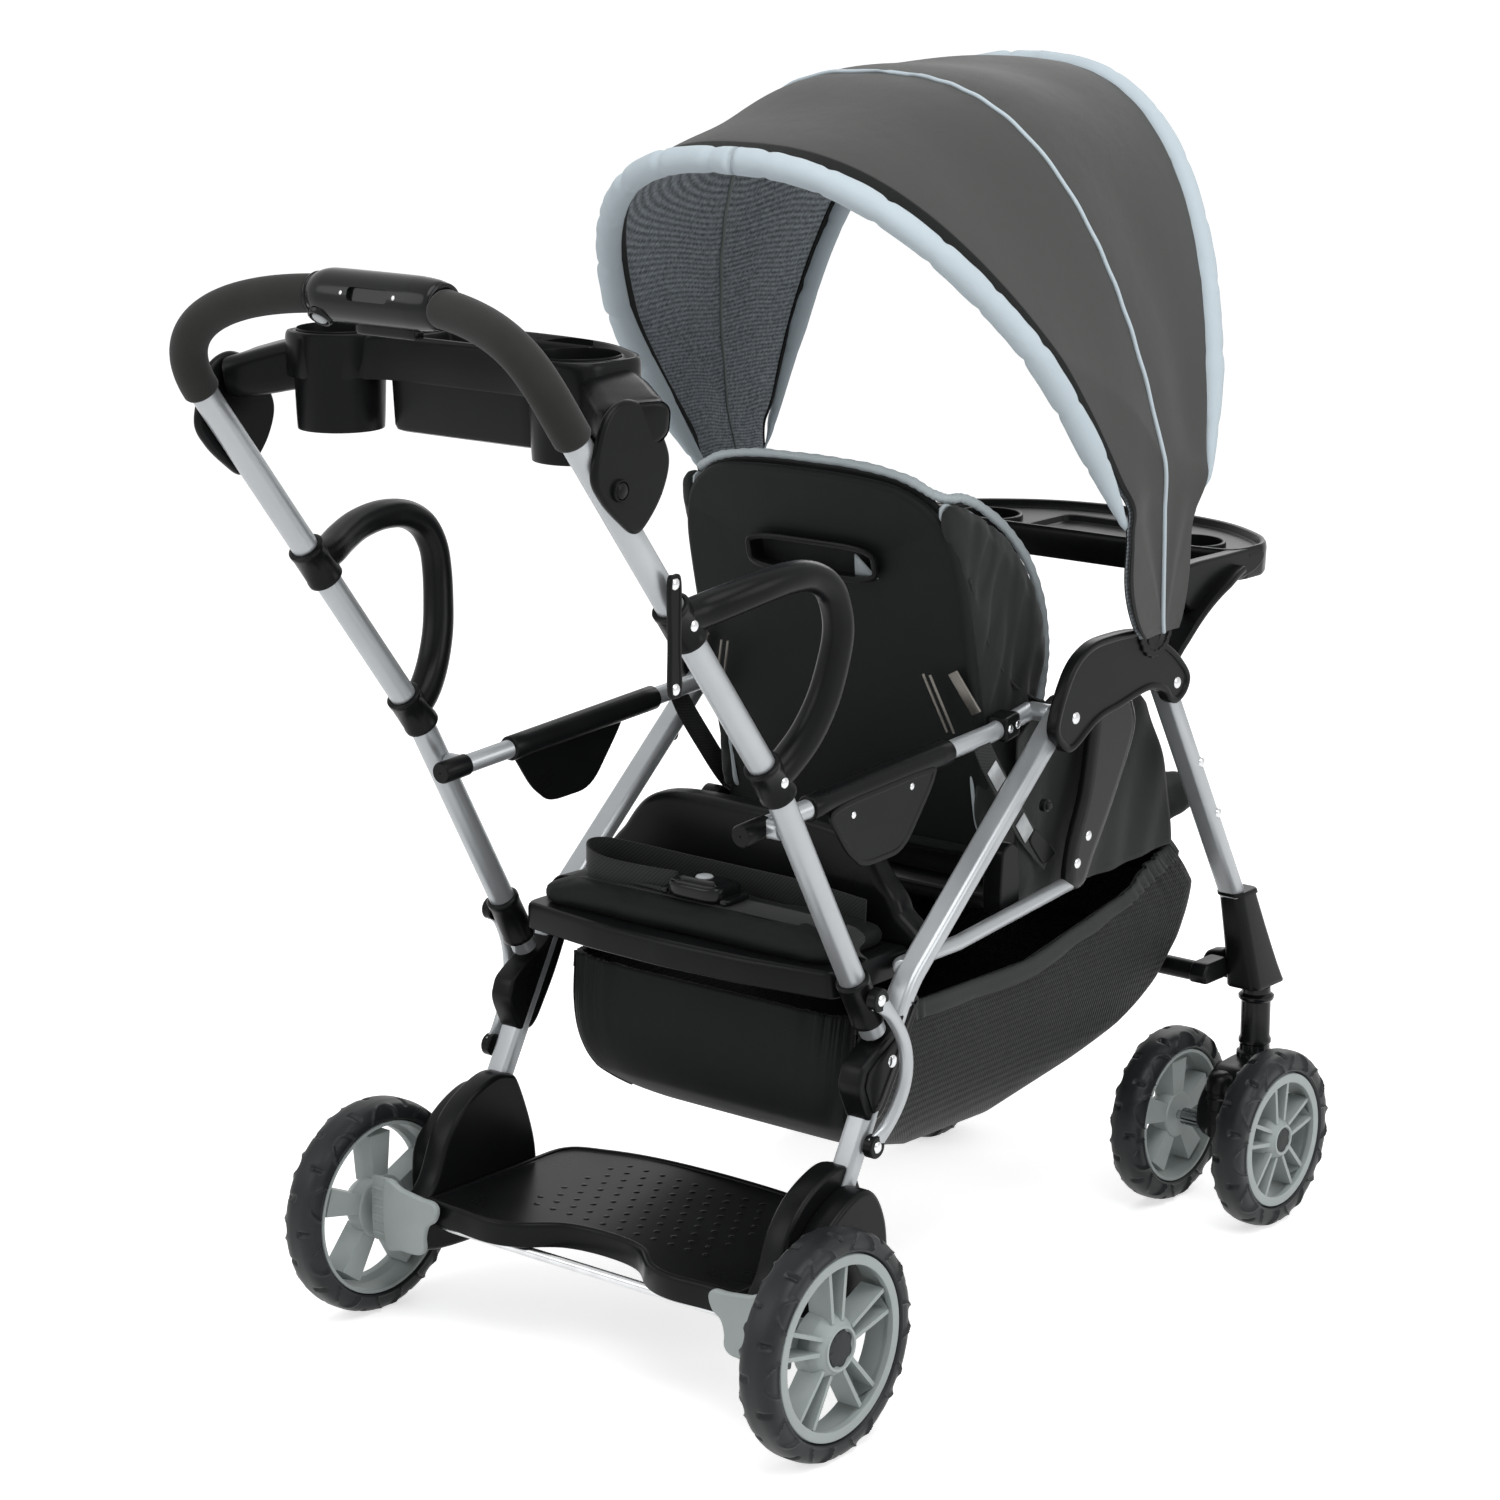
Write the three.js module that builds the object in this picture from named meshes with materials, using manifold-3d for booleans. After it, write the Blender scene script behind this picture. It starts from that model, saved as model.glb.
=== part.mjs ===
import * as THREE from 'three';
import { mergeVertices } from 'three/addons/utils/BufferGeometryUtils.js';
import Module from 'manifold-3d';

// A sit and stand stroller: one child sits in front under a canopy, a second one sits or stands behind.
// Millimetres, +Z up, the parent walks behind at +Y and pushes towards -Y.
// _left is the +X side and _right the -X side, as the parent sees them.

// Fits shared by every joint and seat.
const clearance = 0.3;
const boreClearance = 0.4;
const cutOverrun = 40;

// Main stance: tube plane, fold pivots and the two legs in side view (y, height).
const frameHalfWidth = 215;
const legWidth = 17;
const legCorner = 5;
const rearLegDepth = 26;
const footY = 215;
const footHeight = 125;
const kneeY = 72;
const kneeHeight = 380;
const hubY = -170;
const hubHeight = 589;
const kneeBend = 90;
const legClipLength = 24;
const legClipWall = 3;
const legClipDrop = 100;
const frontLegDepth = 28;
const frontPivotY = -347;
const frontPivotRise = 4;
const frontToeY = -517;
const frontToeHeight = 302;
const rivetRadius = 6;
const rivetHead = 2.5;

// Wheels.
const rearWheelRadius = 106;
const rearWheelWidth = 38;
const rearWheelX = 281;
const rearAxleY = 273;
const rearRimRadius = 86.4;
const rearRimInner = 75;
const rearHubRadius = 22;
const frontWheelRadius = 92.6;
const frontWheelWidth = 35;
const frontWheelSpread = 62;
const frontRimInner = 64;
const frontHubRadius = 17;
const spokeWidth = 5;
const spokeGap = 9;
const spokeThickness = 24;
const axleRadius = 5;
const capThickness = 3;
const capRadius = 20;

// Casters.
const stemX = 216.5;
const stemY = -546;
const stemRadius = 15.5;
const stemTop = 231;
const collarRadius = 19;
const collarHeight = 12;
const forkTop = 153;
const forkHalfWidth = 26;
const casterTrail = 66;
const forkLength = 98;
const forkHeight = 76;
const springRadius = 15;
const housingLength = 107;
const housingHeight = 114;
const housingHalfWidth = 19.5;
const footrestRadius = 11;
const footrestSetback = 64;

// Rear fenders, brake pedals and standing board.
const fenderInner = 196;
const fenderOuter = 249;
const fenderPocketInner = 222.5;
const fenderLength = 164;
const fenderHeight = 155;
const pedalHubRadius = 16;
const pedalInner = 223;
const pedalOuter = 260.5;
const pedalReach = 16;
const pedalThickness = 11;
const pedalLow = 26;
const pedalHigh = 44;
const pedalEdge = 4;
const boardHalfWidth = 195.4;
const boardTop = 136;
const boardBottom = 111.6;
const boardFront = 52;
const boardRear = 293;
const boardWall = 4;
const boardRibs = 3;

// Saddle where the handle tube lands on the rear leg.
const saddleHeightOnLeg = 316;
const saddleLength = 96;
const saddleHeight = 114;
const saddleWall = 4;

// Handle tube, foam, console.
const handleRadius = 12.5;
const stubY = 119.8;
const stubHeight = 344;
const gripY = 521;
const gripHeight = 939;
const bendY = 262;
const bendHeight = 600;
const handleBend = 260;
const barY = 528;
const barHeight = 1036;
const barHalf = 62;
const shoulderRise = 70;
const shoulderX = 178;
const shoulderY = 546;
const shoulderHeight = 1031;
const foamRadius = 16.5;
const foldPivotHeight = 556.5;
const socketRadius = 16;
const socketLow = 358;
const socketHigh = 402;
const consoleLeft = 61.6;
const consoleRight = 82;
const consoleRadius = 23;
const consoleEnd = 17.5;
const slotWidth = 52;
const slotHeight = 6;
const slotDepth = 3;
const buttonRadius = 7;
const buttonX = 46;
const buttonTravel = 3;
const buttonBase = 16.5;
const triggerLength = 68;
const triggerX = -20;
const triggerDepth = 15;
const triggerTravel = 4;
const triggerTop = 18.5;
const triggerBottom = 30;

// Curved links of the fold.
const linkLowY = 147;
const linkLowHeight = 246.4;
const linkHighHeight = 385;
const linkRadius = 6.35;
const linkBow = 70;
const linkFlare = 18;
const linkClipRadius = 11;
const linkClipOuter = 242;

// Side rails with their guards, lower rails and struts.
const railX = 181;
const railRadius = 9;
const railCapRadius = 10.5;
const railCapLength = 34;
const railTail = 30;
const railBendY = -106;
const railBendHeight = 578;
const railBoss = 9;
const guardRadius = 12.2;
const guardFront = -36;
const guardRear = 176;
const flapDrop = 72;
const flapThickness = 3;
const lowerRailX = 198.5;
const lowerRailRadius = 7.5;
const lowerRailRear = 66;
const lowerRailBendY = -32;
const lowerRailHeight = 391;
const lowerRailFront = -222;
const lowerRailRise = 19;
const strutInner = 196;
const strutOuter = 204.5;
const strutLength = 128;
const strutHeight = 202;

// Armrests that cover the fold hubs.
const armrestInner = 223.8;
const armrestOuter = 237;
const armrestLength = 233;
const armrestHeight = 102;
const armrestLip = 3.5;

// Parent tray.
const trayTop = 990;
const traySkirt = 950;
const trayCupBottom = 905;
const trayWall = 4;
const trayCupX = 138;
const trayCupY = 430;
const trayCupRadius = 37;
const trayHalfWidth = 181;
const trayFront = 335;
const trayBinHalf = 84;
const trayBinRear = 423;
const trayDish = 7;
const trayArmLow = 922;
const trayArmHigh = 948;
const earThickness = 5.8;
const earLength = 98;
const earHeight = 94;
const earHeightOnTube = 896;
const earBoss = 9;

// Side grips and storage latch.
const sideGripRadius = 14;
const sideGripReach = 68;
const sideGripSplay = 27;
const sideGripHigh = 783;
const sideGripLow = 611;
const sleeveRadius = 17;
const sleeveLength = 42;
const latchHeight = 810;
const latchLength = 104;
const latchWidth = 15;
const latchInner = 233;
const latchThickness = 5;

// Rear bench.
const panHalfWidth = 190.6;
const panFront = 8;
const panRear = 150;
const panBow = 16;
const panBottom = 376;
const panTop = 402;
const panWall = 5;
const upstandThickness = 30;
const upstandTop = 506;
const padHalfWidth = 180;
const padThickness = 14;
const padCrown = 9;
const padInset = 5;
const beltWidth = 38;
const beltThickness = 2.6;
const beltHalfLength = 168;
const buckleLength = 64;
const buckleWidth = 44;
const buckleHeight = 20;
const buckleButtonRadius = 9;
const buckleTravel = 3;

// Storage basket.
const basketHalfWidth = 180.5;
const basketRear = 101;
const basketTop = 346;
const basketLength = 582;
const basketHeight = 236;
const basketWall = 5;
const hangerWidth = 22;
const hangerThickness = 4;

// Front seat.
const seatHalfWidth = 167;
const seatPinRadius = 6;
const seatEarHalf = 14;
const seatHingeY = -130;
const seatHingeHeight = 452;
const seatTopY = -46;
const seatTopHeight = 815;
const seatThickness = 16;
const seatShoulderHalf = 95;
const seatShoulderDrop = 165;
const wingDepth = 118;
const wingThickness = 13;
const seatPadHalf = 150;
const seatPadThickness = 16;
const seatPadCrown = 10;
const seatPadLength = 300;
const seatBaseFront = -398;
const seatBaseBottom = 397;
const seatBaseTop = 436;
const seatDish = 12;
const seatFlange = 16;

// Child tray.
const childTop = 700;
const childBottom = 676;
const childCupBottom = 642;
const childCupX = 128;
const childCupY = -528;
const childCupRadius = 35;
const childHalfWidth = 206;
const childFront = -652;
const childDish = 8;
const childArmInner = 197.5;
const childArmHalf = 13;
const childCheekHeight = 54;
const childCheekThickness = 13;
const childElbowY = -413;
const childElbowHeight = 640;

// Canopy: three bows about one pivot, each a flattened arch.
const canopyPivotY = -303;
const canopyPivotRise = 66;
const canopyTip = 242;
const canopyWall = 3;
const canopyEyeRadius = 22;
const canopyEyeThickness = 7.5;
const canopyDiscRadius = 30;
const canopyDiscOuter = 238;
const trimRadius = 14;
const trimFootRadius = 3;
const trimTaperReach = 108;
const rearBowRadius = 594;
const rearBowHalf = 291.5;
const middleBowRadius = 549;
const middleBowHalf = 272.5;
const frontBowRadius = 542;
const frontBowHalf = 275;
const rearBowAngle = 51.4;
const middleBowAngle = 74.7;
const frontBowAngle = 102.2;
const rearBowPower = 2.52;
const middleBowPower = 2.71;
const frontBowPower = 2.49;
const rearBowTaperShare = 0.64;
const middleBowTaperShare = 0.33;
const frontBowTaperShare = 0.28;

// Outlines, as shares of the length and height of the piece, from the point that carries it.
const saddleOutlineShares = [
  [-0.47, 0.44], [-0.29, 0.54], [-0.22, 0.34], [-0.06, 0.21], [0.28, 0.09], [0.46, 0.01],
  [0.53, -0.14], [0.36, -0.46], [0.13, -0.44], [-0.18, -0.04],
];
const fenderOutlineShares = [
  [-0.87, -0.07], [-0.88, 0.28], [-0.75, 0.7], [-0.66, 0.79], [-0.51, 0.8], [-0.29, 0.7],
  [-0.13, 0.53], [-0.02, 0.28], [0.1, 0.12], [0.12, -0.12], [-0.14, -0.2], [-0.75, -0.2],
];
const armrestOutlineShares = [
  [0.15, -0.03], [0.09, -0.26], [0.01, -0.3], [-0.16, -0.1], [-0.32, -0.03], [-0.53, 0.05],
  [-0.65, -0.01], [-0.7, -0.12], [-0.76, -0.16], [-0.83, -0.07], [-0.85, 0.09], [-0.78, 0.28],
  [-0.67, 0.46], [-0.49, 0.66], [-0.25, 0.7], [-0.08, 0.65], [0.05, 0.44],
];
const strutOutlineShares = [
  [-0.22, 0.97], [-0.61, 0.97], [-0.78, 0.84], [-0.88, 0.67], [-0.53, 0.36], [-0.23, 0.11],
  [-0.09, -0.03], [0.12, 0], [0.08, 0.2], [-0.08, 0.45], [-0.17, 0.74],
];
const basketOutlineShares = [
  [0, 0], [0.03, -0.6], [-0.1, -0.68], [-0.35, -0.83], [-0.62, -0.73], [-0.82, -0.64],
  [-0.95, -0.48], [-1, -0.22], [-0.92, 0.11], [-0.81, 0.17], [-0.57, 0], [-0.21, 0],
];
const housingOutlineShares = [
  [0.71, 0.86], [0.6, 0.99], [0.23, 1], [0.01, 0.58], [-0.29, 0.07], [-0.24, 0], [0.3, 0],
  [0.43, 0.16], [0.62, 0.6],
];
const forkOutlineShares = [
  [-0.84, 0.78], [-0.51, 0.78], [-0.17, 0.75], [0.14, 0.33], [0.16, -0.01], [0, -0.22],
  [-0.17, -0.17], [-0.51, 0.33], [-0.8, 0.59],
];
const boardOutlineShares = [
  [0, 0], [0.46, 0.02], [0.77, 0.08], [0.97, 0.17], [1, 0.4], [1, 0.94], [0.94, 0.98],
  [0.78, 0.99], [0.57, 1], [0.41, 0.96], [0.23, 0.85], [0, 0.82],
];
const trayOutlineShares = [
  [0, 0], [0.5, 0.06], [0.8, 0.25], [0.98, 0.44], [1, 0.7], [0.97, 0.91], [0.8, 1],
  [0.6, 0.9], [0.47, 0.7], [0, 0.68],
];
const earOutlineShares = [
  [0.31, 0.1], [0.13, 0.31], [-0.17, 0.57], [-0.69, 0.41], [-0.63, 0.04], [-0.29, -0.43],
  [-0.07, -0.28],
];
const childOutlineShares = [
  [0, 1], [0.6, 1], [0.92, 0.96], [1, 0.8], [0.98, 0.56], [0.82, 0.32], [0.48, 0.08], [0, 0],
];
const upstandOutlineShares = [[-1, 0], [1, 0], [1, 0.34], [0.9, 0.56], [0.64, 0.95], [0, 1],
  [-0.64, 0.95], [-0.9, 0.56], [-1, 0.34],
];
const wingOutlineShares = [
  [0.1, 0.04], [0.12, 0.5], [0.1, 0.86], [-0.15, 0.83], [-0.55, 0.73], [-0.98, 0.58], [-1, 0.4],
  [-0.8, 0.16], [-0.45, 0.02],
];
const flapOutlineShares = [[0.95, 0.1], [0.8, -0.57], [0.68, -0.87], [0.39, -0.89], [0.18, -0.17],
  [0.14, 0.1],
];
const childCheekOutlineShares = [[0.16, 0.04], [0.16, 0.9], [0, 1], [-0.34, 0.86], [-0.72, 0.42], [-0.72, 0.04]];
const tyreOutlineShares = [
  [0, -0.78], [0.25, -1], [0.66, -0.92], [1, -0.34], [1, 0.34], [0.66, 0.92], [0.25, 1], [0, 0.78],
];
const casterTyreOutlineShares = [[0, -0.9], [0.6, -1], [1, -0.38], [1, 0.38], [0.6, 1], [0, 0.9]];
const sideGripRouteShares = [
  [0.2, 0.62, 1], [0.65, 0.98, 0.93], [0.97, 1, 0.72], [1, 0.75, 0.4], [0.7, 0.3, 0.17],
];

const wasm = await Module();
wasm.setup();

const xAxis = new THREE.Vector3(1, 0, 0);
const yAxis = new THREE.Vector3(0, 1, 0);
const zAxis = new THREE.Vector3(0, 0, 1);
const point = (x, y, z) => new THREE.Vector3(x, y, z);

// A closed mesh becomes a solid that can be joined and cut, its faces turned outwards.
function toSolid(geometry, matrix = new THREE.Matrix4()) {
  const bare = geometry.clone();
  for (const name of Object.keys(bare.attributes)) {
    if (name !== 'position') bare.deleteAttribute(name);
  }
  const merged = mergeVertices(bare);
  merged.applyMatrix4(matrix);
  const corners = merged.attributes.position;
  const index = merged.index.array;
  const faces = [];
  const a = new THREE.Vector3();
  const b = new THREE.Vector3();
  const c = new THREE.Vector3();
  let volume = 0;
  for (let i = 0; i < index.length; i += 3) {
    const [p, q, r] = [index[i], index[i + 1], index[i + 2]];
    if (p === q || q === r || r === p) continue;
    faces.push([p, q, r]);
    a.fromBufferAttribute(corners, p);
    b.fromBufferAttribute(corners, q);
    c.fromBufferAttribute(corners, r);
    volume += a.dot(b.cross(c));
  }
  const turned = volume < 0 ? faces.map(([p, q, r]) => [p, r, q]) : faces;
  return new wasm.Manifold(new wasm.Mesh({
    numProp: 3,
    vertProperties: new Float32Array(corners.array),
    triVerts: new Uint32Array(turned.flat()),
  }));
}

function toGeometry(solid) {
  const mesh = solid.getMesh();
  const geometry = new THREE.BufferGeometry();
  geometry.setAttribute('position', new THREE.BufferAttribute(new Float32Array(mesh.vertProperties), 3));
  geometry.setIndex(new THREE.BufferAttribute(new Uint32Array(mesh.triVerts), 1));
  geometry.computeVertexNormals();
  return geometry;
}

const join = (...solids) => solids.reduce((sum, next) => sum.add(next));
const carve = (solid, ...cutters) => cutters.reduce((left, cutter) => left.subtract(cutter), solid);
const flip = (solid) => toSolid(toGeometry(solid).scale(-1, 1, 1));

// Flat outlines: shares scaled to a piece, rounded corners, smooth loops, bands and insets.
const fromShares = (table, origin, length, height) =>
  table.map(([u, v]) => [origin[0] + u * length, origin[1] + v * height]);
const bothSides = (half) => [...half, ...half.slice(1, -1).reverse().map(([u, v]) => [-u, v])];

function ring(radius, sides, centre = [0, 0]) {
  return Array.from({ length: sides }, (_, i) => {
    const turn = (i / sides) * 2 * Math.PI;
    return [centre[0] + radius * Math.cos(turn), centre[1] + radius * Math.sin(turn)];
  });
}

function rounded(points, cutShare = 0.3, steps = 3) {
  const out = [];
  points.forEach((corner, i) => {
    const before = points[(i + points.length - 1) % points.length];
    const after = points[(i + 1) % points.length];
    const from = corner.map((v, k) => v + (before[k] - v) * cutShare);
    const to = corner.map((v, k) => v + (after[k] - v) * cutShare);
    for (let s = 0; s < steps; s += 1) {
      const t = s / (steps - 1);
      out.push(corner.map((v, k) => (1 - t) ** 2 * from[k] + 2 * t * (1 - t) * v + t * t * to[k]));
    }
  });
  return out;
}

function smooth(points, count) {
  const curve = new THREE.CatmullRomCurve3(points.map(([u, v]) => point(u, v, 0)), true, 'centripetal');
  return Array.from({ length: count }, (_, i) => {
    const p = curve.getPoint(i / count);
    return [p.x, p.y];
  });
}

function inset(points, distance) {
  const area = THREE.ShapeUtils.area(points.map(([u, v]) => new THREE.Vector2(u, v)));
  const side = Math.sign(area) * distance;
  return points.map((corner, i) => {
    const before = points[(i + points.length - 1) % points.length];
    const after = points[(i + 1) % points.length];
    const d1 = new THREE.Vector2(corner[0] - before[0], corner[1] - before[1]).normalize();
    const d2 = new THREE.Vector2(after[0] - corner[0], after[1] - corner[1]).normalize();
    const n1 = new THREE.Vector2(-d1.y, d1.x);
    const n2 = new THREE.Vector2(-d2.y, d2.x);
    const middle = n1.clone().add(n2);
    middle.multiplyScalar(side / Math.max(middle.dot(n1), 1 / 2));
    return [corner[0] + middle.x, corner[1] + middle.y];
  });
}

// A band of even width along bent lines, with round ends.
function band(points, half, endSteps = 4) {
  const lines = points.map(([u, v]) => new THREE.Vector2(u, v));
  const left = [];
  const right = [];
  lines.forEach((p, i) => {
    const before = lines[Math.max(i - 1, 0)];
    const after = lines[Math.min(i + 1, lines.length - 1)];
    const along = after.clone().sub(before).normalize();
    left.push([p.x - along.y * half, p.y + along.x * half]);
    right.unshift([p.x + along.y * half, p.y - along.x * half]);
  });
  const cap = (centre, start) => Array.from({ length: endSteps - 1 }, (_, i) => {
    const turn = start - ((i + 1) / endSteps) * Math.PI;
    return [centre.x + half * Math.cos(turn), centre.y + half * Math.sin(turn)];
  });
  const angleOf = (p, c) => Math.atan2(p[1] - c.y, p[0] - c.x);
  const last = lines[lines.length - 1];
  return [...left, ...cap(last, angleOf(left[left.length - 1], last)), ...right,
    ...cap(lines[0], angleOf(right[right.length - 1], lines[0]))];
}

const toShape = (points) => new THREE.Shape(points.map(([u, v]) => new THREE.Vector2(u, v)));

// Prisms: an outline (y, z) along X, (x, y) along Z and (x, z) along Y.
function slabX(points, from, to) {
  const geometry = new THREE.ExtrudeGeometry(toShape(points), { depth: to - from, bevelEnabled: false });
  const matrix = new THREE.Matrix4().makeBasis(yAxis, zAxis, xAxis).setPosition(from, 0, 0);
  return toSolid(geometry, matrix);
}

function slabZ(points, from, to) {
  const geometry = new THREE.ExtrudeGeometry(toShape(points), { depth: to - from, bevelEnabled: false });
  return toSolid(geometry, new THREE.Matrix4().setPosition(0, 0, from));
}

function slabY(points, from, to) {
  const geometry = new THREE.ExtrudeGeometry(toShape(points), { depth: to - from, bevelEnabled: false });
  const matrix = new THREE.Matrix4().makeBasis(xAxis, zAxis, yAxis.clone().negate()).setPosition(0, to, 0);
  return toSolid(geometry, matrix);
}

const block = (x0, x1, y0, y1, z0, z1) => slabX([[y0, z0], [y1, z0], [y1, z1], [y0, z1]], x0, x1);
const rodX = (y, z, radius, from, to, sides = 12) => slabX(ring(radius, sides, [y, z]), from, to);
const rodZ = (x, y, radius, from, to, sides = 20) => slabZ(ring(radius, sides, [x, y]), from, to);

// A profile (radius, x) turned about the X axis, with one corner of each circle straight down.
function turnX(profile, sides) {
  const geometry = new THREE.LatheGeometry(profile.map(([r, x]) => new THREE.Vector2(r, x)), sides);
  return toSolid(geometry, new THREE.Matrix4().makeBasis(yAxis, xAxis, zAxis.clone().negate()));
}

// A profile (radius, z) turned about a vertical axis.
function turnZ(profile, x, y, sides = 8) {
  const geometry = new THREE.LatheGeometry(profile.map(([r, z]) => new THREE.Vector2(r, z)), sides);
  const matrix = new THREE.Matrix4().makeBasis(yAxis, zAxis, xAxis).setPosition(x, y, 0);
  return toSolid(geometry, matrix);
}

// Tubes follow stations: points with the direction of the tube, close together only in the bends.
class Route extends THREE.Curve {
  constructor(stations) {
    super();
    this.stations = stations;
  }

  getPoint(t, target = new THREE.Vector3()) {
    const place = t * (this.stations.length - 1);
    const low = Math.min(Math.floor(place), this.stations.length - 2);
    return target.lerpVectors(this.stations[low].at, this.stations[low + 1].at, place - low);
  }

  getPointAt(t, target) {
    return this.getPoint(t, target);
  }

  getTangentAt(t, target = new THREE.Vector3()) {
    return target.copy(this.stations[Math.round(t * (this.stations.length - 1))].along);
  }
}

function bent(points, radius, steps = 4) {
  const first = points[1].clone().sub(points[0]).normalize();
  const stations = [{ at: points[0], along: first }];
  for (let i = 1; i < points.length - 1; i += 1) {
    const into = points[i].clone().sub(points[i - 1]);
    const out = points[i + 1].clone().sub(points[i]);
    const room = Math.min(into.length(), out.length()) / 2;
    into.normalize();
    out.normalize();
    const turn = into.angleTo(out);
    const reach = Math.min(radius * Math.tan(turn / 2), room);
    const r = reach / Math.tan(turn / 2);
    const inward = out.clone().addScaledVector(into, -Math.cos(turn)).normalize();
    const centre = points[i].clone().addScaledVector(into, -reach).addScaledVector(inward, r);
    for (let s = 0; s <= steps; s += 1) {
      const angle = (turn * s) / steps;
      const at = centre.clone().addScaledVector(inward, -r * Math.cos(angle))
        .addScaledVector(into, r * Math.sin(angle));
      const along = into.clone().multiplyScalar(Math.cos(angle)).addScaledVector(inward, Math.sin(angle));
      stations.push({ at, along });
    }
  }
  const end = points[points.length - 1];
  stations.push({ at: end, along: end.clone().sub(points[points.length - 2]).normalize() });
  return stations;
}

const along = (curve, steps) => Array.from({ length: steps + 1 }, (_, i) => (
  { at: curve.getPoint(i / steps), along: curve.getTangent(i / steps) }));

function sweep(stations, section) {
  return toSolid(new THREE.ExtrudeGeometry(toShape(section), {
    steps: stations.length - 1, extrudePath: new Route(stations), bevelEnabled: false,
  }));
}

// The hole that lets a round tube of this radius through a piece.
const around = (radius, sides) => (radius + clearance) / Math.cos(Math.PI / sides);
const tubeBetween = (a, b, radius, sides = 12) => sweep(bent([a, b], radius), ring(radius, sides));

// Rings of equal count joined one to the next, closed at both ends.
function loft(rings, matrix) {
  const count = rings[0].length;
  const corners = rings.flat();
  const faces = [];
  for (let i = 0; i < rings.length - 1; i += 1) {
    for (let k = 0; k < count; k += 1) {
      const p = i * count + k;
      const q = i * count + ((k + 1) % count);
      faces.push(p, q, q + count, p, q + count, p + count);
    }
  }
  const middleOf = (list) => list.reduce((sum, p) => sum.add(p), point(0, 0, 0)).divideScalar(count);
  [0, rings.length - 1].forEach((i) => {
    const centre = corners.push(middleOf(rings[i])) - 1;
    for (let k = 0; k < count; k += 1) {
      const p = i * count + k;
      const q = i * count + ((k + 1) % count);
      faces.push(...(i ? [p, q, centre] : [q, p, centre]));
    }
  });
  const geometry = new THREE.BufferGeometry().setFromPoints(corners);
  geometry.setIndex(faces);
  return toSolid(geometry, matrix);
}

// A cushion: sides drawn in at the seams and a crown on top, lying on z = 0 about its middle.
function cushion(halfLength, halfWidth, thickness, crown, drawIn, matrix) {
  const outline = (cut, z) => rounded([
    [halfLength - cut, halfWidth - cut], [cut - halfLength, halfWidth - cut],
    [cut - halfLength, cut - halfWidth], [halfLength - cut, cut - halfWidth],
  ], 0.14, 4).map(([x, y]) => point(x, y, z));
  const layers = [[1, 0], [0.3, 0.2], [0, 0.5], [0.3, 0.8], [1, 1]];
  const rings = layers.map(([cut, rise]) => outline(cut * drawIn, rise * thickness));
  const reach = Math.min(halfLength, halfWidth);
  const crownShares = [[0.3, 0.6], [0.6, 0.92], [0.85, 1]];
  crownShares.forEach(([cut, rise]) => rings.push(outline(cut * reach, thickness + rise * crown)));
  return loft(rings, matrix);
}

// Bodies: each moving one is a group at its pivot, and its pieces hang in it.
const stroller = new THREE.Group();

function body(parent, pivot) {
  const group = new THREE.Group();
  group.position.copy(pivot).sub(parent.userData.pivot ?? point(0, 0, 0));
  group.userData.pivot = pivot;
  parent.add(group);
  return group;
}

function add(group, name, solid, color, roughness, metalness) {
  const mesh = new THREE.Mesh(toGeometry(solid), new THREE.MeshStandardMaterial({ color, roughness, metalness }));
  mesh.name = name;
  group.add(mesh);
}

// A piece drawn in the frame of the whole stroller, hung in a body at its pivot.
function hang(group, name, solid, color, roughness = 0.5, metalness = 0) {
  add(group, name, solid, color, roughness, metalness);
  const pivot = group.userData.pivot ?? point(0, 0, 0);
  group.children[group.children.length - 1].geometry.translate(-pivot.x, -pivot.y, -pivot.z);
}

function hangPair(left, right, name, solid, color, roughness, metalness) {
  hang(left, `${name}_left`, solid, color, roughness, metalness);
  hang(right, `${name}_right`, flip(solid), color, roughness, metalness);
}

const silver = 0xa0a5a8;
const black = 0x1b1c1e;
const rimGrey = 0x8f9897;
const rubber = 0x2b2d2f;
const foam = 0x33322f;
const fabric = 0x1c1f1e;
const hood = 0x55544f;
const piping = 0xc8d3da;

const legInner = frameHalfWidth - legWidth / 2;
const legOuter = frameHalfWidth + legWidth / 2;
const rearAxleHeight = rearWheelRadius;
const frontAxleHeight = frontWheelRadius;

// Legs: oval tubes, the rear one bent at the knee.
function legSection(width, depth, grow) {
  const u = width / 2 + grow;
  const v = depth / 2 + grow;
  const k = legCorner;
  return [[u, v - k], [u - k, v], [k - u, v], [-u, v - k], [-u, k - v], [k - u, -v], [u - k, -v], [u, k - v]];
}
const frontPivotHeight = hubHeight + frontPivotRise;
const canopyPivotHeight = hubHeight + canopyPivotRise;
const rearLegRoute = bent([
  point(frameHalfWidth, footY, footHeight), point(frameHalfWidth, kneeY, kneeHeight),
  point(frameHalfWidth, hubY, hubHeight),
], kneeBend);
const rearLegSolid = (grow) => sweep(rearLegRoute, legSection(legWidth, rearLegDepth, grow));
const lowerSlope = (kneeY - footY) / (kneeHeight - footHeight);
const upperLeg = point(0, hubY - kneeY, hubHeight - kneeHeight).normalize();
const clipAt = point(frameHalfWidth, hubY, hubHeight).addScaledVector(upperLeg, -legClipDrop);
const legClip = sweep(
  bent([clipAt, clipAt.clone().addScaledVector(upperLeg, legClipLength)], kneeBend),
  legSection(legWidth, rearLegDepth, legClipWall),
);
const clipRivetAt = clipAt.clone().addScaledVector(upperLeg, legClipLength / 2);
const clipRivet = rodX(clipRivetAt.y, clipRivetAt.z, rivetRadius, legOuter, legOuter + legClipWall + rivetHead, 12);
const hubPin = rodX(hubY, hubHeight, railBoss, legInner, legOuter, 14);
hangPair(stroller, stroller, 'rear_leg', join(rearLegSolid(0), legClip, clipRivet, hubPin), silver, 0.35, 0.8);

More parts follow.
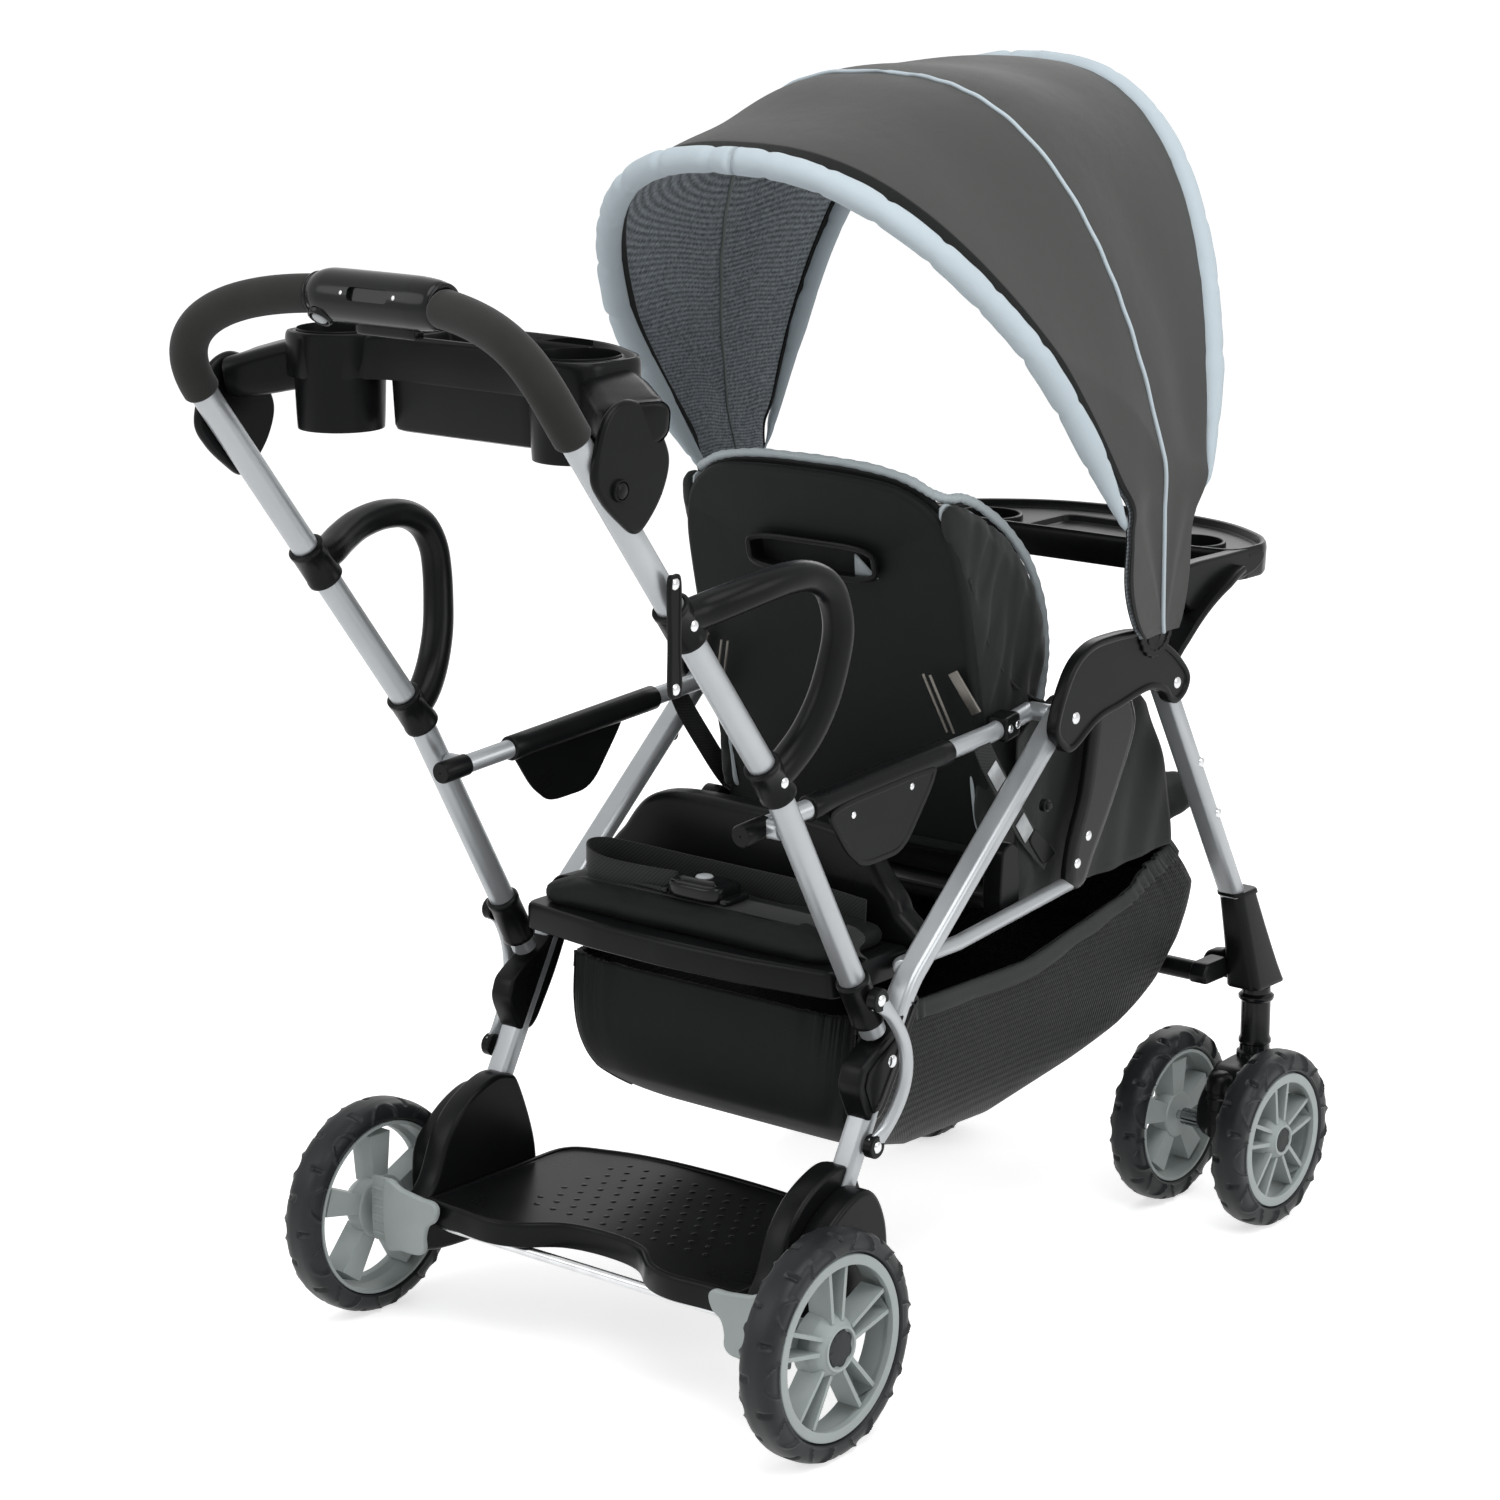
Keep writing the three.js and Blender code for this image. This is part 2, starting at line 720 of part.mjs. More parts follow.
// Saddle: grips the rear leg and takes the foot of the handle tube, which swings out to the rear.
const saddleY = footY + (saddleHeightOnLeg - footHeight) * lowerSlope;
const saddleOutline = rounded(
  fromShares(saddleOutlineShares, [saddleY, saddleHeightOnLeg], saddleLength, saddleHeight), 0.22, 2,
);
const saddleOuter = legOuter + clearance + saddleWall;
const saddleInner = legInner - clearance - saddleWall;
const saddle = carve(slabX(saddleOutline, saddleInner, saddleOuter), rearLegSolid(clearance));
const saddleRivet = rodX(saddleY, saddleHeightOnLeg, rivetRadius, saddleOuter - clearance, saddleOuter + rivetHead, 12);
hangPair(stroller, stroller, 'leg_saddle', join(saddle, saddleRivet), black, 0.45, 0);

// Rear fenders stand on the axle, take the foot of the leg and leave a pocket for the brake pedal.
const fenderOutline = rounded(
  fromShares(fenderOutlineShares, [rearAxleY, rearAxleHeight], fenderLength, fenderHeight), 0.25, 2,
);
const pedalPocket = block(
  fenderPocketInner, fenderOuter + cutOverrun,
  rearAxleY - pedalHubRadius * 2, rearAxleY + cutOverrun,
  rearAxleHeight - cutOverrun, rearAxleHeight + pedalHubRadius * 2,
);
const axleHole = rodX(
  rearAxleY, rearAxleHeight, (axleRadius + boreClearance) / Math.cos(Math.PI / 16), 0, rearWheelX + cutOverrun,
);
const fender = carve(
  slabX(fenderOutline, fenderInner, fenderOuter), rearLegSolid(clearance), pedalPocket, axleHole,
);
hangPair(stroller, stroller, 'rear_fender', fender, black, 0.45, 0);

const rearAxleEnd = rearWheelX + rearWheelWidth / 2 - capThickness * 1.5 - clearance;
hang(stroller, 'rear_axle', rodX(rearAxleY, rearAxleHeight, axleRadius, -rearAxleEnd, rearAxleEnd), silver, 0.3, 0.9);

// Standing board: a shallow tray moulding, open below, with cross ribs.
const boardOutline = smooth(bothSides(fromShares(
  boardOutlineShares, [0, boardFront], boardHalfWidth, boardRear - boardFront,
)), 34).map(([x, y]) => [THREE.MathUtils.clamp(x, -boardHalfWidth, boardHalfWidth), y]);
const boardHollow = slabZ(inset(boardOutline, boardWall), boardBottom - cutOverrun, boardTop - boardWall);
const boardRib = (i) => {
  const x = boardHalfWidth * ((2 * (i + 1)) / (boardRibs + 1) - 1);
  return block(x - boardWall / 2, x + boardWall / 2, boardFront, boardRear, boardBottom + boardWall, boardTop);
};
const boardShell = carve(slabZ(boardOutline, boardBottom, boardTop), boardHollow);
const boardInside = slabZ(inset(boardOutline, boardWall / 2), boardBottom, boardTop);
const ribs = Array.from({ length: boardRibs }, (_, i) => boardRib(i).intersect(boardInside));
hang(stroller, 'step_board', join(boardShell, ...ribs), black, 0.5, 0);

// Armrests: moulded arches over the fold hubs, with a raised rim and the disc that carries the canopy.
const armrestOutline = smooth(
  fromShares(armrestOutlineShares, [hubY, hubHeight], armrestLength, armrestHeight), 27,
);
const armrest = join(
  slabX(armrestOutline, armrestInner, armrestOuter),
  rodX(canopyPivotY, canopyPivotHeight, canopyDiscRadius, armrestInner, canopyDiscOuter - clearance, 16),
);
const armrestDish = slabX(inset(armrestOutline, armrestLip * 2), armrestOuter - armrestLip, armrestOuter + cutOverrun);
const armrestDiscKeep = rodX(canopyPivotY, canopyPivotHeight, canopyDiscRadius, armrestInner, canopyDiscOuter, 16);
hangPair(stroller, stroller, 'hub_cover', carve(armrest, carve(armrestDish, armrestDiscKeep)), black, 0.4, 0);

// Lower rails: from the rear leg forwards under the front seat.
const lowerRailRoute = bent([
  point(legInner - clearance, lowerRailRear, lowerRailHeight), point(lowerRailX, lowerRailRear - lowerRailRadius, lowerRailHeight),
  point(lowerRailX, lowerRailBendY, lowerRailHeight),
  point(lowerRailX, lowerRailFront, lowerRailHeight + lowerRailRise),
], lowerRailRadius * 2, 2);
const lowerRailSolid = (radius) => sweep(lowerRailRoute, ring(radius, 12));
hangPair(stroller, stroller, 'lower_rail', carve(lowerRailSolid(lowerRailRadius), rearLegSolid(clearance)),
  silver, 0.35, 0.8);

// Side struts: plates from the fold hub down to the lower rail.
const strutOutline = rounded(fromShares(
  strutOutlineShares, [lowerRailFront, lowerRailHeight + lowerRailRise], strutLength, strutHeight,
), 0.25, 3);
const strutBossY = lowerRailFront - strutLength * 0.42;
const strutBossZ = lowerRailHeight + lowerRailRise + strutHeight * 0.955;
const strut = join(
  slabX(strutOutline, strutInner, strutOuter),
  rodX(strutBossY, strutBossZ, railBoss, strutInner, armrestInner - clearance, 14),
);
hangPair(stroller, stroller, 'side_strut', carve(strut, lowerRailSolid(around(lowerRailRadius, 12))), black, 0.5, 0);

// Rear bench: a pan with an upstand at its front, hollow below.
const panOutline = (cut) => [
  [panHalfWidth - cut, panFront + cut], [panHalfWidth - cut, panRear - cut],
  [panHalfWidth / 2, panRear + panBow * 0.75 - cut], [0, panRear + panBow - cut],
  [-panHalfWidth / 2, panRear + panBow * 0.75 - cut], [cut - panHalfWidth, panRear - cut],
  [cut - panHalfWidth, panFront + cut],
];
const upstandOutline = smooth(
  fromShares(upstandOutlineShares, [0, panTop - panWall], padHalfWidth, upstandTop - panTop + panWall), 30,
).map(([x, z]) => [x, Math.max(z, panTop - panWall)]);
const pan = join(
  carve(
    slabZ(rounded(panOutline(0), 0.12, 3), panBottom, panTop),
    slabZ(panOutline(panWall), panBottom - cutOverrun, panTop - panWall),
  ),
  slabY(upstandOutline, panFront, panFront + upstandThickness),
);
hang(stroller, 'bench_pan', pan, black, 0.5, 0);

const padRearShare = 0.97;
const padFrontY = panFront + upstandThickness + clearance;
const padHalfDepth = (panRear * padRearShare - padFrontY) / 2;
const padMiddleY = padFrontY + padHalfDepth;
const padBottom = panTop + clearance;
hang(stroller, 'bench_pad', cushion(padHalfWidth, padHalfDepth, padThickness, padCrown, padInset,
  new THREE.Matrix4().setPosition(0, padMiddleY, padBottom)), fabric, 0.9, 0);

// Lap belt over the pad, its buckle and the release button.
const beltHeight = padBottom + padThickness + padCrown + clearance + beltThickness / 2;
const beltY = padMiddleY + padInset * 2;
const beltBend = padHalfWidth - padCrown * 3.8;
const beltDrop = padCrown * 0.42;
const beltLine = [
  [-beltHalfLength, beltHeight - beltDrop], [-beltBend, beltHeight], [beltBend, beltHeight],
  [beltHalfLength, beltHeight - beltDrop],
];
const beltOutline = [
  ...beltLine.map(([x, z]) => [x, z + beltThickness / 2]),
  ...[...beltLine].reverse().map(([x, z]) => [x, z - beltThickness / 2]),
];
hang(stroller, 'lap_belt', slabY(beltOutline, beltY - beltWidth / 2, beltY + beltWidth / 2), fabric, 0.85, 0);

const buckleBottom = beltHeight + beltThickness / 2 + clearance;
const buckleOutline = rounded([
  [buckleLength / 2, beltY + buckleWidth / 2], [-buckleLength / 2, beltY + buckleWidth / 2],
  [-buckleLength / 2, beltY - buckleWidth / 2], [buckleLength / 2, beltY - buckleWidth / 2],
], 0.2, 4);
const buckle = carve(
  join(
    slabZ(buckleOutline, buckleBottom, buckleBottom + buckleHeight * 0.7),
    slabZ(inset(buckleOutline, padInset), buckleBottom, buckleBottom + buckleHeight),
  ),
  rodZ(0, beltY, buckleButtonRadius + boreClearance, buckleBottom + buckleHeight * 0.35, buckleBottom + cutOverrun),
);
hang(stroller, 'belt_buckle', buckle, black, 0.4, 0);

// Storage basket: a deep sling with a raised front, open on top, hung from the lower rails.
const basketOutline = fromShares(basketOutlineShares, [basketRear, basketTop], basketLength, basketHeight);
const basketHollow = inset(basketOutline, basketWall);
const hollowHalf = basketHalfWidth - basketWall;
const basketShell = carve(
  slabX(basketOutline, -basketHalfWidth, basketHalfWidth),
  slabX(basketHollow, -hollowHalf, hollowHalf),
  slabX(basketHollow.map(([y, z]) => [y, z + basketWall * 1.1]), -hollowHalf, hollowHalf),
);
const hangerOutline = (y) => [
  [y, basketTop - hangerWidth * 2], [y + hangerWidth, basketTop - hangerWidth * 2],
  [y + hangerWidth, lowerRailHeight - lowerRailRadius - clearance * 2],
  [y, lowerRailHeight - lowerRailRadius - clearance * 2],
];
const hangerShares = [-0.17, -0.42];
const hangers = [1, -1].flatMap((side) => hangerShares.map((share) => {
  const outline = hangerOutline(basketRear + basketLength * share - hangerWidth * 2);
  const inner = side * (basketHalfWidth - hangerThickness / 2);
  const outer = side * (lowerRailX + hangerThickness / 2);
  const tab = slabX(outline, Math.min(inner, side * (basketHalfWidth + hangerThickness)),
    Math.max(inner, side * (basketHalfWidth + hangerThickness)));
  const foot = slabX(outline.map(([y, z]) => [y, Math.max(z, lowerRailHeight - lowerRailRadius - hangerThickness)]),
    Math.min(inner, outer), Math.max(inner, outer));
  return join(tab, foot);
}));
hang(stroller, 'basket', join(basketShell, ...hangers), fabric, 0.9, 0);

// Front seat base between the lower rails: a dished cushion on a board with side flanges.
const seatBaseRear = seatHingeY - seatThickness;
const seatEar = carve(
  slabX(band([[seatHingeY, seatBaseBottom + seatEarHalf], [seatHingeY, seatHingeHeight]], seatEarHalf, 6),
    seatHalfWidth + clearance * 2, panHalfWidth),
  rodX(seatHingeY, seatHingeHeight, (seatPinRadius + boreClearance) / Math.cos(Math.PI / 12), 0, panHalfWidth + cutOverrun),
);
const seatBase = join(
  seatEar, flip(seatEar),
  block(-panHalfWidth, panHalfWidth, seatBaseFront + wingThickness * 3, seatBaseRear + seatThickness / 2, seatBaseBottom, seatBaseBottom + seatFlange),
  cushion(seatHalfWidth, (seatBaseRear - seatBaseFront) / 2, seatBaseTop - seatBaseBottom, seatDish, padInset,
    new THREE.Matrix4().setPosition(0, (seatBaseRear + seatBaseFront) / 2, seatBaseBottom)),
);
hang(stroller, 'seat_base', carve(seatBase, lowerRailSolid(around(lowerRailRadius, 12)),
  flip(lowerRailSolid(around(lowerRailRadius, 12)))), fabric, 0.9, 0);

// Rails body: swings a little about the hubs as the fold begins.
const rails = body(stroller, point(0, hubY, hubHeight));
const tubeSlope = (gripY - bendY) / (gripHeight - bendHeight);
const stubSlope = (bendY - stubY) / (bendHeight - stubHeight);
const onStub = (z) => bendY + (z - bendHeight) * stubSlope;
const onTube = (z) => bendY + (z - bendHeight) * tubeSlope;
const foldPivotY = onStub(foldPivotHeight);
const railAt = (y) => railBendHeight + (y - railBendY) * ((foldPivotHeight - railBendHeight) / (foldPivotY - railBendY));
const railRoute = bent([
  point(railX, foldPivotY + railTail, railAt(foldPivotY + railTail)), point(railX, railBendY, railBendHeight),
  point(railX, hubY, hubHeight),
], railRadius * 4, 2);
const railSolid = (radius) => sweep(railRoute, ring(radius, 10));
const railCap = tubeBetween(
  point(railX, foldPivotY + railTail + rivetHead, railAt(foldPivotY + railTail + rivetHead)),
  point(railX, foldPivotY + railTail - railCapLength, railAt(foldPivotY + railTail - railCapLength)), railCapRadius,
);
const sideRail = join(
  railSolid(railRadius), railCap,
  rodX(foldPivotY, foldPivotHeight, railBoss, railX, frameHalfWidth - handleRadius - clearance, 14),
  rodX(hubY, hubHeight, railBoss, railX, legInner - clearance, 14),
  rodX(hubY, hubHeight, railCapRadius, railX - railRadius, railX + railRadius, 14),
);
hangPair(rails, rails, 'side_rail', sideRail, silver, 0.35, 0.8);

// Guards: a moulded sleeve round each rail with a flap that hangs on the outside and follows the rail.
const guardSleeve = tubeBetween(
  point(railX, guardRear, railAt(guardRear)), point(railX, guardFront, railAt(guardFront)), guardRadius, 14,
);
const flapOutline = rounded(fromShares(
  flapOutlineShares, [guardFront, 0], guardRear - guardFront, flapDrop,
).map(([y, z]) => [y, z + railAt(y) - railRadius]), 0.15, 2);
const flapInner = railX + railRadius + clearance * 2;
const guard = carve(
  join(guardSleeve, slabX(flapOutline, flapInner, flapInner + flapThickness)), railSolid(around(railRadius, 10)),
);
hangPair(rails, rails, 'rail_guard', guard, black, 0.45, 0);

// Handle body: one bent tube from stub to stub, turning about the rear ends of the rails.
const handle = body(rails, point(0, foldPivotY, foldPivotHeight));
const stub = point(frameHalfWidth, stubY, stubHeight);
const gripStart = point(frameHalfWidth, gripY, gripHeight);
const straight = bent([stub, point(frameHalfWidth, bendY, bendHeight), gripStart], handleBend, 3);
const gripDirection = straight[straight.length - 1].along;
const shoulder = new THREE.CubicBezierCurve3(
  gripStart, gripStart.clone().addScaledVector(gripDirection, shoulderRise),
  point(shoulderX, shoulderY, shoulderHeight), point(barHalf, barY, barHeight),
);
const gripStations = along(shoulder, 7);
const halfHandle = [...straight.slice(0, -1), ...gripStations];
const otherHalf = [...halfHandle].reverse().map((s) => (
  { at: point(-s.at.x, s.at.y, s.at.z), along: point(s.along.x, -s.along.y, -s.along.z) }));
const handleSolid = (radius, sides = 10) => sweep([...halfHandle, ...otherHalf], ring(radius, sides));
const foldRivet = rodX(foldPivotY, foldPivotHeight, rivetRadius, frameHalfWidth, frameHalfWidth + handleRadius + rivetHead, 12);
hang(handle, 'handle_tube', join(handleSolid(handleRadius), foldRivet, flip(foldRivet)), silver, 0.35, 0.8);
const handleCut = handleSolid(around(handleRadius, 10));

// Foam on both shoulders of the handle, up to the console.
const foamLeft = carve(sweep(gripStations, ring(foamRadius, 10)), handleCut);
const consoleCut = slabX(
  ring(foamRadius * 2, 8, [barY, barHeight]), -consoleRight - clearance, consoleLeft + clearance,
);
hang(handle, 'foam_grip_left', carve(foamLeft, consoleCut), foam, 0.95, 0);
hang(handle, 'foam_grip_right', carve(flip(foamLeft), consoleCut), foam, 0.95, 0);

// Console on the crossbar with its one hand fold controls.
const consoleStations = [
  [consoleLeft, consoleEnd], [consoleLeft - consoleEnd / 3, consoleRadius * 0.9], [consoleLeft / 2, consoleRadius],
  [-consoleRight / 2, consoleRadius], [consoleEnd * 0.7 - consoleRight, consoleRadius * 0.92], [-consoleRight, consoleEnd],
];
const consoleBody = loft(consoleStations.map(([x, r]) => ring(r, 12, [barY, barHeight]).map(([y, z]) => point(x, y, z))));
const buttonWay = point(0, 0.64, -0.77).normalize();
const onBar = (x, reach) => point(x, barY, barHeight).addScaledVector(buttonWay, reach);
const buttonCut = tubeBetween(onBar(buttonX, handleRadius), onBar(buttonX, consoleRadius + cutOverrun),
  (buttonRadius + boreClearance) / Math.cos(Math.PI / 12), 12);
const triggerCut = block(
  triggerX - triggerLength / 2 - boreClearance, triggerX + triggerLength / 2 + boreClearance,
  barY - triggerDepth / 2 - boreClearance, barY + triggerDepth / 2 + boreClearance,
  barHeight - triggerBottom - cutOverrun, barHeight - triggerTop + triggerTravel + clearance,
);
const slotCut = block(
  triggerX - slotWidth / 2 + slotHeight, triggerX + slotWidth / 2 + slotHeight,
  barY + consoleRadius - slotDepth, barY + consoleRadius + cutOverrun,
  barHeight - slotHeight / 2 + slotHeight, barHeight + slotHeight / 2 + slotHeight,
);
hang(handle, 'console', carve(consoleBody, handleCut, buttonCut, triggerCut, slotCut), black, 0.3, 0);

// Parent tray: two cup holders and a bin in a shallow shell, held by an ear on each tube.
const earOnTube = [onTube(earHeightOnTube), earHeightOnTube];
const trayDepth = trayCupY + trayCupRadius + trayWall - trayFront;
const trayOutline = smooth(
  bothSides(fromShares(trayOutlineShares, [0, trayFront], trayHalfWidth, trayDepth)), 24,
);
const binOutline = (cut) => rounded([
  [trayBinHalf + cut, trayFront + trayWall * 2 - cut], [trayBinHalf + cut, trayBinRear + cut],
  [-trayBinHalf - cut, trayBinRear + cut], [-trayBinHalf - cut, trayFront + trayWall * 2 - cut],
], 0.1, 3);
const earInner = frameHalfWidth + handleRadius + clearance;
const trayArm = slabZ([
  [trayHalfWidth * 0.88, trayCupY - trayCupRadius / 2], [trayHalfWidth * 0.88, trayCupY + trayCupRadius * 0.55],
  [earInner, earOnTube[0] - trayWall * 2], [earInner + earThickness, earOnTube[0] - trayWall * 2],
  [earInner + earThickness, earOnTube[0] - earLength * 0.6], [earInner, earOnTube[0] - earLength * 0.62],
], trayArmLow, trayArmHigh);
const trayArmRoot = slabZ([
  [trayHalfWidth * 0.86, trayCupY - trayCupRadius / 2], [trayHalfWidth * 0.86, trayCupY + trayCupRadius * 0.55],
  [trayHalfWidth * 0.96, trayCupY + trayCupRadius * 0.55], [trayHalfWidth * 0.96, trayCupY - trayCupRadius / 2],
], trayArmLow, traySkirt + trayWall);
const ear = join(
  slabX(rounded(fromShares(earOutlineShares, earOnTube, earLength, earHeight), 0.25, 2), earInner, earInner + earThickness),
  rodX(...earOnTube, earBoss, earInner, earInner + earThickness + rivetHead * 2, 12),
  trayArm, trayArmRoot,
);
const trayCup = rodZ(trayCupX, trayCupY, trayCupRadius + trayWall, trayCupBottom, trayTop, 14);
const trayCupHole = rodZ(trayCupX, trayCupY, trayCupRadius, trayCupBottom + trayWall, trayTop + cutOverrun, 14);
const trayShell = carve(
  slabZ(trayOutline, traySkirt, trayTop),
  slabZ(inset(trayOutline, trayWall), traySkirt - cutOverrun, trayTop - trayDish - trayWall),
  slabZ(inset(trayOutline, trayWall * 1.5), trayTop - trayDish, trayTop + cutOverrun),
);
const parentTray = carve(
  join(trayShell, trayCup, flip(trayCup), slabZ(binOutline(trayWall), trayCupBottom, trayTop), ear, flip(ear)),
  trayCupHole, flip(trayCupHole),
  slabZ(binOutline(0), trayCupBottom + trayWall, trayTop + cutOverrun),
);
hang(handle, 'parent_tray', parentTray, black, 0.5, 0);

// Side grips: bent loops clamped to the tube at both ends, splayed outwards.
const gripTop = [onTube(sideGripHigh), sideGripHigh];
const gripLow = [onTube(sideGripLow), sideGripLow];
const gripPath = new THREE.CatmullRomCurve3([
  point(frameHalfWidth, gripTop[0], gripTop[1]),
  ...sideGripRouteShares.map(([reach, splay, rise]) => {
    const z = sideGripLow + (sideGripHigh + sideGripRadius - sideGripLow) * rise;
    const back = gripLow[0] + (gripTop[0] - gripLow[0]) * rise ** 3;
    return point(frameHalfWidth + sideGripSplay * splay, back - (sideGripReach + (gripTop[0] - gripLow[0]) * 0.7 * rise) * reach, z);
  }),
  point(frameHalfWidth, gripLow[0], gripLow[1]),
], false, 'centripetal');
const sleeve = (z) => {
  const middle = point(frameHalfWidth, onTube(z), z);
  const half = gripDirection.clone().multiplyScalar(sleeveLength / 2);
  return tubeBetween(middle.clone().sub(half), middle.clone().add(half), sleeveRadius, 8);
};
const sideGrip = carve(
  join(sweep(along(gripPath, 9), ring(sideGripRadius, 8)), sleeve(sideGripHigh - sideGripRadius), sleeve(sideGripLow)),
  handleCut,
);
hangPair(handle, handle, 'side_grip', sideGrip, black, 0.5, 0);

// Sockets on the feet of the handle tube.
const socket = carve(
  tubeBetween(point(frameHalfWidth, onStub(socketLow), socketLow), point(frameHalfWidth, onStub(socketHigh), socketHigh), socketRadius, 14),
  handleCut,
);
hangPair(handle, handle, 'handle_socket', socket, black, 0.5, 0);

// Fold button and trigger, each on its own short travel.
const foldButton = body(handle, onBar(buttonX, buttonBase));
hang(foldButton, 'fold_button', tubeBetween(
  onBar(buttonX, buttonBase), onBar(buttonX, consoleRadius + buttonTravel), buttonRadius, 12,
), 0xb9bec0, 0.5, 0);
const foldTrigger = body(handle, point(triggerX, barY, barHeight - triggerTop));
hang(foldTrigger, 'fold_trigger', block(
  triggerX - triggerLength / 2, triggerX + triggerLength / 2, barY - triggerDepth / 2, barY + triggerDepth / 2,
  barHeight - triggerBottom, barHeight - triggerTop,
), black, 0.4, 0);

// Storage latch: hangs free from a rivet on the right tube and hooks the folded frame.
const latchY = onTube(latchHeight);
const latchPivot = body(handle, point(-latchInner, latchY, latchHeight));
const latchBand = band([[latchY, latchHeight + latchWidth / 2], [latchY, latchHeight - latchLength + latchWidth]], latchWidth / 2);
const latchHook = rodX(latchY, latchHeight - latchLength + latchWidth, latchWidth / 4, -latchInner - latchThickness * 2,
  latchInner + latchThickness * 2, 10);
const latch = carve(
  join(slabX(latchBand, -latchInner - latchThickness, -latchInner),
    rodX(latchY, latchHeight, rivetRadius, -latchInner - latchThickness, -frameHalfWidth - handleRadius - clearance, 12)),
  latchHook,
);
hang(latchPivot, 'storage_latch', latch, black, 0.5, 0);

// Curved links between the rear legs and the handle sockets.
const linkInner = frameHalfWidth + socketRadius + clearance;
const linkX = (linkInner + linkClipOuter) / 2;
const links = body(stroller, point(0, linkLowY, linkLowHeight));
const linkHighY = onStub(linkHighHeight);
const linkCurve = new THREE.QuadraticBezierCurve3(
  point(linkX, linkHighY, linkHighHeight),
  point(linkX + linkFlare, (linkHighY + linkLowY) / 2 - linkBow, (linkHighHeight + linkLowHeight) / 2),
  point(linkX, linkLowY, linkLowHeight),
);
const link = join(
  sweep(along(linkCurve, 9), ring(linkRadius, 8)),
  rodX(linkHighY, linkHighHeight, linkClipRadius, linkInner, linkClipOuter, 16),
  rodX(linkLowY, linkLowHeight, linkClipRadius, legOuter + clearance, linkClipOuter, 16),
);
const linkRoom = block(0, linkInner, linkLowY - linkBow, linkHighY + linkClipRadius * 2, linkLowHeight + linkClipRadius, linkHighHeight + linkClipRadius * 2);
hangPair(links, links, 'curved_link', carve(link, linkRoom), silver, 0.35, 0.8);

// Front legs with the caster housings and the footrest bar between them.
const frontLegs = body(stroller, point(0, frontPivotY, frontPivotHeight));
const frontLegRoute = bent([
  point(frameHalfWidth, frontPivotY, frontPivotHeight), point(frameHalfWidth, frontToeY, frontToeHeight),
], kneeBend);
const frontLegSolid = (grow) => sweep(frontLegRoute, legSection(legWidth, frontLegDepth, grow));
const frontEye = (grow) => rodX(frontPivotY, frontPivotHeight, frontLegDepth / 2, legInner - grow, legOuter + grow, 18);
const legRivetShares = [0.34, 0.56];
const legRivets = legRivetShares.map((share) => rodX(
  frontPivotY + (frontToeY - frontPivotY) * share, frontPivotHeight + (frontToeHeight - frontPivotHeight) * share,
  rivetRadius, legInner, legOuter + rivetHead, 12,
));
hangPair(frontLegs, frontLegs, 'front_leg', join(frontLegSolid(0), frontEye(0), ...legRivets), silver, 0.35, 0.8);

const housingBottom = stemTop + clearance;
const housingOutline = rounded(
  fromShares(housingOutlineShares, [stemY, housingBottom], housingLength, housingHeight), 0.2, 2,
);
const toeCut = sweep(bent([
  point(frameHalfWidth, frontPivotY, frontPivotHeight),
  point(frameHalfWidth, frontToeY, frontToeHeight).addScaledVector(
    point(0, frontToeY - frontPivotY, frontToeHeight - frontPivotHeight).normalize(), clearance,
  ),
], kneeBend), legSection(legWidth, frontLegDepth, clearance));
const housing = carve(
  slabX(housingOutline, frameHalfWidth - housingHalfWidth, frameHalfWidth + housingHalfWidth), toeCut,
);
const footrest = rodX(
  stemY + footrestSetback, housingBottom + footrestRadius * 2, footrestRadius,
  housingHalfWidth - frameHalfWidth - 1 / 2, frameHalfWidth - housingHalfWidth + 1 / 2, 14,
);
const footrestLug = block(
  frameHalfWidth - housingHalfWidth * 1.8, frameHalfWidth, stemY + footrestSetback - housingLength * 0.3,
  stemY + footrestSetback + footrestRadius, housingBottom + footrestRadius, housingBottom + footrestRadius * 3,
);
hang(frontLegs, 'footrest_bar', join(housing, flip(housing), footrest,
  carve(footrestLug, toeCut), flip(carve(footrestLug, toeCut))), black, 0.5, 0);

// Casters: stem, collar and fork in one moulding, with the axle of the two wheels.
const frontAxleY = stemY + casterTrail;
const frontAxleReach = frontWheelSpread + frontWheelWidth / 2 - capThickness * 1.5 - clearance;
const casterFork = join(
  turnZ([[0, forkTop - stemRadius], [stemRadius, forkTop - stemRadius], [stemRadius, stemTop], [0, stemTop]], stemX, stemY),
  turnZ([[0, stemTop - collarHeight], [collarRadius - rivetHead, stemTop - collarHeight], [collarRadius, stemTop - collarHeight * 0.7],
    [collarRadius, stemTop - collarHeight * 0.2], [0, stemTop - collarHeight * 0.2]], stemX, stemY),
  turnZ([[0, forkTop], [collarRadius, forkTop], [collarRadius, forkTop + collarHeight], [stemRadius, forkTop + collarHeight * 1.5],
    [0, forkTop + collarHeight * 1.5]], stemX, stemY),
  slabX(rounded(fromShares(forkOutlineShares, [frontAxleY, frontAxleHeight], forkLength, forkHeight), 0.2, 2),
    stemX - forkHalfWidth, stemX + forkHalfWidth),
  turnZ([[0, forkTop - forkHeight], [springRadius, forkTop - forkHeight], [springRadius, forkTop - springRadius / 2],
    [springRadius * 0.7, forkTop], [0, forkTop + springRadius / 4]], stemX, frontAxleY),
  rodX(frontAxleY, frontAxleHeight, axleRadius, stemX - frontAxleReach, stemX + frontAxleReach, 8),
  rodX(frontAxleY, frontAxleHeight, axleRadius * 1.8, stemX - frontWheelSpread + frontWheelWidth / 2 + clearance,
    stemX + frontWheelSpread - frontWheelWidth / 2 - clearance, 8),
);

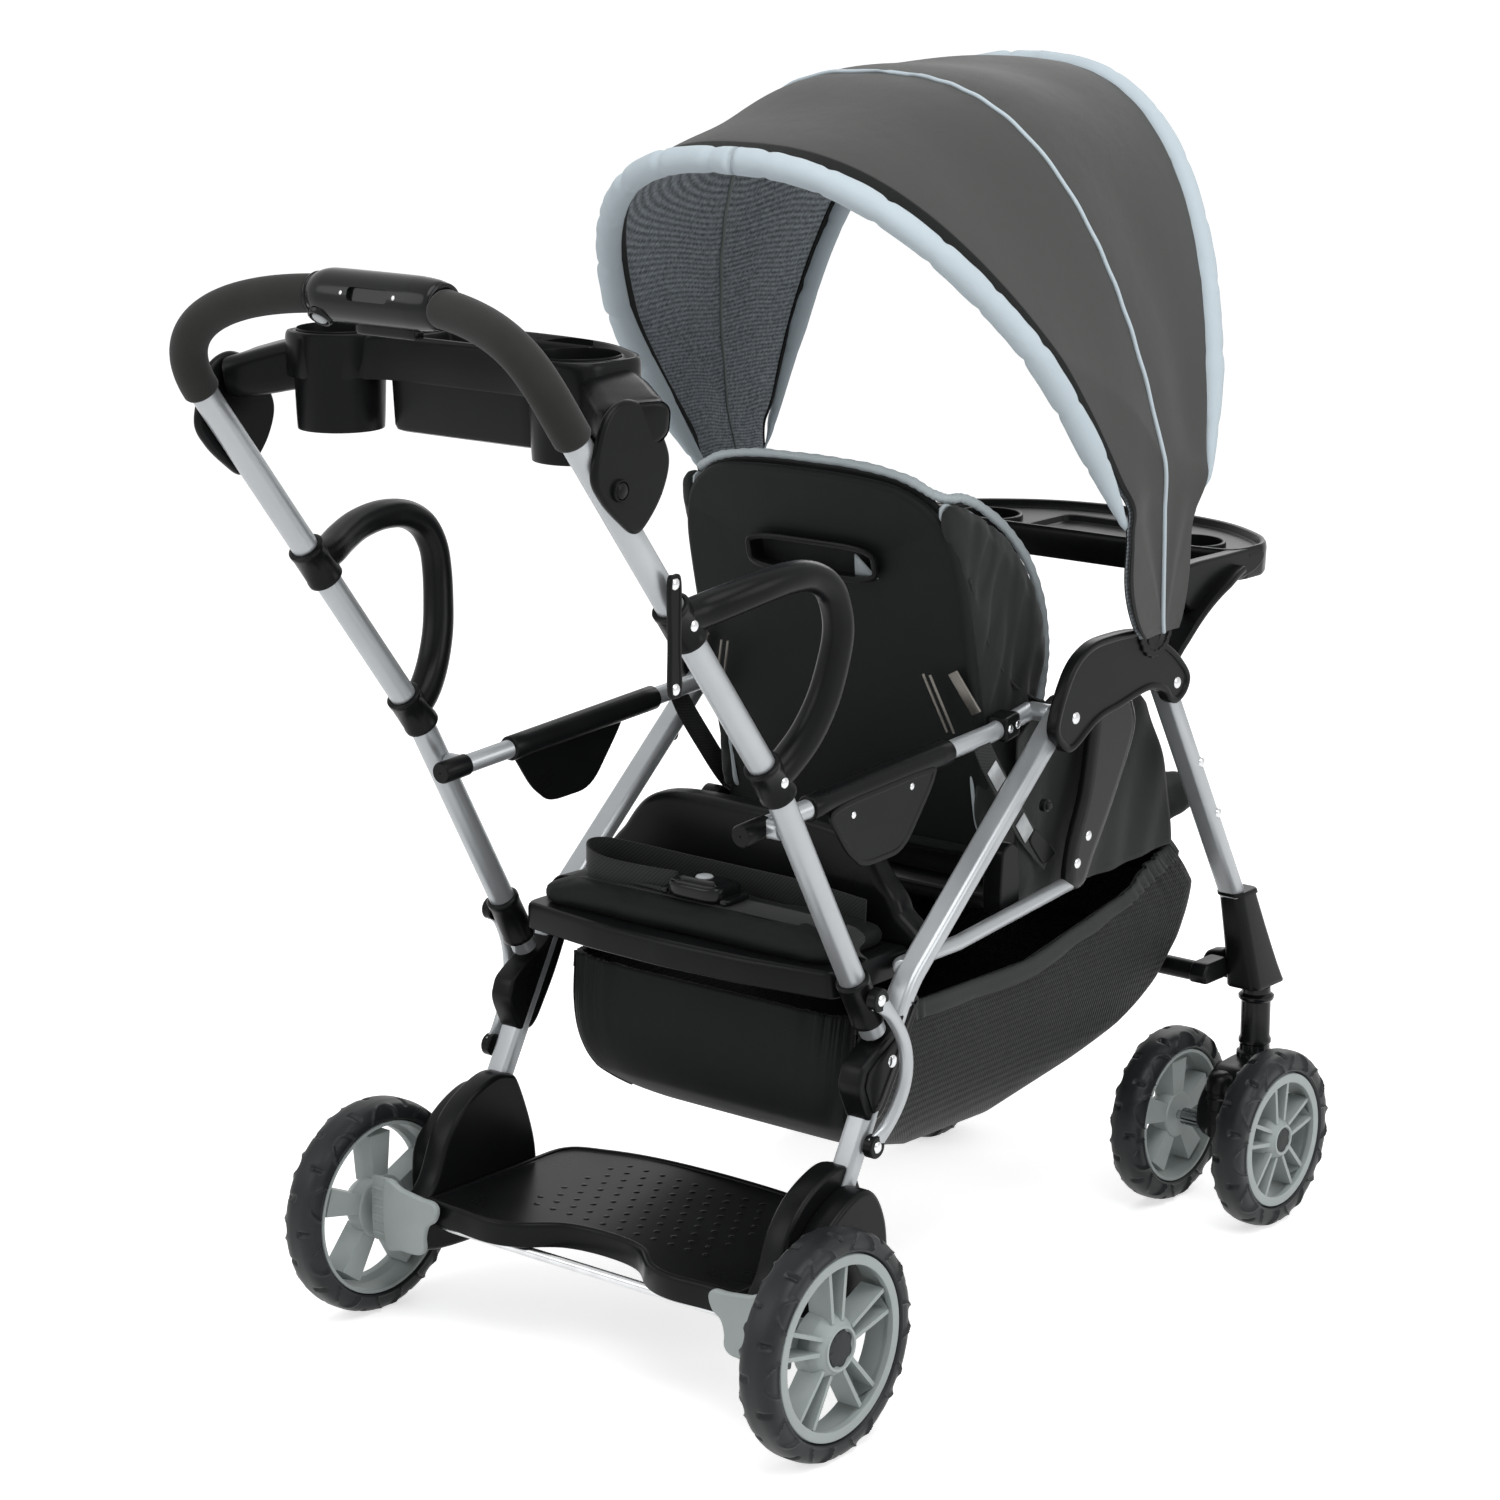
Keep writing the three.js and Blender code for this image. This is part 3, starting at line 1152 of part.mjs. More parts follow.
// Wheels: a turned rim and tyre, a hub, and twin spokes in five groups.
function spokes(hub, rim, half, count = 5) {
  return Array.from({ length: count }, (_, i) => {
    const turn = (i / count) * 2 * Math.PI + Math.PI / 2;
    const way = [Math.cos(turn), Math.sin(turn)];
    return [1, -1].map((side) => {
      const off = [-way[1] * side * spokeGap, way[0] * side * spokeGap];
      const wide = [-way[1] * spokeWidth / 2, way[0] * spokeWidth / 2];
      const end = (r, s) => [way[0] * r + off[0] + s * wide[0], way[1] * r + off[1] + s * wide[1]];
      return slabX([end(hub / 2, 1), end(hub / 2, -1), end(rim, -1), end(rim, 1)], -half, half);
    });
  }).flat();
}
const tyreRing = (inner, outer, half, shares = tyreOutlineShares) => {
  const table = shares.map(([r, x]) => [inner + (outer - inner) * r, x * half]);
  return [...table, table[0]];
};
const hubWithCap = (radius, half, sides) => turnX([
  [0, clearance - half], [radius, clearance - half], [radius, half - capThickness], [capRadius * 0.8, half - capThickness],
  [capRadius * 0.7, half], [0, half],
], sides);
const blindBore = (half) => rodX(
  0, 0, (axleRadius + boreClearance) / Math.cos(Math.PI / 8), -half - cutOverrun, half - capThickness * 1.5, 8,
);

const frontHalf = frontWheelWidth / 2;
const frontSegments = 16;
const frontWheel = carve(join(
  turnX(tyreRing(frontRimInner, frontWheelRadius, frontHalf, casterTyreOutlineShares), frontSegments),
  hubWithCap(frontHubRadius, frontHalf, 10),
  ...spokes(frontHubRadius, frontRimInner + spokeWidth, spokeThickness / 2),
), blindBore(frontHalf));

const casters = [1, -1].map((side) => body(frontLegs, point(side * stemX, stemY, stemTop)));
hangPair(casters[0], casters[1], 'caster_fork', casterFork, black, 0.45, 0);
const frontNames = [['outer', 1], ['inner', -1]];
casters.forEach((caster, i) => frontNames.forEach(([name, way]) => {
  const side = i ? -1 : 1;
  const wheel = body(caster, point(side * (stemX + way * frontWheelSpread), frontAxleY, frontAxleHeight));
  const solid = side * way > 0 ? frontWheel : flip(frontWheel);
  add(wheel, `front_wheel_${i ? 'right' : 'left'}_${name}`, solid, rubber, 0.8, 0);
}));

const rearHalf = rearWheelWidth / 2;
const rearSegments = 22;
const rearRim = carve(join(
  turnX([[rearRimInner, -rearHalf * 0.7], [rearRimRadius, -rearHalf * 0.7], [rearRimRadius, rearHalf * 0.7],
    [rearRimInner, rearHalf * 0.7], [rearRimInner, -rearHalf * 0.7]], rearSegments),
  hubWithCap(rearHubRadius, rearHalf, 10),
  ...spokes(rearHubRadius, rearRimInner + spokeWidth / 2, spokeThickness / 2),
), blindBore(rearHalf));
const rearTyre = turnX(tyreRing(rearRimRadius + clearance, rearWheelRadius, rearHalf), rearSegments);
[1, -1].forEach((side) => {
  const wheel = body(stroller, point(side * rearWheelX, rearAxleY, rearAxleHeight));
  const end = side > 0 ? 'left' : 'right';
  add(wheel, `rear_rim_${end}`, side > 0 ? rearRim : flip(rearRim), rimGrey, 0.5, 0.1);
  add(wheel, `rear_tyre_${end}`, rearTyre, rubber, 0.85, 0);
});

// Brake pedals: hubs on the rear axle with a foot plate behind.
const pedalPlate = rounded([
  [rearAxleY + pedalReach, rearAxleHeight - pedalLow], [rearAxleY + pedalReach + pedalThickness, rearAxleHeight - pedalLow + pedalEdge],
  [rearAxleY + pedalReach + pedalThickness, rearAxleHeight + pedalHigh], [rearAxleY + pedalReach, rearAxleHeight + pedalHigh - pedalEdge],
], 0.2, 3);
const pedal = carve(
  join(
    rodX(rearAxleY, rearAxleHeight, pedalHubRadius, pedalInner, pedalOuter, 20),
    slabX(pedalPlate, pedalInner + pedalEdge, pedalOuter - pedalEdge),
    block(pedalInner + pedalEdge, pedalOuter - pedalEdge, rearAxleY, rearAxleY + pedalReach + pedalEdge,
      rearAxleHeight - pedalHubRadius / 2, rearAxleHeight + pedalHubRadius * 0.6),
  ),
  axleHole,
);
const pedals = [1, -1].map((side) => body(stroller, point(side * (pedalInner + pedalOuter) / 2, rearAxleY, rearAxleHeight)));
hangPair(pedals[0], pedals[1], 'brake_pedal', pedal, rimGrey, 0.5, 0.1);

// Front seat back: a padded shell with wings, reclining about its foot.
const seat = body(stroller, point(0, seatHingeY, seatHingeHeight));
const seatLean = (seatTopY - seatHingeY) / (seatTopHeight - seatHingeHeight);
const backPanel = slabX([
  [seatHingeY - seatThickness / 2, seatHingeHeight], [seatHingeY + seatThickness / 2, seatHingeHeight],
  [seatTopY + seatThickness / 2, seatTopHeight], [seatTopY - seatThickness / 2, seatTopHeight],
], -seatHalfWidth, seatHalfWidth);
const seatFrontOutline = smooth([
  [-seatHalfWidth, seatHingeHeight], [seatHalfWidth, seatHingeHeight], [seatHalfWidth, seatTopHeight - seatShoulderDrop],
  [(seatHalfWidth + seatShoulderHalf) / 2, seatTopHeight - seatShoulderDrop * 0.32], [seatShoulderHalf, seatTopHeight],
  [-seatShoulderHalf, seatTopHeight], [-(seatHalfWidth + seatShoulderHalf) / 2, seatTopHeight - seatShoulderDrop * 0.32],
  [-seatHalfWidth, seatTopHeight - seatShoulderDrop],
], 32);
const seatSilhouette = slabY(seatFrontOutline, seatHingeY - wingDepth * 2, seatTopY + cutOverrun);
const wingOutline = smooth(fromShares(
  wingOutlineShares, [seatHingeY, seatHingeHeight], wingDepth, seatTopHeight - seatHingeHeight,
).map(([y, z]) => [y + (z - seatHingeHeight) * seatLean, z]), 26);
const wing = slabX(wingOutline, seatHalfWidth - wingThickness, seatHalfWidth);
const seatPin = rodX(seatHingeY, seatHingeHeight, seatPinRadius, seatHalfWidth - wingThickness, panHalfWidth);
hang(seat, 'seat_back', join(backPanel.intersect(seatSilhouette), wing, flip(wing), seatPin, flip(seatPin)),
  fabric, 0.9, 0);

// Seat pad: a crowned cushion on the front of the seat back.
const padTilt = Math.atan(seatLean);
const padMatrix = new THREE.Matrix4().makeBasis(
  xAxis, point(0, Math.sin(padTilt), Math.cos(padTilt)), point(0, -Math.cos(padTilt), Math.sin(padTilt)),
).setPosition(
  0, seatHingeY - seatThickness / 2 - clearance * 2 + (seatPadLength / 2 + seatDish * 3) * seatLean,
  seatHingeHeight + seatPadLength / 2 + seatDish * 3,
);
hang(seat, 'seat_pad', cushion(seatPadHalf, seatPadLength / 2, seatPadThickness, seatPadCrown, padInset, padMatrix),
  fabric, 0.9, 0);

// Child tray: a bow fronted tray with two cups and an arm to each fold hub.
const childTray = body(stroller, point(0, frontPivotY, frontPivotHeight));
const childRear = childCupY + childCupRadius + trayWall;
const childOutline = smooth(bothSides(fromShares(childOutlineShares, [0, childFront], childHalfWidth, childRear - childFront)), 22)
  .map(([x, y]) => [THREE.MathUtils.clamp(x, -childHalfWidth, childHalfWidth), y]);
const childCup = rodZ(childCupX, childCupY, childCupRadius + trayWall, childCupBottom, childTop, 14);
const childCupHole = rodZ(childCupX, childCupY, childCupRadius, childCupBottom + trayWall, childTop + cutOverrun, 14);
const childArmOuter = legInner - clearance;
const childArmTop = (childTop + childBottom) / 2 + trayWall;
const childArm = slabX(band([
  [frontPivotY, frontPivotHeight], [childElbowY, childElbowHeight],
  [childCupY, childArmTop], [childCupY - childCupRadius / 2, childArmTop],
], childArmHalf), childArmInner, childArmOuter);
const childCheek = slabX(rounded(fromShares(
  childCheekOutlineShares, [childRear, childTop], childRear - childFront, -childCheekHeight,
), 0.15, 2), childArmOuter - childCheekThickness, childArmOuter);
const childDishOutline = inset(childOutline, trayWall * 1.6);
const childShell = carve(
  slabZ(childOutline, childBottom, childTop),
  slabZ(inset(childOutline, trayWall), childBottom - cutOverrun, childTop - childDish - trayWall),
  slabZ(childDishOutline, childTop - childDish, childTop + cutOverrun),
);
const childSolid = carve(
  join(childShell, childCup, flip(childCup), childArm, flip(childArm), childCheek, flip(childCheek)), childCupHole, flip(childCupHole),
);
hang(childTray, 'child_tray', childSolid, black, 0.5, 0);

// Buckle button.
const buckleButton = body(stroller, point(0, beltY, buckleBottom + buckleHeight * 0.35));
hang(buckleButton, 'buckle_button', rodZ(
  0, beltY, buckleButtonRadius, buckleBottom + buckleHeight * 0.35 + buckleTravel + clearance,
  buckleBottom + buckleHeight + buckleTravel / 2,
), 0xb9bec0, 0.5, 0);

// Canopy. Each bow: a superellipse in width and reach, narrowing to the pivot.
const bows = [
  [rearBowAngle, rearBowRadius, rearBowHalf, rearBowPower, rearBowTaperShare],
  [middleBowAngle, middleBowRadius, middleBowHalf, middleBowPower, middleBowTaperShare],
  [frontBowAngle, frontBowRadius, frontBowHalf, frontBowPower, frontBowTaperShare],
];
function bowAt(place) {
  const low = Math.min(Math.floor(place), bows.length - 2);
  return bows[low].map((value, i) => value + (bows[low + 1][i] - value) * (place - low));
}
// The point of a bow at turn 0 (left pivot) to pi (right pivot), and its reach from the pivot.
function onBow([angle, radius, half, power, taper], turn, wall = 0) {
  const c = Math.cos(turn);
  const s = Math.sin(turn);
  const reach = (radius - wall) * Math.abs(s) ** (2 / power);
  const narrow = canopyTip / half;
  const wide = (half - wall) * Math.sign(c) * Math.abs(c) ** (2 / power);
  const x = wide * (narrow + (1 - narrow) * Math.min(1, reach / (taper * radius)));
  return { x, reach, angle };
}
const atAngle = ({ x, reach }, degrees) => {
  const a = THREE.MathUtils.degToRad(degrees);
  return point(x, canopyPivotY + reach * Math.cos(a), canopyPivotHeight + reach * Math.sin(a));
};

// Cover: a thin shell between the trims, its edges kept clear of them.
const coverRows = 5;
const coverColumns = 20;
const coverStartShare = 0.018;
function coverPoint(row, column, wall) {
  const turn = Math.PI * (coverStartShare + (1 - 2 * coverStartShare) * (column / coverColumns));
  const rear = onBow(bowAt(0), turn, wall);
  const front = onBow(bowAt(bows.length - 1), turn, wall);
  const margin = (reach) => THREE.MathUtils.radToDeg(Math.asin(Math.min(1, (trimRadius + clearance * 2) / reach)));
  const from = rearBowAngle + margin(rear.reach);
  const to = frontBowAngle - margin(front.reach);
  const degrees = from + (to - from) * (row / coverRows);
  const place = degrees < middleBowAngle
    ? (degrees - rearBowAngle) / (middleBowAngle - rearBowAngle)
    : 1 + (degrees - middleBowAngle) / (frontBowAngle - middleBowAngle);
  return atAngle(onBow(bowAt(place), turn, wall), degrees);
}
const shellRing = (column) => [
  ...Array.from({ length: coverRows + 1 }, (_, row) => coverPoint(row, column, 0)),
  ...Array.from({ length: coverRows + 1 }, (_, row) => coverPoint(coverRows - row, column, canopyWall)),
];
const cover = loft(Array.from({ length: coverColumns + 1 }, (_, column) => shellRing(column)));
hang(stroller, 'canopy_cover', cover, hood, 0.95, 0);

// Padded trims along the rear and front bows, each with an eye at the pivot.
function trim(bow, eyeInner, steps = 20) {
  const points = Array.from({ length: steps + 1 }, (_, i) => atAngle(onBow(bow, (Math.PI * i) / steps), bow[0]));
  const edge = eyeInner + canopyEyeThickness / 2;
  const kept = points.filter((p) => p.distanceTo(point(p.x, canopyPivotY, canopyPivotHeight)) > canopyEyeRadius);
  const a = THREE.MathUtils.degToRad(bow[0]);
  const foot = (side) => point(side * edge, canopyPivotY + canopyEyeRadius * 0.5 * Math.cos(a),
    canopyPivotHeight + canopyEyeRadius * 0.5 * Math.sin(a));
  const curve = new THREE.CatmullRomCurve3([foot(1), ...kept, foot(-1)], false, 'centripetal');
  const flat = point(0, -Math.sin(a), Math.cos(a));
  const tube = loft(along(curve, steps).map(({ at, along: way }) => {
    const reach = at.distanceTo(point(at.x, canopyPivotY, canopyPivotHeight));
    const radius = Math.max(trimFootRadius, trimRadius * Math.min(1, reach / trimTaperReach));
    const across = way.clone().cross(flat).normalize();
    return ring(radius, 8).map(([u, v]) => at.clone().addScaledVector(flat, u).addScaledVector(across, v));
  }));
  const gap = slabX(ring(canopyDiscRadius * 2, 12, [canopyPivotY, canopyPivotHeight]), -eyeInner, eyeInner);
  const outside = (side) => {
    const from = side * (eyeInner + canopyEyeThickness);
    const to = side * (eyeInner + canopyEyeThickness + cutOverrun);
    return slabX(ring(canopyEyeRadius * 1.6, 12, [canopyPivotY, canopyPivotHeight]), Math.min(from, to), Math.max(from, to));
  };
  const eye = (side) => rodX(canopyPivotY, canopyPivotHeight, canopyEyeRadius,
    Math.min(side * eyeInner, side * (eyeInner + canopyEyeThickness)),
    Math.max(side * eyeInner, side * (eyeInner + canopyEyeThickness)), 12);
  return join(carve(tube, gap, outside(1), outside(-1)), eye(1), eye(-1));
}
hang(stroller, 'canopy_trim_rear', trim(bows[0], canopyDiscOuter), piping, 0.8, 0);
const canopyFront = body(stroller, point(0, canopyPivotY, canopyPivotHeight));
hang(canopyFront, 'canopy_trim_front', trim(bows[2], canopyDiscOuter + canopyEyeThickness + clearance), piping, 0.8, 0);

// The whole stands on z = 0 with its length centred on the origin.
const bounds = new THREE.Box3().setFromObject(stroller, true);
stroller.position.y = -(bounds.min.y + bounds.max.y) / 2;

export default stroller;
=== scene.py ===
import bpy, bmesh, math
import numpy as np
from mathutils import Matrix, Vector


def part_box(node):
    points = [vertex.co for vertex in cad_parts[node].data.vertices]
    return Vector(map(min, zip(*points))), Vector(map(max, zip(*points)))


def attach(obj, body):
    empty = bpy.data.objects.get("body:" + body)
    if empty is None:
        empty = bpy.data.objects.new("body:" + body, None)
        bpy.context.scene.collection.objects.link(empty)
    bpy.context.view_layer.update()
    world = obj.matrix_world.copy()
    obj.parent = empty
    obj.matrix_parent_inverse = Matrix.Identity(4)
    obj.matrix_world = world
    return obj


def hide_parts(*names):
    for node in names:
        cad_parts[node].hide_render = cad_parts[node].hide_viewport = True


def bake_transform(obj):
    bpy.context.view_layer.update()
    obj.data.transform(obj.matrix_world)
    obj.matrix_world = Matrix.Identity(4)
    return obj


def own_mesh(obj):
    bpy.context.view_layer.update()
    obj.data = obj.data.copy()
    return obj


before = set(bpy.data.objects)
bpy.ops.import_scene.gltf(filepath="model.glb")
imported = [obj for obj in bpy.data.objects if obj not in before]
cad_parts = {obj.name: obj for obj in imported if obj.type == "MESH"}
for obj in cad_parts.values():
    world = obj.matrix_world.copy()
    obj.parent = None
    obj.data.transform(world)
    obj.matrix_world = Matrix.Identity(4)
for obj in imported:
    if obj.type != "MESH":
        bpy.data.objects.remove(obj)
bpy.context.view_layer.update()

# The studio: a white floor that keeps a soft shadow, a broad lamp above, a smaller one behind the camera,
# and the camera behind the stroller on its right side, looking slightly down at it.
azimuth, elevation = math.radians(219.1), math.radians(13.66)
forward = np.array([-math.sin(azimuth) * math.cos(elevation), math.cos(azimuth) * math.cos(elevation),
                    -math.sin(elevation)])
rightward = np.cross(forward, [0, 0, 1]); rightward /= np.linalg.norm(rightward)
upward = np.cross(rightward, forward)
camera = bpy.data.objects.new("camera", bpy.data.cameras.new("camera"))
sensor, focal, picture = 36, 3772.3, 1500
camera.data.sensor_width, camera.data.lens = sensor, focal / picture * sensor
camera.data.clip_end = 200
eye = (-2.2013, 2.7867, 1.4086)
axes = np.stack([rightward, upward, -forward], 1)
camera.matrix_world = Matrix([[*row, place] for row, place in zip(axes, eye)] + [[0, 0, 0, 1]])
bpy.context.scene.collection.objects.link(camera)
bpy.context.scene.camera = camera
bpy.context.scene.view_settings.view_transform = "Standard"

for name, place, size, power in (("lamp_above", (-1.2, 1.0, 3.4), 2.6, 62), ("lamp_side", (-3.2, -0.6, 1.7), 1.8, 26),
                                 ("lamp_back", (1.6, 2.8, 2.2), 2.0, 22), ("lamp_front", (1.0, -3.0, 2.4), 2.2, 26)):
    lamp = bpy.data.objects.new(name, bpy.data.lights.new(name, "AREA"))
    lamp.data.shape, lamp.data.size, lamp.data.energy = "DISK", size, power
    lamp.location = place
    lamp.rotation_euler = (Vector((0, 0, 0.5)) - Vector(place)).to_track_quat("-Z", "Y").to_euler()
    bpy.context.scene.collection.objects.link(lamp)

world = bpy.data.worlds.new("white_room")
bpy.context.scene.world = world
world.use_nodes = True
tree = world.node_tree


def dial(tree, target, inputs):
    """Sets inputs of a shader node, by name or number: a value is set, another node's output is linked."""
    for key, value in inputs.items():
        if isinstance(value, bpy.types.NodeSocket):
            tree.links.new(value, target.inputs[key])
        else:
            target.inputs[key].default_value = value
    return target


def shader(tree, kind, inputs=None, **fields):
    """A new shader node with its fields and inputs."""
    made = tree.nodes.new("ShaderNode" + kind)
    for field, value in fields.items():
        setattr(made, field, value)
    return dial(tree, made, inputs or {})


def looking(tree):
    """1 for a ray from the camera, or one mirrored or let through by a surface, and 0 for light that falls on one."""
    rays = shader(tree, "LightPath")
    last = rays.outputs["Is Camera Ray"]
    for kind in ("Is Glossy Ray", "Is Transmission Ray"):
        last = shader(tree, "Math", {0: last, 1: rays.outputs[kind]}, operation="MAXIMUM").outputs[0]
    return last


def fresh(name):
    """A new material, its nodes and the shader that carries its look."""
    material = bpy.data.materials.new(name)
    material.use_nodes = True
    return material, material.node_tree, material.node_tree.nodes["Principled BSDF"]


backdrop = dial(tree, tree.nodes["Background"], {"Color": (1, 1, 1, 1), "Strength": 0.42})
seen = shader(tree, "Background", {"Color": (1, 1, 1, 1), "Strength": 1.0})
blend = shader(tree, "MixShader", {0: looking(tree), 1: backdrop.outputs[0], 2: seen.outputs[0]})
tree.links.new(blend.outputs[0], tree.nodes["World Output"].inputs[0])

floor = bpy.data.objects.new("floor", bpy.data.meshes.new("floor"))
floor.data.from_pydata([(-40, -40, 0), (40, -40, 0), (40, 40, 0), (-40, 40, 0)], [], [(0, 1, 2, 3)])
white, tree, paint = fresh("white_floor")
dial(tree, paint, {"Base Color": (0.9, 0.9, 0.9, 1), "Roughness": 0.9})
level = shader(tree, "Math", {0: looking(tree), 1: 0.64}, operation="MULTIPLY")
glow = shader(tree, "Emission", {"Strength": level.outputs[0]})
mix = shader(tree, "AddShader", {0: paint.outputs[0], 1: glow.outputs[0]})
tree.links.new(mix.outputs[0], tree.nodes["Material Output"].inputs[0])
floor.data.materials.append(white)
bpy.context.scene.collection.objects.link(floor)

# Frame tubes: drawn steel, bent cold and painted satin silver. The rear legs are flattened tubes bent at the knee,
# the front legs straight ones, the rails and the one-piece handle are round, and the axle is a bright rod.
axle_low, axle_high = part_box("rear_axle")
SIDES = (("left", 1), ("right", -1))
# Places (y, z) of the drawing in mm, and the plane x of the left legs and of the left side of the handle.
REAR_AXLE, CASTER_AXLE, CANOPY_HUB = (273, 106), (-480, 92.6), (-303.0, 655.0)
LEG_FOOT, LEG_KNEE, FOLD_HUB, LEG_TOP = (215, 125), (72, 380), (-170, 589), (-347, 593)
STUB, KNEE, GRIP = (119.8, 344), (262, 600), (521, 939)
TUBE_X = 215
from_drawing = (axle_low[1] + axle_high[1]) / 2 - REAR_AXLE[0] / 1000


def mm(points):
    """Places of the drawing, in millimetres with y = 273 at the rear axle, as metres in the frame."""
    return np.asarray(points, float) / 1000 + [0, from_drawing, 0]


def on_line(a, b, z):
    """The y at height z on the straight line through two places (y, z)."""
    return a[0] + (z - a[1]) * (b[0] - a[0]) / (b[1] - a[1])


def on_stub(z):
    """The y of the handle tube at height z below its knee."""
    return on_line(KNEE, STUB, z)


def on_tube(z):
    """The y of the handle tube at height z above its knee."""
    return on_line(KNEE, GRIP, z)


def bend(points, radius, steps=10):
    """A line through points whose corners are arcs: each arc leaves its corner by radius x tan(half the turn)."""
    points = np.asarray(points, float)
    line = [points[:1]]
    for before, corner, after in zip(points, points[1:], points[2:]):
        into, out = corner - before, after - corner
        room = min(np.linalg.norm(into), np.linalg.norm(out)) / 2
        into, out = into / np.linalg.norm(into), out / np.linalg.norm(out)
        turn = math.acos(np.clip(into @ out, -1, 1))
        reach = min(radius * math.tan(turn / 2), room)
        r = reach / math.tan(turn / 2)
        inward = out - into * math.cos(turn); inward /= np.linalg.norm(inward)
        swept = np.linspace(0, turn, steps)[:, None]
        line.append(corner - into * reach + inward * r - inward * r * np.cos(swept) + into * r * np.sin(swept))
    return np.concatenate(line + [points[-1:]])


def drawn(points, count):
    """A smooth line through points: between two of them the cubic that runs parallel to their neighbours."""
    points = np.asarray(points, float)
    padded = np.concatenate([2 * points[:1] - points[1:2], points, 2 * points[-1:] - points[-2:-1]])
    place = np.linspace(0, len(points) - 1 - 1e-9, count)
    k, t = place.astype(int), (place % 1)[:, None]
    a, b, c, d = padded[k], padded[k + 1], padded[k + 2], padded[k + 3]
    return 0.5 * (2 * b + (c - a) * t + (2 * a - 5 * b + 4 * c - d) * t ** 2 + (3 * b - 3 * c + d - a) * t ** 3)


def circle(radius, count=28):
    """A round section."""
    turn = np.arange(count) / count * 2 * math.pi
    return np.stack([radius * np.cos(turn), radius * np.sin(turn)], 1)


def carried(path, section, up=(0, 0, 1), close=True):
    """A section carried along a path: at each station it stands square to the path, its first axis across `up`.
    Where close is set, both ends are drawn together over a small round edge."""
    path, section = np.asarray(path, float), np.asarray(section, float)
    if section.ndim == 2:
        section = np.repeat(section[None], len(path), 0)
    along = np.gradient(path, axis=0)
    along /= np.linalg.norm(along, axis=1, keepdims=True)
    side = np.cross(np.broadcast_to(np.asarray(up, float), along.shape), along)
    side /= np.linalg.norm(side, axis=1, keepdims=True)
    top = np.cross(along, side)
    if close:
        thick = np.ptp(section[0], axis=0).min()
        sizes, backs = np.array([0, 0.8, 0.94, 1]), np.array([0, 0, 0.02, 0.08]) * thick
        path = np.concatenate([path[:1] + along[:1] * backs[:, None], path[1:-1],
                               path[-1:] - along[-1:] * backs[::-1, None]])
        section = np.concatenate([section[:1] * sizes[:, None, None], section[1:-1],
                                  section[-1:] * sizes[::-1, None, None]])
        side, top = [np.concatenate([v[:1].repeat(4, 0), v[1:-1], v[-1:].repeat(4, 0)]) for v in (side, top)]
    return path[:, None] + side[:, None] * section[..., :1] + top[:, None] * section[..., 1:]


def skin(name, *grids, around=True, along=False):
    """A piece from one or more grids of points: neighbours in a row and in the next row make a face. `around` joins a
    row's last point to its first, `along` the last row to the first. The UV map holds the lengths run, in metres."""
    places, quads, runs, start = [], [], [], 0
    for grid in grids:
        grid = np.asarray(grid, float)
        rows, columns = grid.shape[:2]
        r, c = np.meshgrid(np.arange(rows if along else rows - 1), np.arange(columns if around else columns - 1),
                           indexing="ij")
        steps = [(r, c), (r, c + 1), (r + 1, c + 1), (r + 1, c)]
        quads.append(np.stack([start + (a % rows) * columns + b % columns for a, b in steps], -1).reshape(-1, 4))
        across = np.linalg.norm(np.roll(grid, -1, 1) - grid, axis=2).max(0)
        onward = np.linalg.norm(np.roll(grid, -1, 0) - grid, axis=2).mean(1)
        u, v = [np.concatenate([[0], np.cumsum(run)]) for run in (across, onward)]
        runs.append(np.stack([np.stack([u[b], v[a]], -1) for a, b in steps], 2).reshape(-1, 2))
        places.append(grid.reshape(-1, 3))
        start += rows * columns
    mesh = bpy.data.meshes.new(name)
    mesh.from_pydata(np.concatenate(places).tolist(), [], np.concatenate(quads).tolist())
    mesh.uv_layers.new(name="lengths").data.foreach_set("uv", np.concatenate(runs).ravel())
    return closed(mesh, name)


def closed(mesh, name):
    """Merges doubles, turns every face outwards, shades it smooth and puts it in the scene."""
    work = bmesh.new()
    work.from_mesh(mesh)
    bmesh.ops.remove_doubles(work, verts=work.verts, dist=2e-6)
    bmesh.ops.recalc_face_normals(work, faces=work.faces)
    work.to_mesh(mesh)
    work.free()
    mesh.polygons.foreach_set("use_smooth", [True] * len(mesh.polygons))
    piece = bpy.data.objects.new(name, mesh)
    bpy.context.scene.collection.objects.link(piece)
    return piece


def crisp(piece, degrees=35):
    """Shades the piece smooth, but keeps edges over this angle sharp."""
    mesh = piece.data
    work = bmesh.new()
    work.from_mesh(mesh)
    for edge in work.edges:
        edge.smooth = len(edge.link_faces) != 2 or edge.calc_face_angle(0) < math.radians(degrees)
    work.to_mesh(mesh)
    work.free()
    return piece


def spun(name, *grids, degrees=40):
    """A turned piece: each grid holds the stations of a profile round its axis, and its sharp edges stay sharp."""
    return crisp(skin(name, *grids, along=True, around=False), degrees)


def walled(piece, thickness, offset=0):
    """Gives a sheet its thickness."""
    wall = piece.modifiers.new("wall", "SOLIDIFY")
    wall.thickness, wall.offset = thickness, offset


def mirror(grid):
    """The same points on the other side of the stroller."""
    return np.asarray(grid) * [-1, 1, 1]


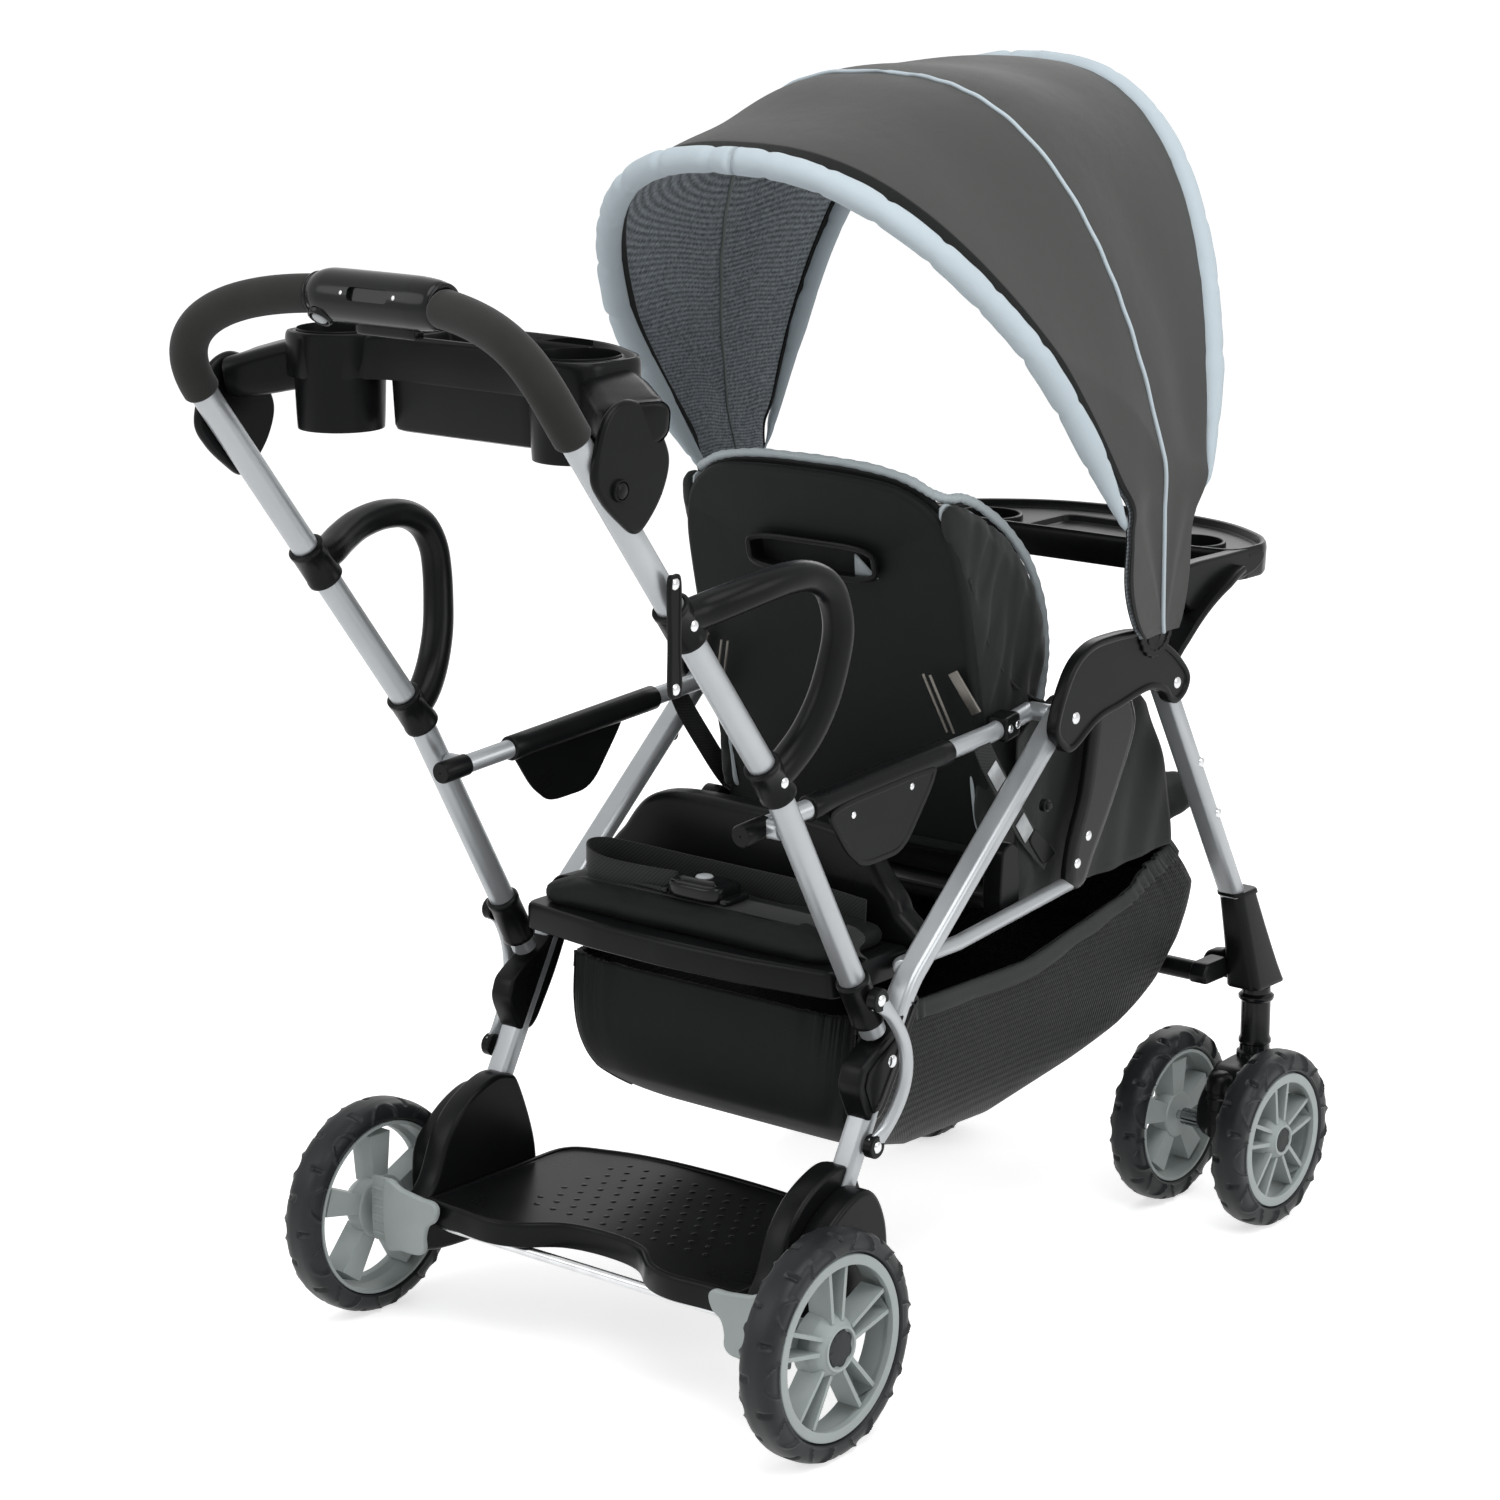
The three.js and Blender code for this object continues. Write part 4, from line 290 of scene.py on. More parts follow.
def finish(name, colour, rough, metal=0.0, grain=900, depth=0.0001, strength=0.25, shade=0.12, patch=9, coat=0.0,
           sheen=0.0, specular=0.2):
    """A moulded, painted or foamed surface: a fine grain in the bump, slow patches of lighter and darker colour, and a
    roughness that wanders with them. Grain and patch are in cycles a metre."""
    material, tree, base = fresh(name)
    where = shader(tree, "TexCoord").outputs["Object"]
    fine, slow = [shader(tree, "TexNoise", {"Scale": scale, "Detail": detail, "Vector": where}).outputs["Fac"]
                  for scale, detail in ((grain, 3), (patch, 4))]
    ramp = shader(tree, "ValToRGB", {"Fac": slow})
    for stop, place, tint in zip(ramp.color_ramp.elements, (0.3, 0.7), (1 - shade, 1 + shade)):
        stop.position, stop.color = place, (*[min(1, v * tint) for v in colour], 1)
    spread = shader(tree, "MapRange", {"To Min": rough - 0.05, "To Max": rough + 0.05, "Value": slow})
    bump = shader(tree, "Bump", {"Strength": strength, "Distance": depth, "Height": fine})
    dial(tree, base, {"Metallic": metal, "Specular IOR Level": specular, "Coat Weight": coat, "Coat Roughness": 0.12,
                      "Sheen Weight": sheen, "Base Color": ramp.outputs["Color"],
                      "Roughness": spread.outputs["Result"], "Normal": bump.outputs["Normal"]})
    return material


def put(piece, material, body, slot, *stands_for):
    """Gives a piece its finish and its body and hides the solids of the frame it stands for; `slot` is not used."""
    piece.data.materials.clear()
    piece.data.materials.append(material)
    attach(piece, body)
    if stands_for:
        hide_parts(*stands_for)
    return piece


silver = finish("satin_silver_paint", (0.40, 0.42, 0.435), 0.34, metal=0.55, grain=1600, depth=0.00004, strength=0.3,
                shade=0.05, patch=14, specular=0.5)
bright = finish("bright_steel", (0.62, 0.63, 0.64), 0.2, metal=1.0, grain=1200, depth=0.00002, strength=0.2,
                shade=0.08, patch=60, specular=0.5)


def flattened(width, depth, corner, count=9):
    """A flattened tube's section: a rectangle with round corners."""
    turn = np.linspace(0, math.pi / 2, count)
    quarter = np.stack([width / 2 - corner + corner * np.cos(turn), depth / 2 - corner + corner * np.sin(turn)], 1)
    return np.concatenate([quarter, (quarter * [-1, 1])[::-1], -quarter, (quarter * [1, -1])[::-1]])


def rivet(name, places, way, radius=0.0058, height=0.0022, rows=7, count=20):
    """Rivet heads: a low dome turned about `way` at each place, its rim flat on the piece that it closes."""
    way = np.asarray(way, float) / np.linalg.norm(way)
    side = np.cross(way, [0.0, 0.31, 0.95]); side /= np.linalg.norm(side)
    over = np.cross(way, side)
    t = np.linspace(0, 1, rows)[:, None, None]
    turn = (np.arange(count) / count * 2 * math.pi)[None, :, None]
    r = radius * np.sin(t * math.pi / 2)
    dome = way * (height * np.cos(t * math.pi / 2) - 0.0004) + side * r * np.cos(turn) + over * r * np.sin(turn)
    lip = dome[-1:] - way * 0.0006
    base = np.concatenate([dome, lip, np.zeros_like(lip) - way * 0.001])
    return skin(name, *[base + np.asarray(place) for place in places])


def riveted(body, *heads):
    """Puts bright rivet heads on a body; `heads` is what rivet() takes."""
    return put(rivet(*heads), bright, body, "tube_silver")


rear_leg = bend(mm([(TUBE_X, *place) for place in (LEG_FOOT, LEG_KNEE, FOLD_HUB)]), 0.09, 14)
up_leg = rear_leg[-1] - rear_leg[-2]; up_leg /= np.linalg.norm(up_leg)
clip = rear_leg[-1] - up_leg * 0.1
front_leg = mm([(TUBE_X, *LEG_TOP), (TUBE_X, -400, 502.5), (TUBE_X, -517, 302)])
lower_rail = bend(mm([(206, 66, 391), (198.5, 58.5, 391), (198.5, -32, 391), (198.5, -222, 410)]), 0.02, 8)
pivot_z = 556.5
pivot_y = on_stub(pivot_z)


def rail_at(y):
    """The height of the side rails at y, between the handle's pivot and their bend."""
    return 578 + (np.asarray(y, float) + 106) * (pivot_z - 578) / (pivot_y + 106)


side_rail = bend(mm([(181, pivot_y + 30, rail_at(pivot_y + 30)), (181, -106, 578), (181, *FOLD_HUB)]), 0.036, 8)
for side, out in SIDES:
    keep = [out, 1, 1]
    put(skin(f"rear_leg_tube_{side}", carried(rear_leg, flattened(0.017, 0.026, 0.0062), up=(1, 0, 0)) * keep),
        silver, "rear_frame", "tube_silver", f"rear_leg_{side}")
    put(skin(f"front_leg_tube_{side}", carried(front_leg, flattened(0.017, 0.028, 0.0075), up=(1, 0, 0)) * keep),
        silver, "front_legs", "tube_silver", f"front_leg_{side}")
    put(skin(f"lower_rail_tube_{side}", carried(lower_rail, circle(0.0075), up=(1, 0, 0.01)) * keep), silver,
        "rear_frame", "tube_silver", f"lower_rail_{side}")
    bosses = [carried(mm([(x, *place) for x in (181, 187, 196, end)]), circle(0.009), up=(0, 0, 1))
              for place, end in (((pivot_y, pivot_z), 201.8), (FOLD_HUB, 206))]
    put(skin(f"side_rail_tube_{side}", carried(side_rail, circle(0.009), up=(1, 0, 0.01)) * keep,
             *[b * keep for b in bosses]), silver, "rails", "tube_silver", f"side_rail_{side}")
    heads = mm([(223.2, LEG_TOP[0] - 170 * share, LEG_TOP[1] - 291 * share) for share in (0.34, 0.56)])
    riveted("front_legs", f"front_leg_rivets_{side}", heads * keep, (out, 0, 0))
    riveted("rear_frame", f"leg_clip_rivet_{side}", np.array([clip + up_leg * 0.012 + [0.0108, 0, 0]]) * keep,
            (out, 0, 0))
put(skin("axle_rod", carried(mm([(x, *REAR_AXLE) for x in (-295, -294, 294, 295)]), circle(0.005, 20))), bright,
    "rear_frame", "tube_silver", "rear_axle")

straight = bend(mm([(TUBE_X, *place) for place in (STUB, KNEE, GRIP)]), 0.26, 12)
rise = straight[-1] - straight[-2]; rise /= np.linalg.norm(rise)
t = np.linspace(0, 1, 40)[:, None]
corners = [straight[-1], straight[-1] + rise * 0.07, *mm([(178, 546, 1031), (62, 528, 1036)])]
shoulder = ((1 - t) ** 3 * corners[0] + 3 * t * (1 - t) ** 2 * corners[1] + 3 * t ** 2 * (1 - t) * corners[2]
            + t ** 3 * corners[3])
half_handle = np.concatenate([straight[:-1], shoulder])
handle_line = np.concatenate([half_handle, mirror(half_handle)[::-1]])
put(skin("handle_one_piece_tube", carried(handle_line, circle(0.0125, 32), up=(0, -0.82, 0.57))), silver, "handle",
    "tube_silver", "handle_tube")

# Wheels: a grey moulded rim whose five spokes are deep pairs of plates with a web at the back, a dark lobed
# cap pressed into the hub, and a solid rubber tyre with half-round lugs on its sides and notches across its tread.
rim_grey = finish("moulded_grey", (0.36, 0.40, 0.395), 0.42, grain=1400, depth=0.00004, strength=0.2, shade=0.06,
                  patch=22)
cap_black = finish("cap_black", (0.020, 0.023, 0.024), 0.5, grain=1500, depth=0.00005, strength=0.3, shade=0.1)
tyre_rubber = finish("tyre_rubber", (0.0145, 0.016, 0.0175), 0.4, grain=1300, depth=0.00008, strength=0.35,
                     shade=0.16, patch=30, specular=0.22)


def turned(profile, centre, count=120, bulge=None):
    """A profile of (radius, outward) turned about an X axis through centre; `bulge` may move its points."""
    profile = np.asarray(profile, float)
    turn = (np.arange(count) / count * 2 * math.pi)[:, None]
    radius, out = [np.broadcast_to(v, (count, len(profile))).copy() for v in profile.T]
    if bulge is not None:
        radius, out = bulge(turn, radius, out)
    return np.stack([out, radius * np.cos(turn), radius * np.sin(turn)], 2) + np.asarray(centre)


def eased(profile, share=0.25, steps=5):
    """A closed outline whose corners are eased: each becomes a short curve that leaves and meets its sides smoothly."""
    corner = np.asarray(profile, float)
    before, after = np.roll(corner, 1, 0), np.roll(corner, -1, 0)
    t = np.linspace(0, 1, steps)[None, :, None]
    near, far = corner + (before - corner) * share, corner + (after - corner) * share
    line = (1 - t) ** 2 * near[:, None] + 2 * t * (1 - t) * corner[:, None] + t * t * far[:, None]
    return line.reshape(-1, corner.shape[1])


def wheel(name, centre, out, rim, tyre, half, hub, body, solids):
    """One wheel about an X axis at centre; out is 1 where its cap looks to +X. rim, tyre and hub are radii."""
    lip = rim - 0.0105
    ring = eased([(lip, half * 0.92), (rim - 0.001, half * 0.92), (rim, half * 0.6), (rim, -half * 0.9),
                  (rim - 0.004, -half * 0.9), (rim - 0.005, half * 0.2), (lip + 0.001, half * 0.55)], 0.12, 4)
    drum = eased([(0.004, half * 0.8), (hub - 0.004, half * 0.8), (hub - 0.0035, half * 0.95),
                  (hub - 0.001, half * 0.95), (hub, half * 0.84), (hub * 1.22, half * 0.55), (hub * 1.4, half * 0.2),
                  (hub * 1.45, -half * 0.7), (0.004, -half * 0.7)], 0.12, 4)
    grids = [np.concatenate([whole, whole[:1]]) for whole in (turned(ring, (0, 0, 0)), turned(drum, (0, 0, 0), 60))]
    thick, spokes, lugs = 0.0040, 5, 10
    for k in range(spokes):
        angle = k / spokes * 2 * math.pi + math.pi / 2
        reach = np.linspace(hub - 0.003, lip + 0.004, 12)[:, None]
        gap = 0.0045 + 0.0055 * (reach - hub) / (lip - hub)
        front, back = half * 0.72, -half * 0.62
        plan = [(-gap - thick, front), (-gap, front), (-gap, back + thick), (gap, back + thick), (gap, front),
                (gap + thick, front), (gap + thick, back), (-gap - thick, back)]
        across = np.concatenate([p[0] + 0 * reach for p in plan], 1)
        depth = np.concatenate([p[1] + 0 * reach for p in plan], 1)
        ends = np.concatenate([[0.0], np.ones(10), [0.0]])[:, None]
        across, depth = across * np.where(ends > 0, 1, 0.001), np.where(ends > 0, depth, (front + back) / 2)
        grids.append(np.stack([depth, reach * math.cos(angle) - across * math.sin(angle),
                               reach * math.sin(angle) + across * math.cos(angle)], 2))
    place = np.asarray(centre)
    rim_piece = crisp(skin(f"{name}_rim", *[g * [out, 1, 1] + place for g in grids]), 40)

    def lobes(turn, radius, height):
        """Seven lobes round the cap."""
        return radius * (1 + 0.07 * np.cos(7 * turn) * (radius > 0.004)), height
    cap = [(0.0001, half * 0.9), (hub * 0.4, half * 0.9), (hub * 0.74, half * 0.87), (hub * 0.8, half * 0.8),
           (hub * 0.8, half * 0.5), (0.0001, half * 0.5)]
    cap_piece = spun(f"{name}_cap", turned(cap, (0, 0, 0), 84, lobes) * [out, 1, 1] + place)

    def tread(turn, radius, height):
        """Half-round ridges on the side walls, each open to the rim, and notches between them across the tread."""
        step, foot = 2 * math.pi / lugs, 0.0035
        for sign, shift in ((1, 0), (-1, step / 2)):
            phase = (turn + shift + step / 2) % step - step / 2
            run = np.hypot(phase * radius, radius - (rim + foot))
            size = (tyre - rim) * 0.8
            ridge = np.exp(-((run - size) / 0.0015) ** 2) * 0.0023 - 0.0012 * (run < size)
            here = (height * sign > 0) * (radius > rim + foot)
            wall = np.clip((np.abs(height) - half * 0.55) / (half * 0.3), 0, 1) * here
            height = height + sign * ridge * wall
            notch = np.exp(-(((turn + shift) % step - step / 2) * tyre / 0.0026) ** 4)
            shoulder = np.clip((radius - tyre + 0.006) / 0.004, 0, 1) * (height * sign > half * 0.22)
            radius = radius - 0.0036 * notch * shoulder
        return radius, height
    wall = half * np.array([0.80, 0.86, 0.98, 1.0, 0.99, 0.93, 0.82, 0.64, 0.42, 0.2])
    rise = rim + 0.0004 + (tyre - rim - 0.0004) * np.array([0, 0.02, 0.1, 0.28, 0.5, 0.68, 0.83, 0.93, 0.985, 1.0])
    one = np.stack([rise, wall], 1)
    fine = drawn(np.concatenate([one, (one * [1, -1])[::-1]]), 76)
    tyre_piece = skin(f"{name}_tyre", turned(fine, (0, 0, 0), 400, tread) * [out, 1, 1] + place, along=True,
                      around=True)
    put(rim_piece, rim_grey, body, "plastic_grey" if solids[0].startswith("rear") else "tyre_rubber", *solids)
    put(cap_piece, cap_black, body, "plastic_black")
    put(tyre_piece, tyre_rubber, body, "tyre_rubber")


for side, out in SIDES:
    wheel(f"rear_wheel_{side}", (out * 0.281, axle_low[1] / 2 + axle_high[1] / 2, 0.106), out, 0.0864, 0.106, 0.019,
          0.022, f"rear_wheel_{side}", (f"rear_rim_{side}", f"rear_tyre_{side}"))
    for place, way in (("outer", 1), ("inner", -1)):
        low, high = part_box(f"front_wheel_{side}_{place}")
        wheel(f"front_wheel_{side}_{place}", [(a + b) / 2 for a, b in zip(low, high)], out * way, 0.071, 0.0926,
              0.0175, 0.017, f"front_wheel_{side}_{place}", (f"front_wheel_{side}_{place}",))

# Saddles: black moulded clamps on the rear legs in which the feet of the handle tube land, each with a bright rivet.
black = finish("satin_black_plastic", (0.0062, 0.0066, 0.0070), 0.29, grain=2200, depth=0.00003, strength=0.35,
               shade=0.12, patch=16, specular=0.1)
glossy = finish("glossy_black_plastic", (0.007, 0.0075, 0.008), 0.19, grain=1500, depth=0.00001, strength=0.15,
                shade=0.1, patch=12, coat=0.12, specular=0.13)


def through(points, count=96):
    """A smooth closed line through points: between two of them the cubic that runs parallel to their neighbours."""
    points = np.asarray(points, float)
    place = np.arange(count) / count * len(points)
    k, t = place.astype(int), (place % 1)[:, None]
    a, b, c, d = [points[(k + i) % len(points)] for i in (-1, 0, 1, 2)]
    return 0.5 * (2 * b + (c - a) * t + (2 * a - 5 * b + 4 * c - d) * t ** 2 + (3 * b - 3 * c + d - a) * t ** 3)


def cornered(points, share=0.22, steps=6):
    """A closed outline of straight sides whose corners are eased over a share of each side."""
    return eased(np.asarray(points, float), share, steps)


def offset(line, inward):
    """A closed line moved inwards: each point goes along the mean normal of its two sides. Where a corner is tighter
    than the move, the loop that this makes is drawn together to the point where it crosses itself."""
    line = np.asarray(line, float)
    area = np.sum(line[:, 0] * np.roll(line[:, 1], -1) - np.roll(line[:, 0], -1) * line[:, 1])
    run = np.roll(line, -1, 0) - np.roll(line, 1, 0)
    run /= np.maximum(np.linalg.norm(run, axis=1, keepdims=True), 1e-9)
    moved = line + inward * np.sign(area) * np.stack([-run[:, 1], run[:, 0]], 1)
    count, ahead = len(moved), np.roll(moved, -1, 0)
    step = ahead - moved
    near, far = [step[:, None, 0] * (p[None, :, 1] - moved[:, None, 1]) - step[:, None, 1]
                 * (p[None, :, 0] - moved[:, None, 0]) for p in (moved, ahead)]
    hits = np.argwhere(np.triu((near * far < 0) & (near.T * far.T < 0), 2))
    for i, j in hits[np.argsort([min(j - i, count - j + i) for i, j in hits])] if len(hits) else ():
        cross = moved[i] + step[i] * (near[j, i] / (near[j, i] - far[j, i]))
        loop = np.arange(i + 1, j + 1) if j - i < count / 2 else np.arange(j + 1, i + 1 + count) % count
        if len(loop) < count / 3:
            moved[loop] = cross
    return moved


def edges(low, high, radius, steps=4):
    """The rows of a moulding with round edges: (inset, height) from its back face to its front face."""
    turn = np.linspace(0, math.pi / 2, steps)
    back = [(radius * (1 - math.sin(t)), low + radius * (1 - math.cos(t))) for t in turn]
    return back + [(radius * (1 - math.sin(t)), high - radius * (1 - math.cos(t))) for t in turn[::-1]]


def facing(out, rows):
    """The rows of a moulding on the left side or, where out is -1, on the right one."""
    return [(inset, out * height) for inset, height in rows]


def mould(piece, body, *stands_for):
    """Puts a piece in as a satin black moulding."""
    return put(piece, black, body, "plastic_black", *stands_for)


def pressed(name, *forms, degrees=34):
    """A moulding from forms of (outline in mm, rows of (inset, height) in mm, way): each row is the outline moved in
    by its inset at its height, along x, y or z, and the first and the last row are closed flat."""
    grids = []
    for line, rows, way in forms:
        layers = [np.insert(offset(line, inset), "xyz".index(way), height, axis=1) for inset, height in rows]
        grids.append(mm(np.stack(layers)))
    return crisp(filled(skin(name, *grids)), degrees)


def filled(piece):
    """Closes each open end of a piece with one flat face and turns every face outwards."""
    work = bmesh.new()
    work.from_mesh(piece.data)
    bmesh.ops.holes_fill(work, edges=[edge for edge in work.edges if edge.is_boundary], sides=0)
    bmesh.ops.recalc_face_normals(work, faces=work.faces)
    work.to_mesh(piece.data)
    work.free()
    return rounded(piece)


def rounded(piece):
    """Shades a piece's small faces smooth and its flat caps, faces of many corners, flat."""
    corners = np.empty(len(piece.data.polygons), int)
    piece.data.polygons.foreach_get("loop_total", corners)
    piece.data.polygons.foreach_set("use_smooth", corners < 5)
    return piece


def flip(line):
    """The same outline or place on the other side of the stroller."""
    return np.asarray(line, float) * [-1, *[1] * (np.shape(line)[-1] - 1)]


def both(front, half, rear):
    """A closed outline from its half on the left, between its points on the middle plane."""
    return np.concatenate([[front], half, [rear], flip(half)[::-1]])


def shares(table, origin, width, height):
    """Places given as shares of a width and a height from an origin."""
    return np.asarray(table, float) * [width, height] + origin


saddle_y = on_line(LEG_FOOT, LEG_KNEE, 316)
saddle = cornered(shares([(-0.47, 0.44), (-0.29, 0.54), (-0.2, 0.39), (-0.04, 0.26), (0.28, 0.13), (0.46, 0.03),
                          (0.53, -0.14), (0.36, -0.46), (0.13, -0.44), (-0.18, -0.04)], (saddle_y, 316), 96, 114),
                  0.3, 7)
for side, out in SIDES:
    body = facing(out, edges(202.2, 227.8, 3))
    lip = facing(out, [(9, 227.5), (9, 229), (9.8, 229.4), (14, 229.4), (14.6, 228.2)])
    mould(pressed(f"saddle_{side}", (saddle, body, "x"), (saddle, lip, "x")), "rear_frame", f"leg_saddle_{side}")
    riveted("rear_frame", f"saddle_rivet_{side}", mm([(out * 228.4, saddle_y, 316)]), (out, 0, 0), 0.0065, 0.0026)

# Rear fenders: deep black mouldings that stand on the axle, hold the foot of the rear leg and cover the inner side of
# the wheel. The grey brake pedals turn on the axle in a pocket of them, each with a ribbed foot plate behind.
fender = through(shares([(-0.87, -0.07), (-0.88, 0.28), (-0.75, 0.7), (-0.66, 0.79), (-0.51, 0.8), (-0.29, 0.7),
                         (-0.13, 0.53), (-0.02, 0.28), (0.1, 0.12), (0.12, -0.12), (-0.14, -0.2), (-0.75, -0.2)],
                        REAR_AXLE, 164, 155), 120)
axle_side = np.array([(252, 160), (231, 188), (204, 206), (176, 214), (156, 205), (142, 178), (138, 142), (140, 98),
                      (150, 84), (212, 82), (236, 86), (250, 96)])
pedal_plate = cornered([(289, 80), (300, 84), (300, 150), (289, 146)], 0.3, 5)
pedal_toe = np.array([(238, 146), (214, 143), (190, 140), (174, 139), (168, 132), (172, 120), (182, 112), (186, 100),
                      (186, 88), (194, 81), (216, 80), (238, 82)], float)
for side, out in SIDES:
    inner = facing(out, edges(196, 222, 4))
    outer = facing(out, edges(221, 249, 5))
    mould(pressed(f"fender_{side}", (fender, inner, "x"), (through(axle_side, 90), outer, "x")), "rear_frame",
          f"rear_fender_{side}")
    hub = mm(turned([(0.001, -0.018), (0.0145, -0.018), (0.016, -0.0165), (0.016, 0.0165), (0.0145, 0.018),
                     (0.001, 0.018)], (0, 0, 0), 40) * 1000 + [out * 241.7, *REAR_AXLE])
    plate = facing(out, edges(227, 256.5, 2))
    web = facing(out, edges(228, 255.5, 1.5))
    ribs = [(cornered([(299, z - 1.6), (301.4, z - 1), (301.4, z + 1), (299, z + 1.6)], 0.3, 3),
             facing(out, edges(230, 253.5, 1)), "x") for z in range(92, 146, 9)]
    toe = (through(pedal_toe * [out, 1], 90), edges(294.5, 301.5, 2.4), "y")
    pedal = pressed(f"pedal_{side}", (pedal_plate, plate, "x"), toe,
                    (cornered([(273, 98), (290, 98), (290, 116), (273, 116)], 0.1, 3), web, "x"), *ribs)
    put(pedal, rim_grey, f"brake_pedal_{side}", "plastic_grey", f"brake_pedal_{side}")
    put(spun(f"pedal_hub_{side}", hub), rim_grey, f"brake_pedal_{side}", "plastic_grey")

# Standing board: one black moulding, lipped all round, with rows of small raised studs for grip and a rounded rear
# edge.
half_board = shares([(0.23, 0.85), (0.41, 0.96), (0.57, 1), (0.78, 0.99), (0.94, 0.98), (1, 0.94), (1, 0.4),
                     (0.97, 0.17), (0.77, 0.08), (0.46, 0.02)], (0, 52), 195.4, 241)
board = through(both((0, 249.6), half_board, (0, 52)), 220)
board = np.clip(board, [-195.4, 0], [195.4, 400])
board_rows = [(6, 111.8), (1.5, 111.6), (0.4, 112.4), (0, 114), (0, 131), (0.5, 133.6), (1.6, 135.2), (3.2, 135.9),
              (5.2, 135.9), (6.6, 135.3), (7.6, 133.9), (9, 133.6)]
gx, gy = np.meshgrid(np.arange(-105, 106, 21.0), np.arange(92, 240, 17.0), indexing="ij")
gx = gx + np.where(np.arange(gx.shape[1]) % 2 == 0, 0, 10.5)[None, :]
spots = np.stack([gx.ravel(), gy.ravel()], 1)
room = np.interp(np.abs(spots[:, 0]), [0, 50, 90, 150, 180], [236, 236, 268, 276, 276])
spots = spots[(spots[:, 1] < room) & (np.abs(spots[:, 0]) < 176) & (spots[:, 1] > 70)]
mould(pressed("standing_board", (board, board_rows, "z")), "rear_frame", "step_board")
mould(rivet("board_studs", mm(np.insert(spots, 2, 133.8, axis=1)), (0, 0, 1), 0.0036, 0.0009, 4, 12), "rear_frame")

# Armrests: moulded arches over the fold hubs with a raised rim round a shallow dish, the ribbed disc that carries the
# canopy, and bright rivets through to the frame.
arch = through(shares([(0.15, -0.03), (0.09, -0.26), (0.01, -0.3), (-0.16, -0.1), (-0.32, -0.03), (-0.53, 0.05),
                       (-0.65, -0.01), (-0.7, -0.12), (-0.76, -0.16), (-0.83, -0.07), (-0.85, 0.09), (-0.78, 0.28),
                       (-0.67, 0.46), (-0.49, 0.66), (-0.25, 0.7), (-0.08, 0.65), (0.05, 0.44)], FOLD_HUB, 233, 102),
               160)
disc_turn = np.linspace(0, 2 * math.pi, 72, endpoint=False)
disc_edge = 28.2 + 0.9 * np.cos(18 * disc_turn)
disc_ribs = np.stack([CANOPY_HUB[0] + disc_edge * np.cos(disc_turn), CANOPY_HUB[1] + disc_edge * np.sin(disc_turn)],
                     1)
for side, out in SIDES:
    rows = facing(out, edges(223.8, 237, 2.2) + [(5.2, 237), (6.4, 236.4), (7, 235), (8, 234.6)])
    disc = facing(out, [(0, 232), (0, 236.8), (1, 237.7), (6, 237.7), (7, 236.6), (12, 236.6), (13, 237.5),
                        (16, 237.5)])
    mould(pressed(f"armrest_{side}", (arch, rows, "x")), "rear_frame", f"hub_cover_{side}")
    mould(pressed(f"canopy_disc_{side}", (disc_ribs, disc, "x")), "rear_frame")
    heads = mm([(out * 235, *FOLD_HUB), (out * 235, *LEG_TOP)])
    riveted("rear_frame", f"armrest_rivets_{side}", heads, (out, 0, 0), 0.0062, 0.0024)

# Side struts: glossy box sections from the fold hub down to the lower rail, flanged at both edges and riveted.
strut = through(shares([(-0.22, 0.97), (-0.59, 0.97), (-0.71, 0.84), (-0.76, 0.67), (-0.50, 0.36), (-0.24, 0.11),
                        (-0.09, -0.03), (0.12, 0), (0.08, 0.2), (-0.08, 0.45), (-0.17, 0.74)], (-222, 410), 128, 202),
                120)
for side, out in SIDES:
    rows = facing(out, [(6, 196), (1.4, 196), (0.4, 196.4), (0, 197.4), (0, 201), (0.5, 203.1), (2, 205),
                        (4.5, 206.3), (8, 207), (11.5, 207.2)])
    boss = turned([(0.001, -0.0105), (0.009, -0.0105), (0.009, 0.0095), (0.001, 0.0095)], (0, 0, 0),
                  32) * 1000 + [out * 213.5, -222 - 128 * 0.42, 410 + 202 * 0.955]
    put(pressed(f"strut_{side}", (strut, rows, "x")), glossy, "rear_frame", "plastic_black", f"side_strut_{side}")
    mould(spun(f"strut_boss_{side}", mm(boss)), "rear_frame")
    heads = mm([(out * 206.8, -222 + 128 * 0.02, 410 + 202 * 0.1), (out * 206.8, -222 - 128 * 0.12, 410 + 202 * 0.22),
                (out * 206.8, -222 - 128 * 0.5, 410 + 202 * 0.86)])
    riveted("rear_frame", f"strut_rivets_{side}", heads, (out, 0, 0), 0.0055, 0.0022)

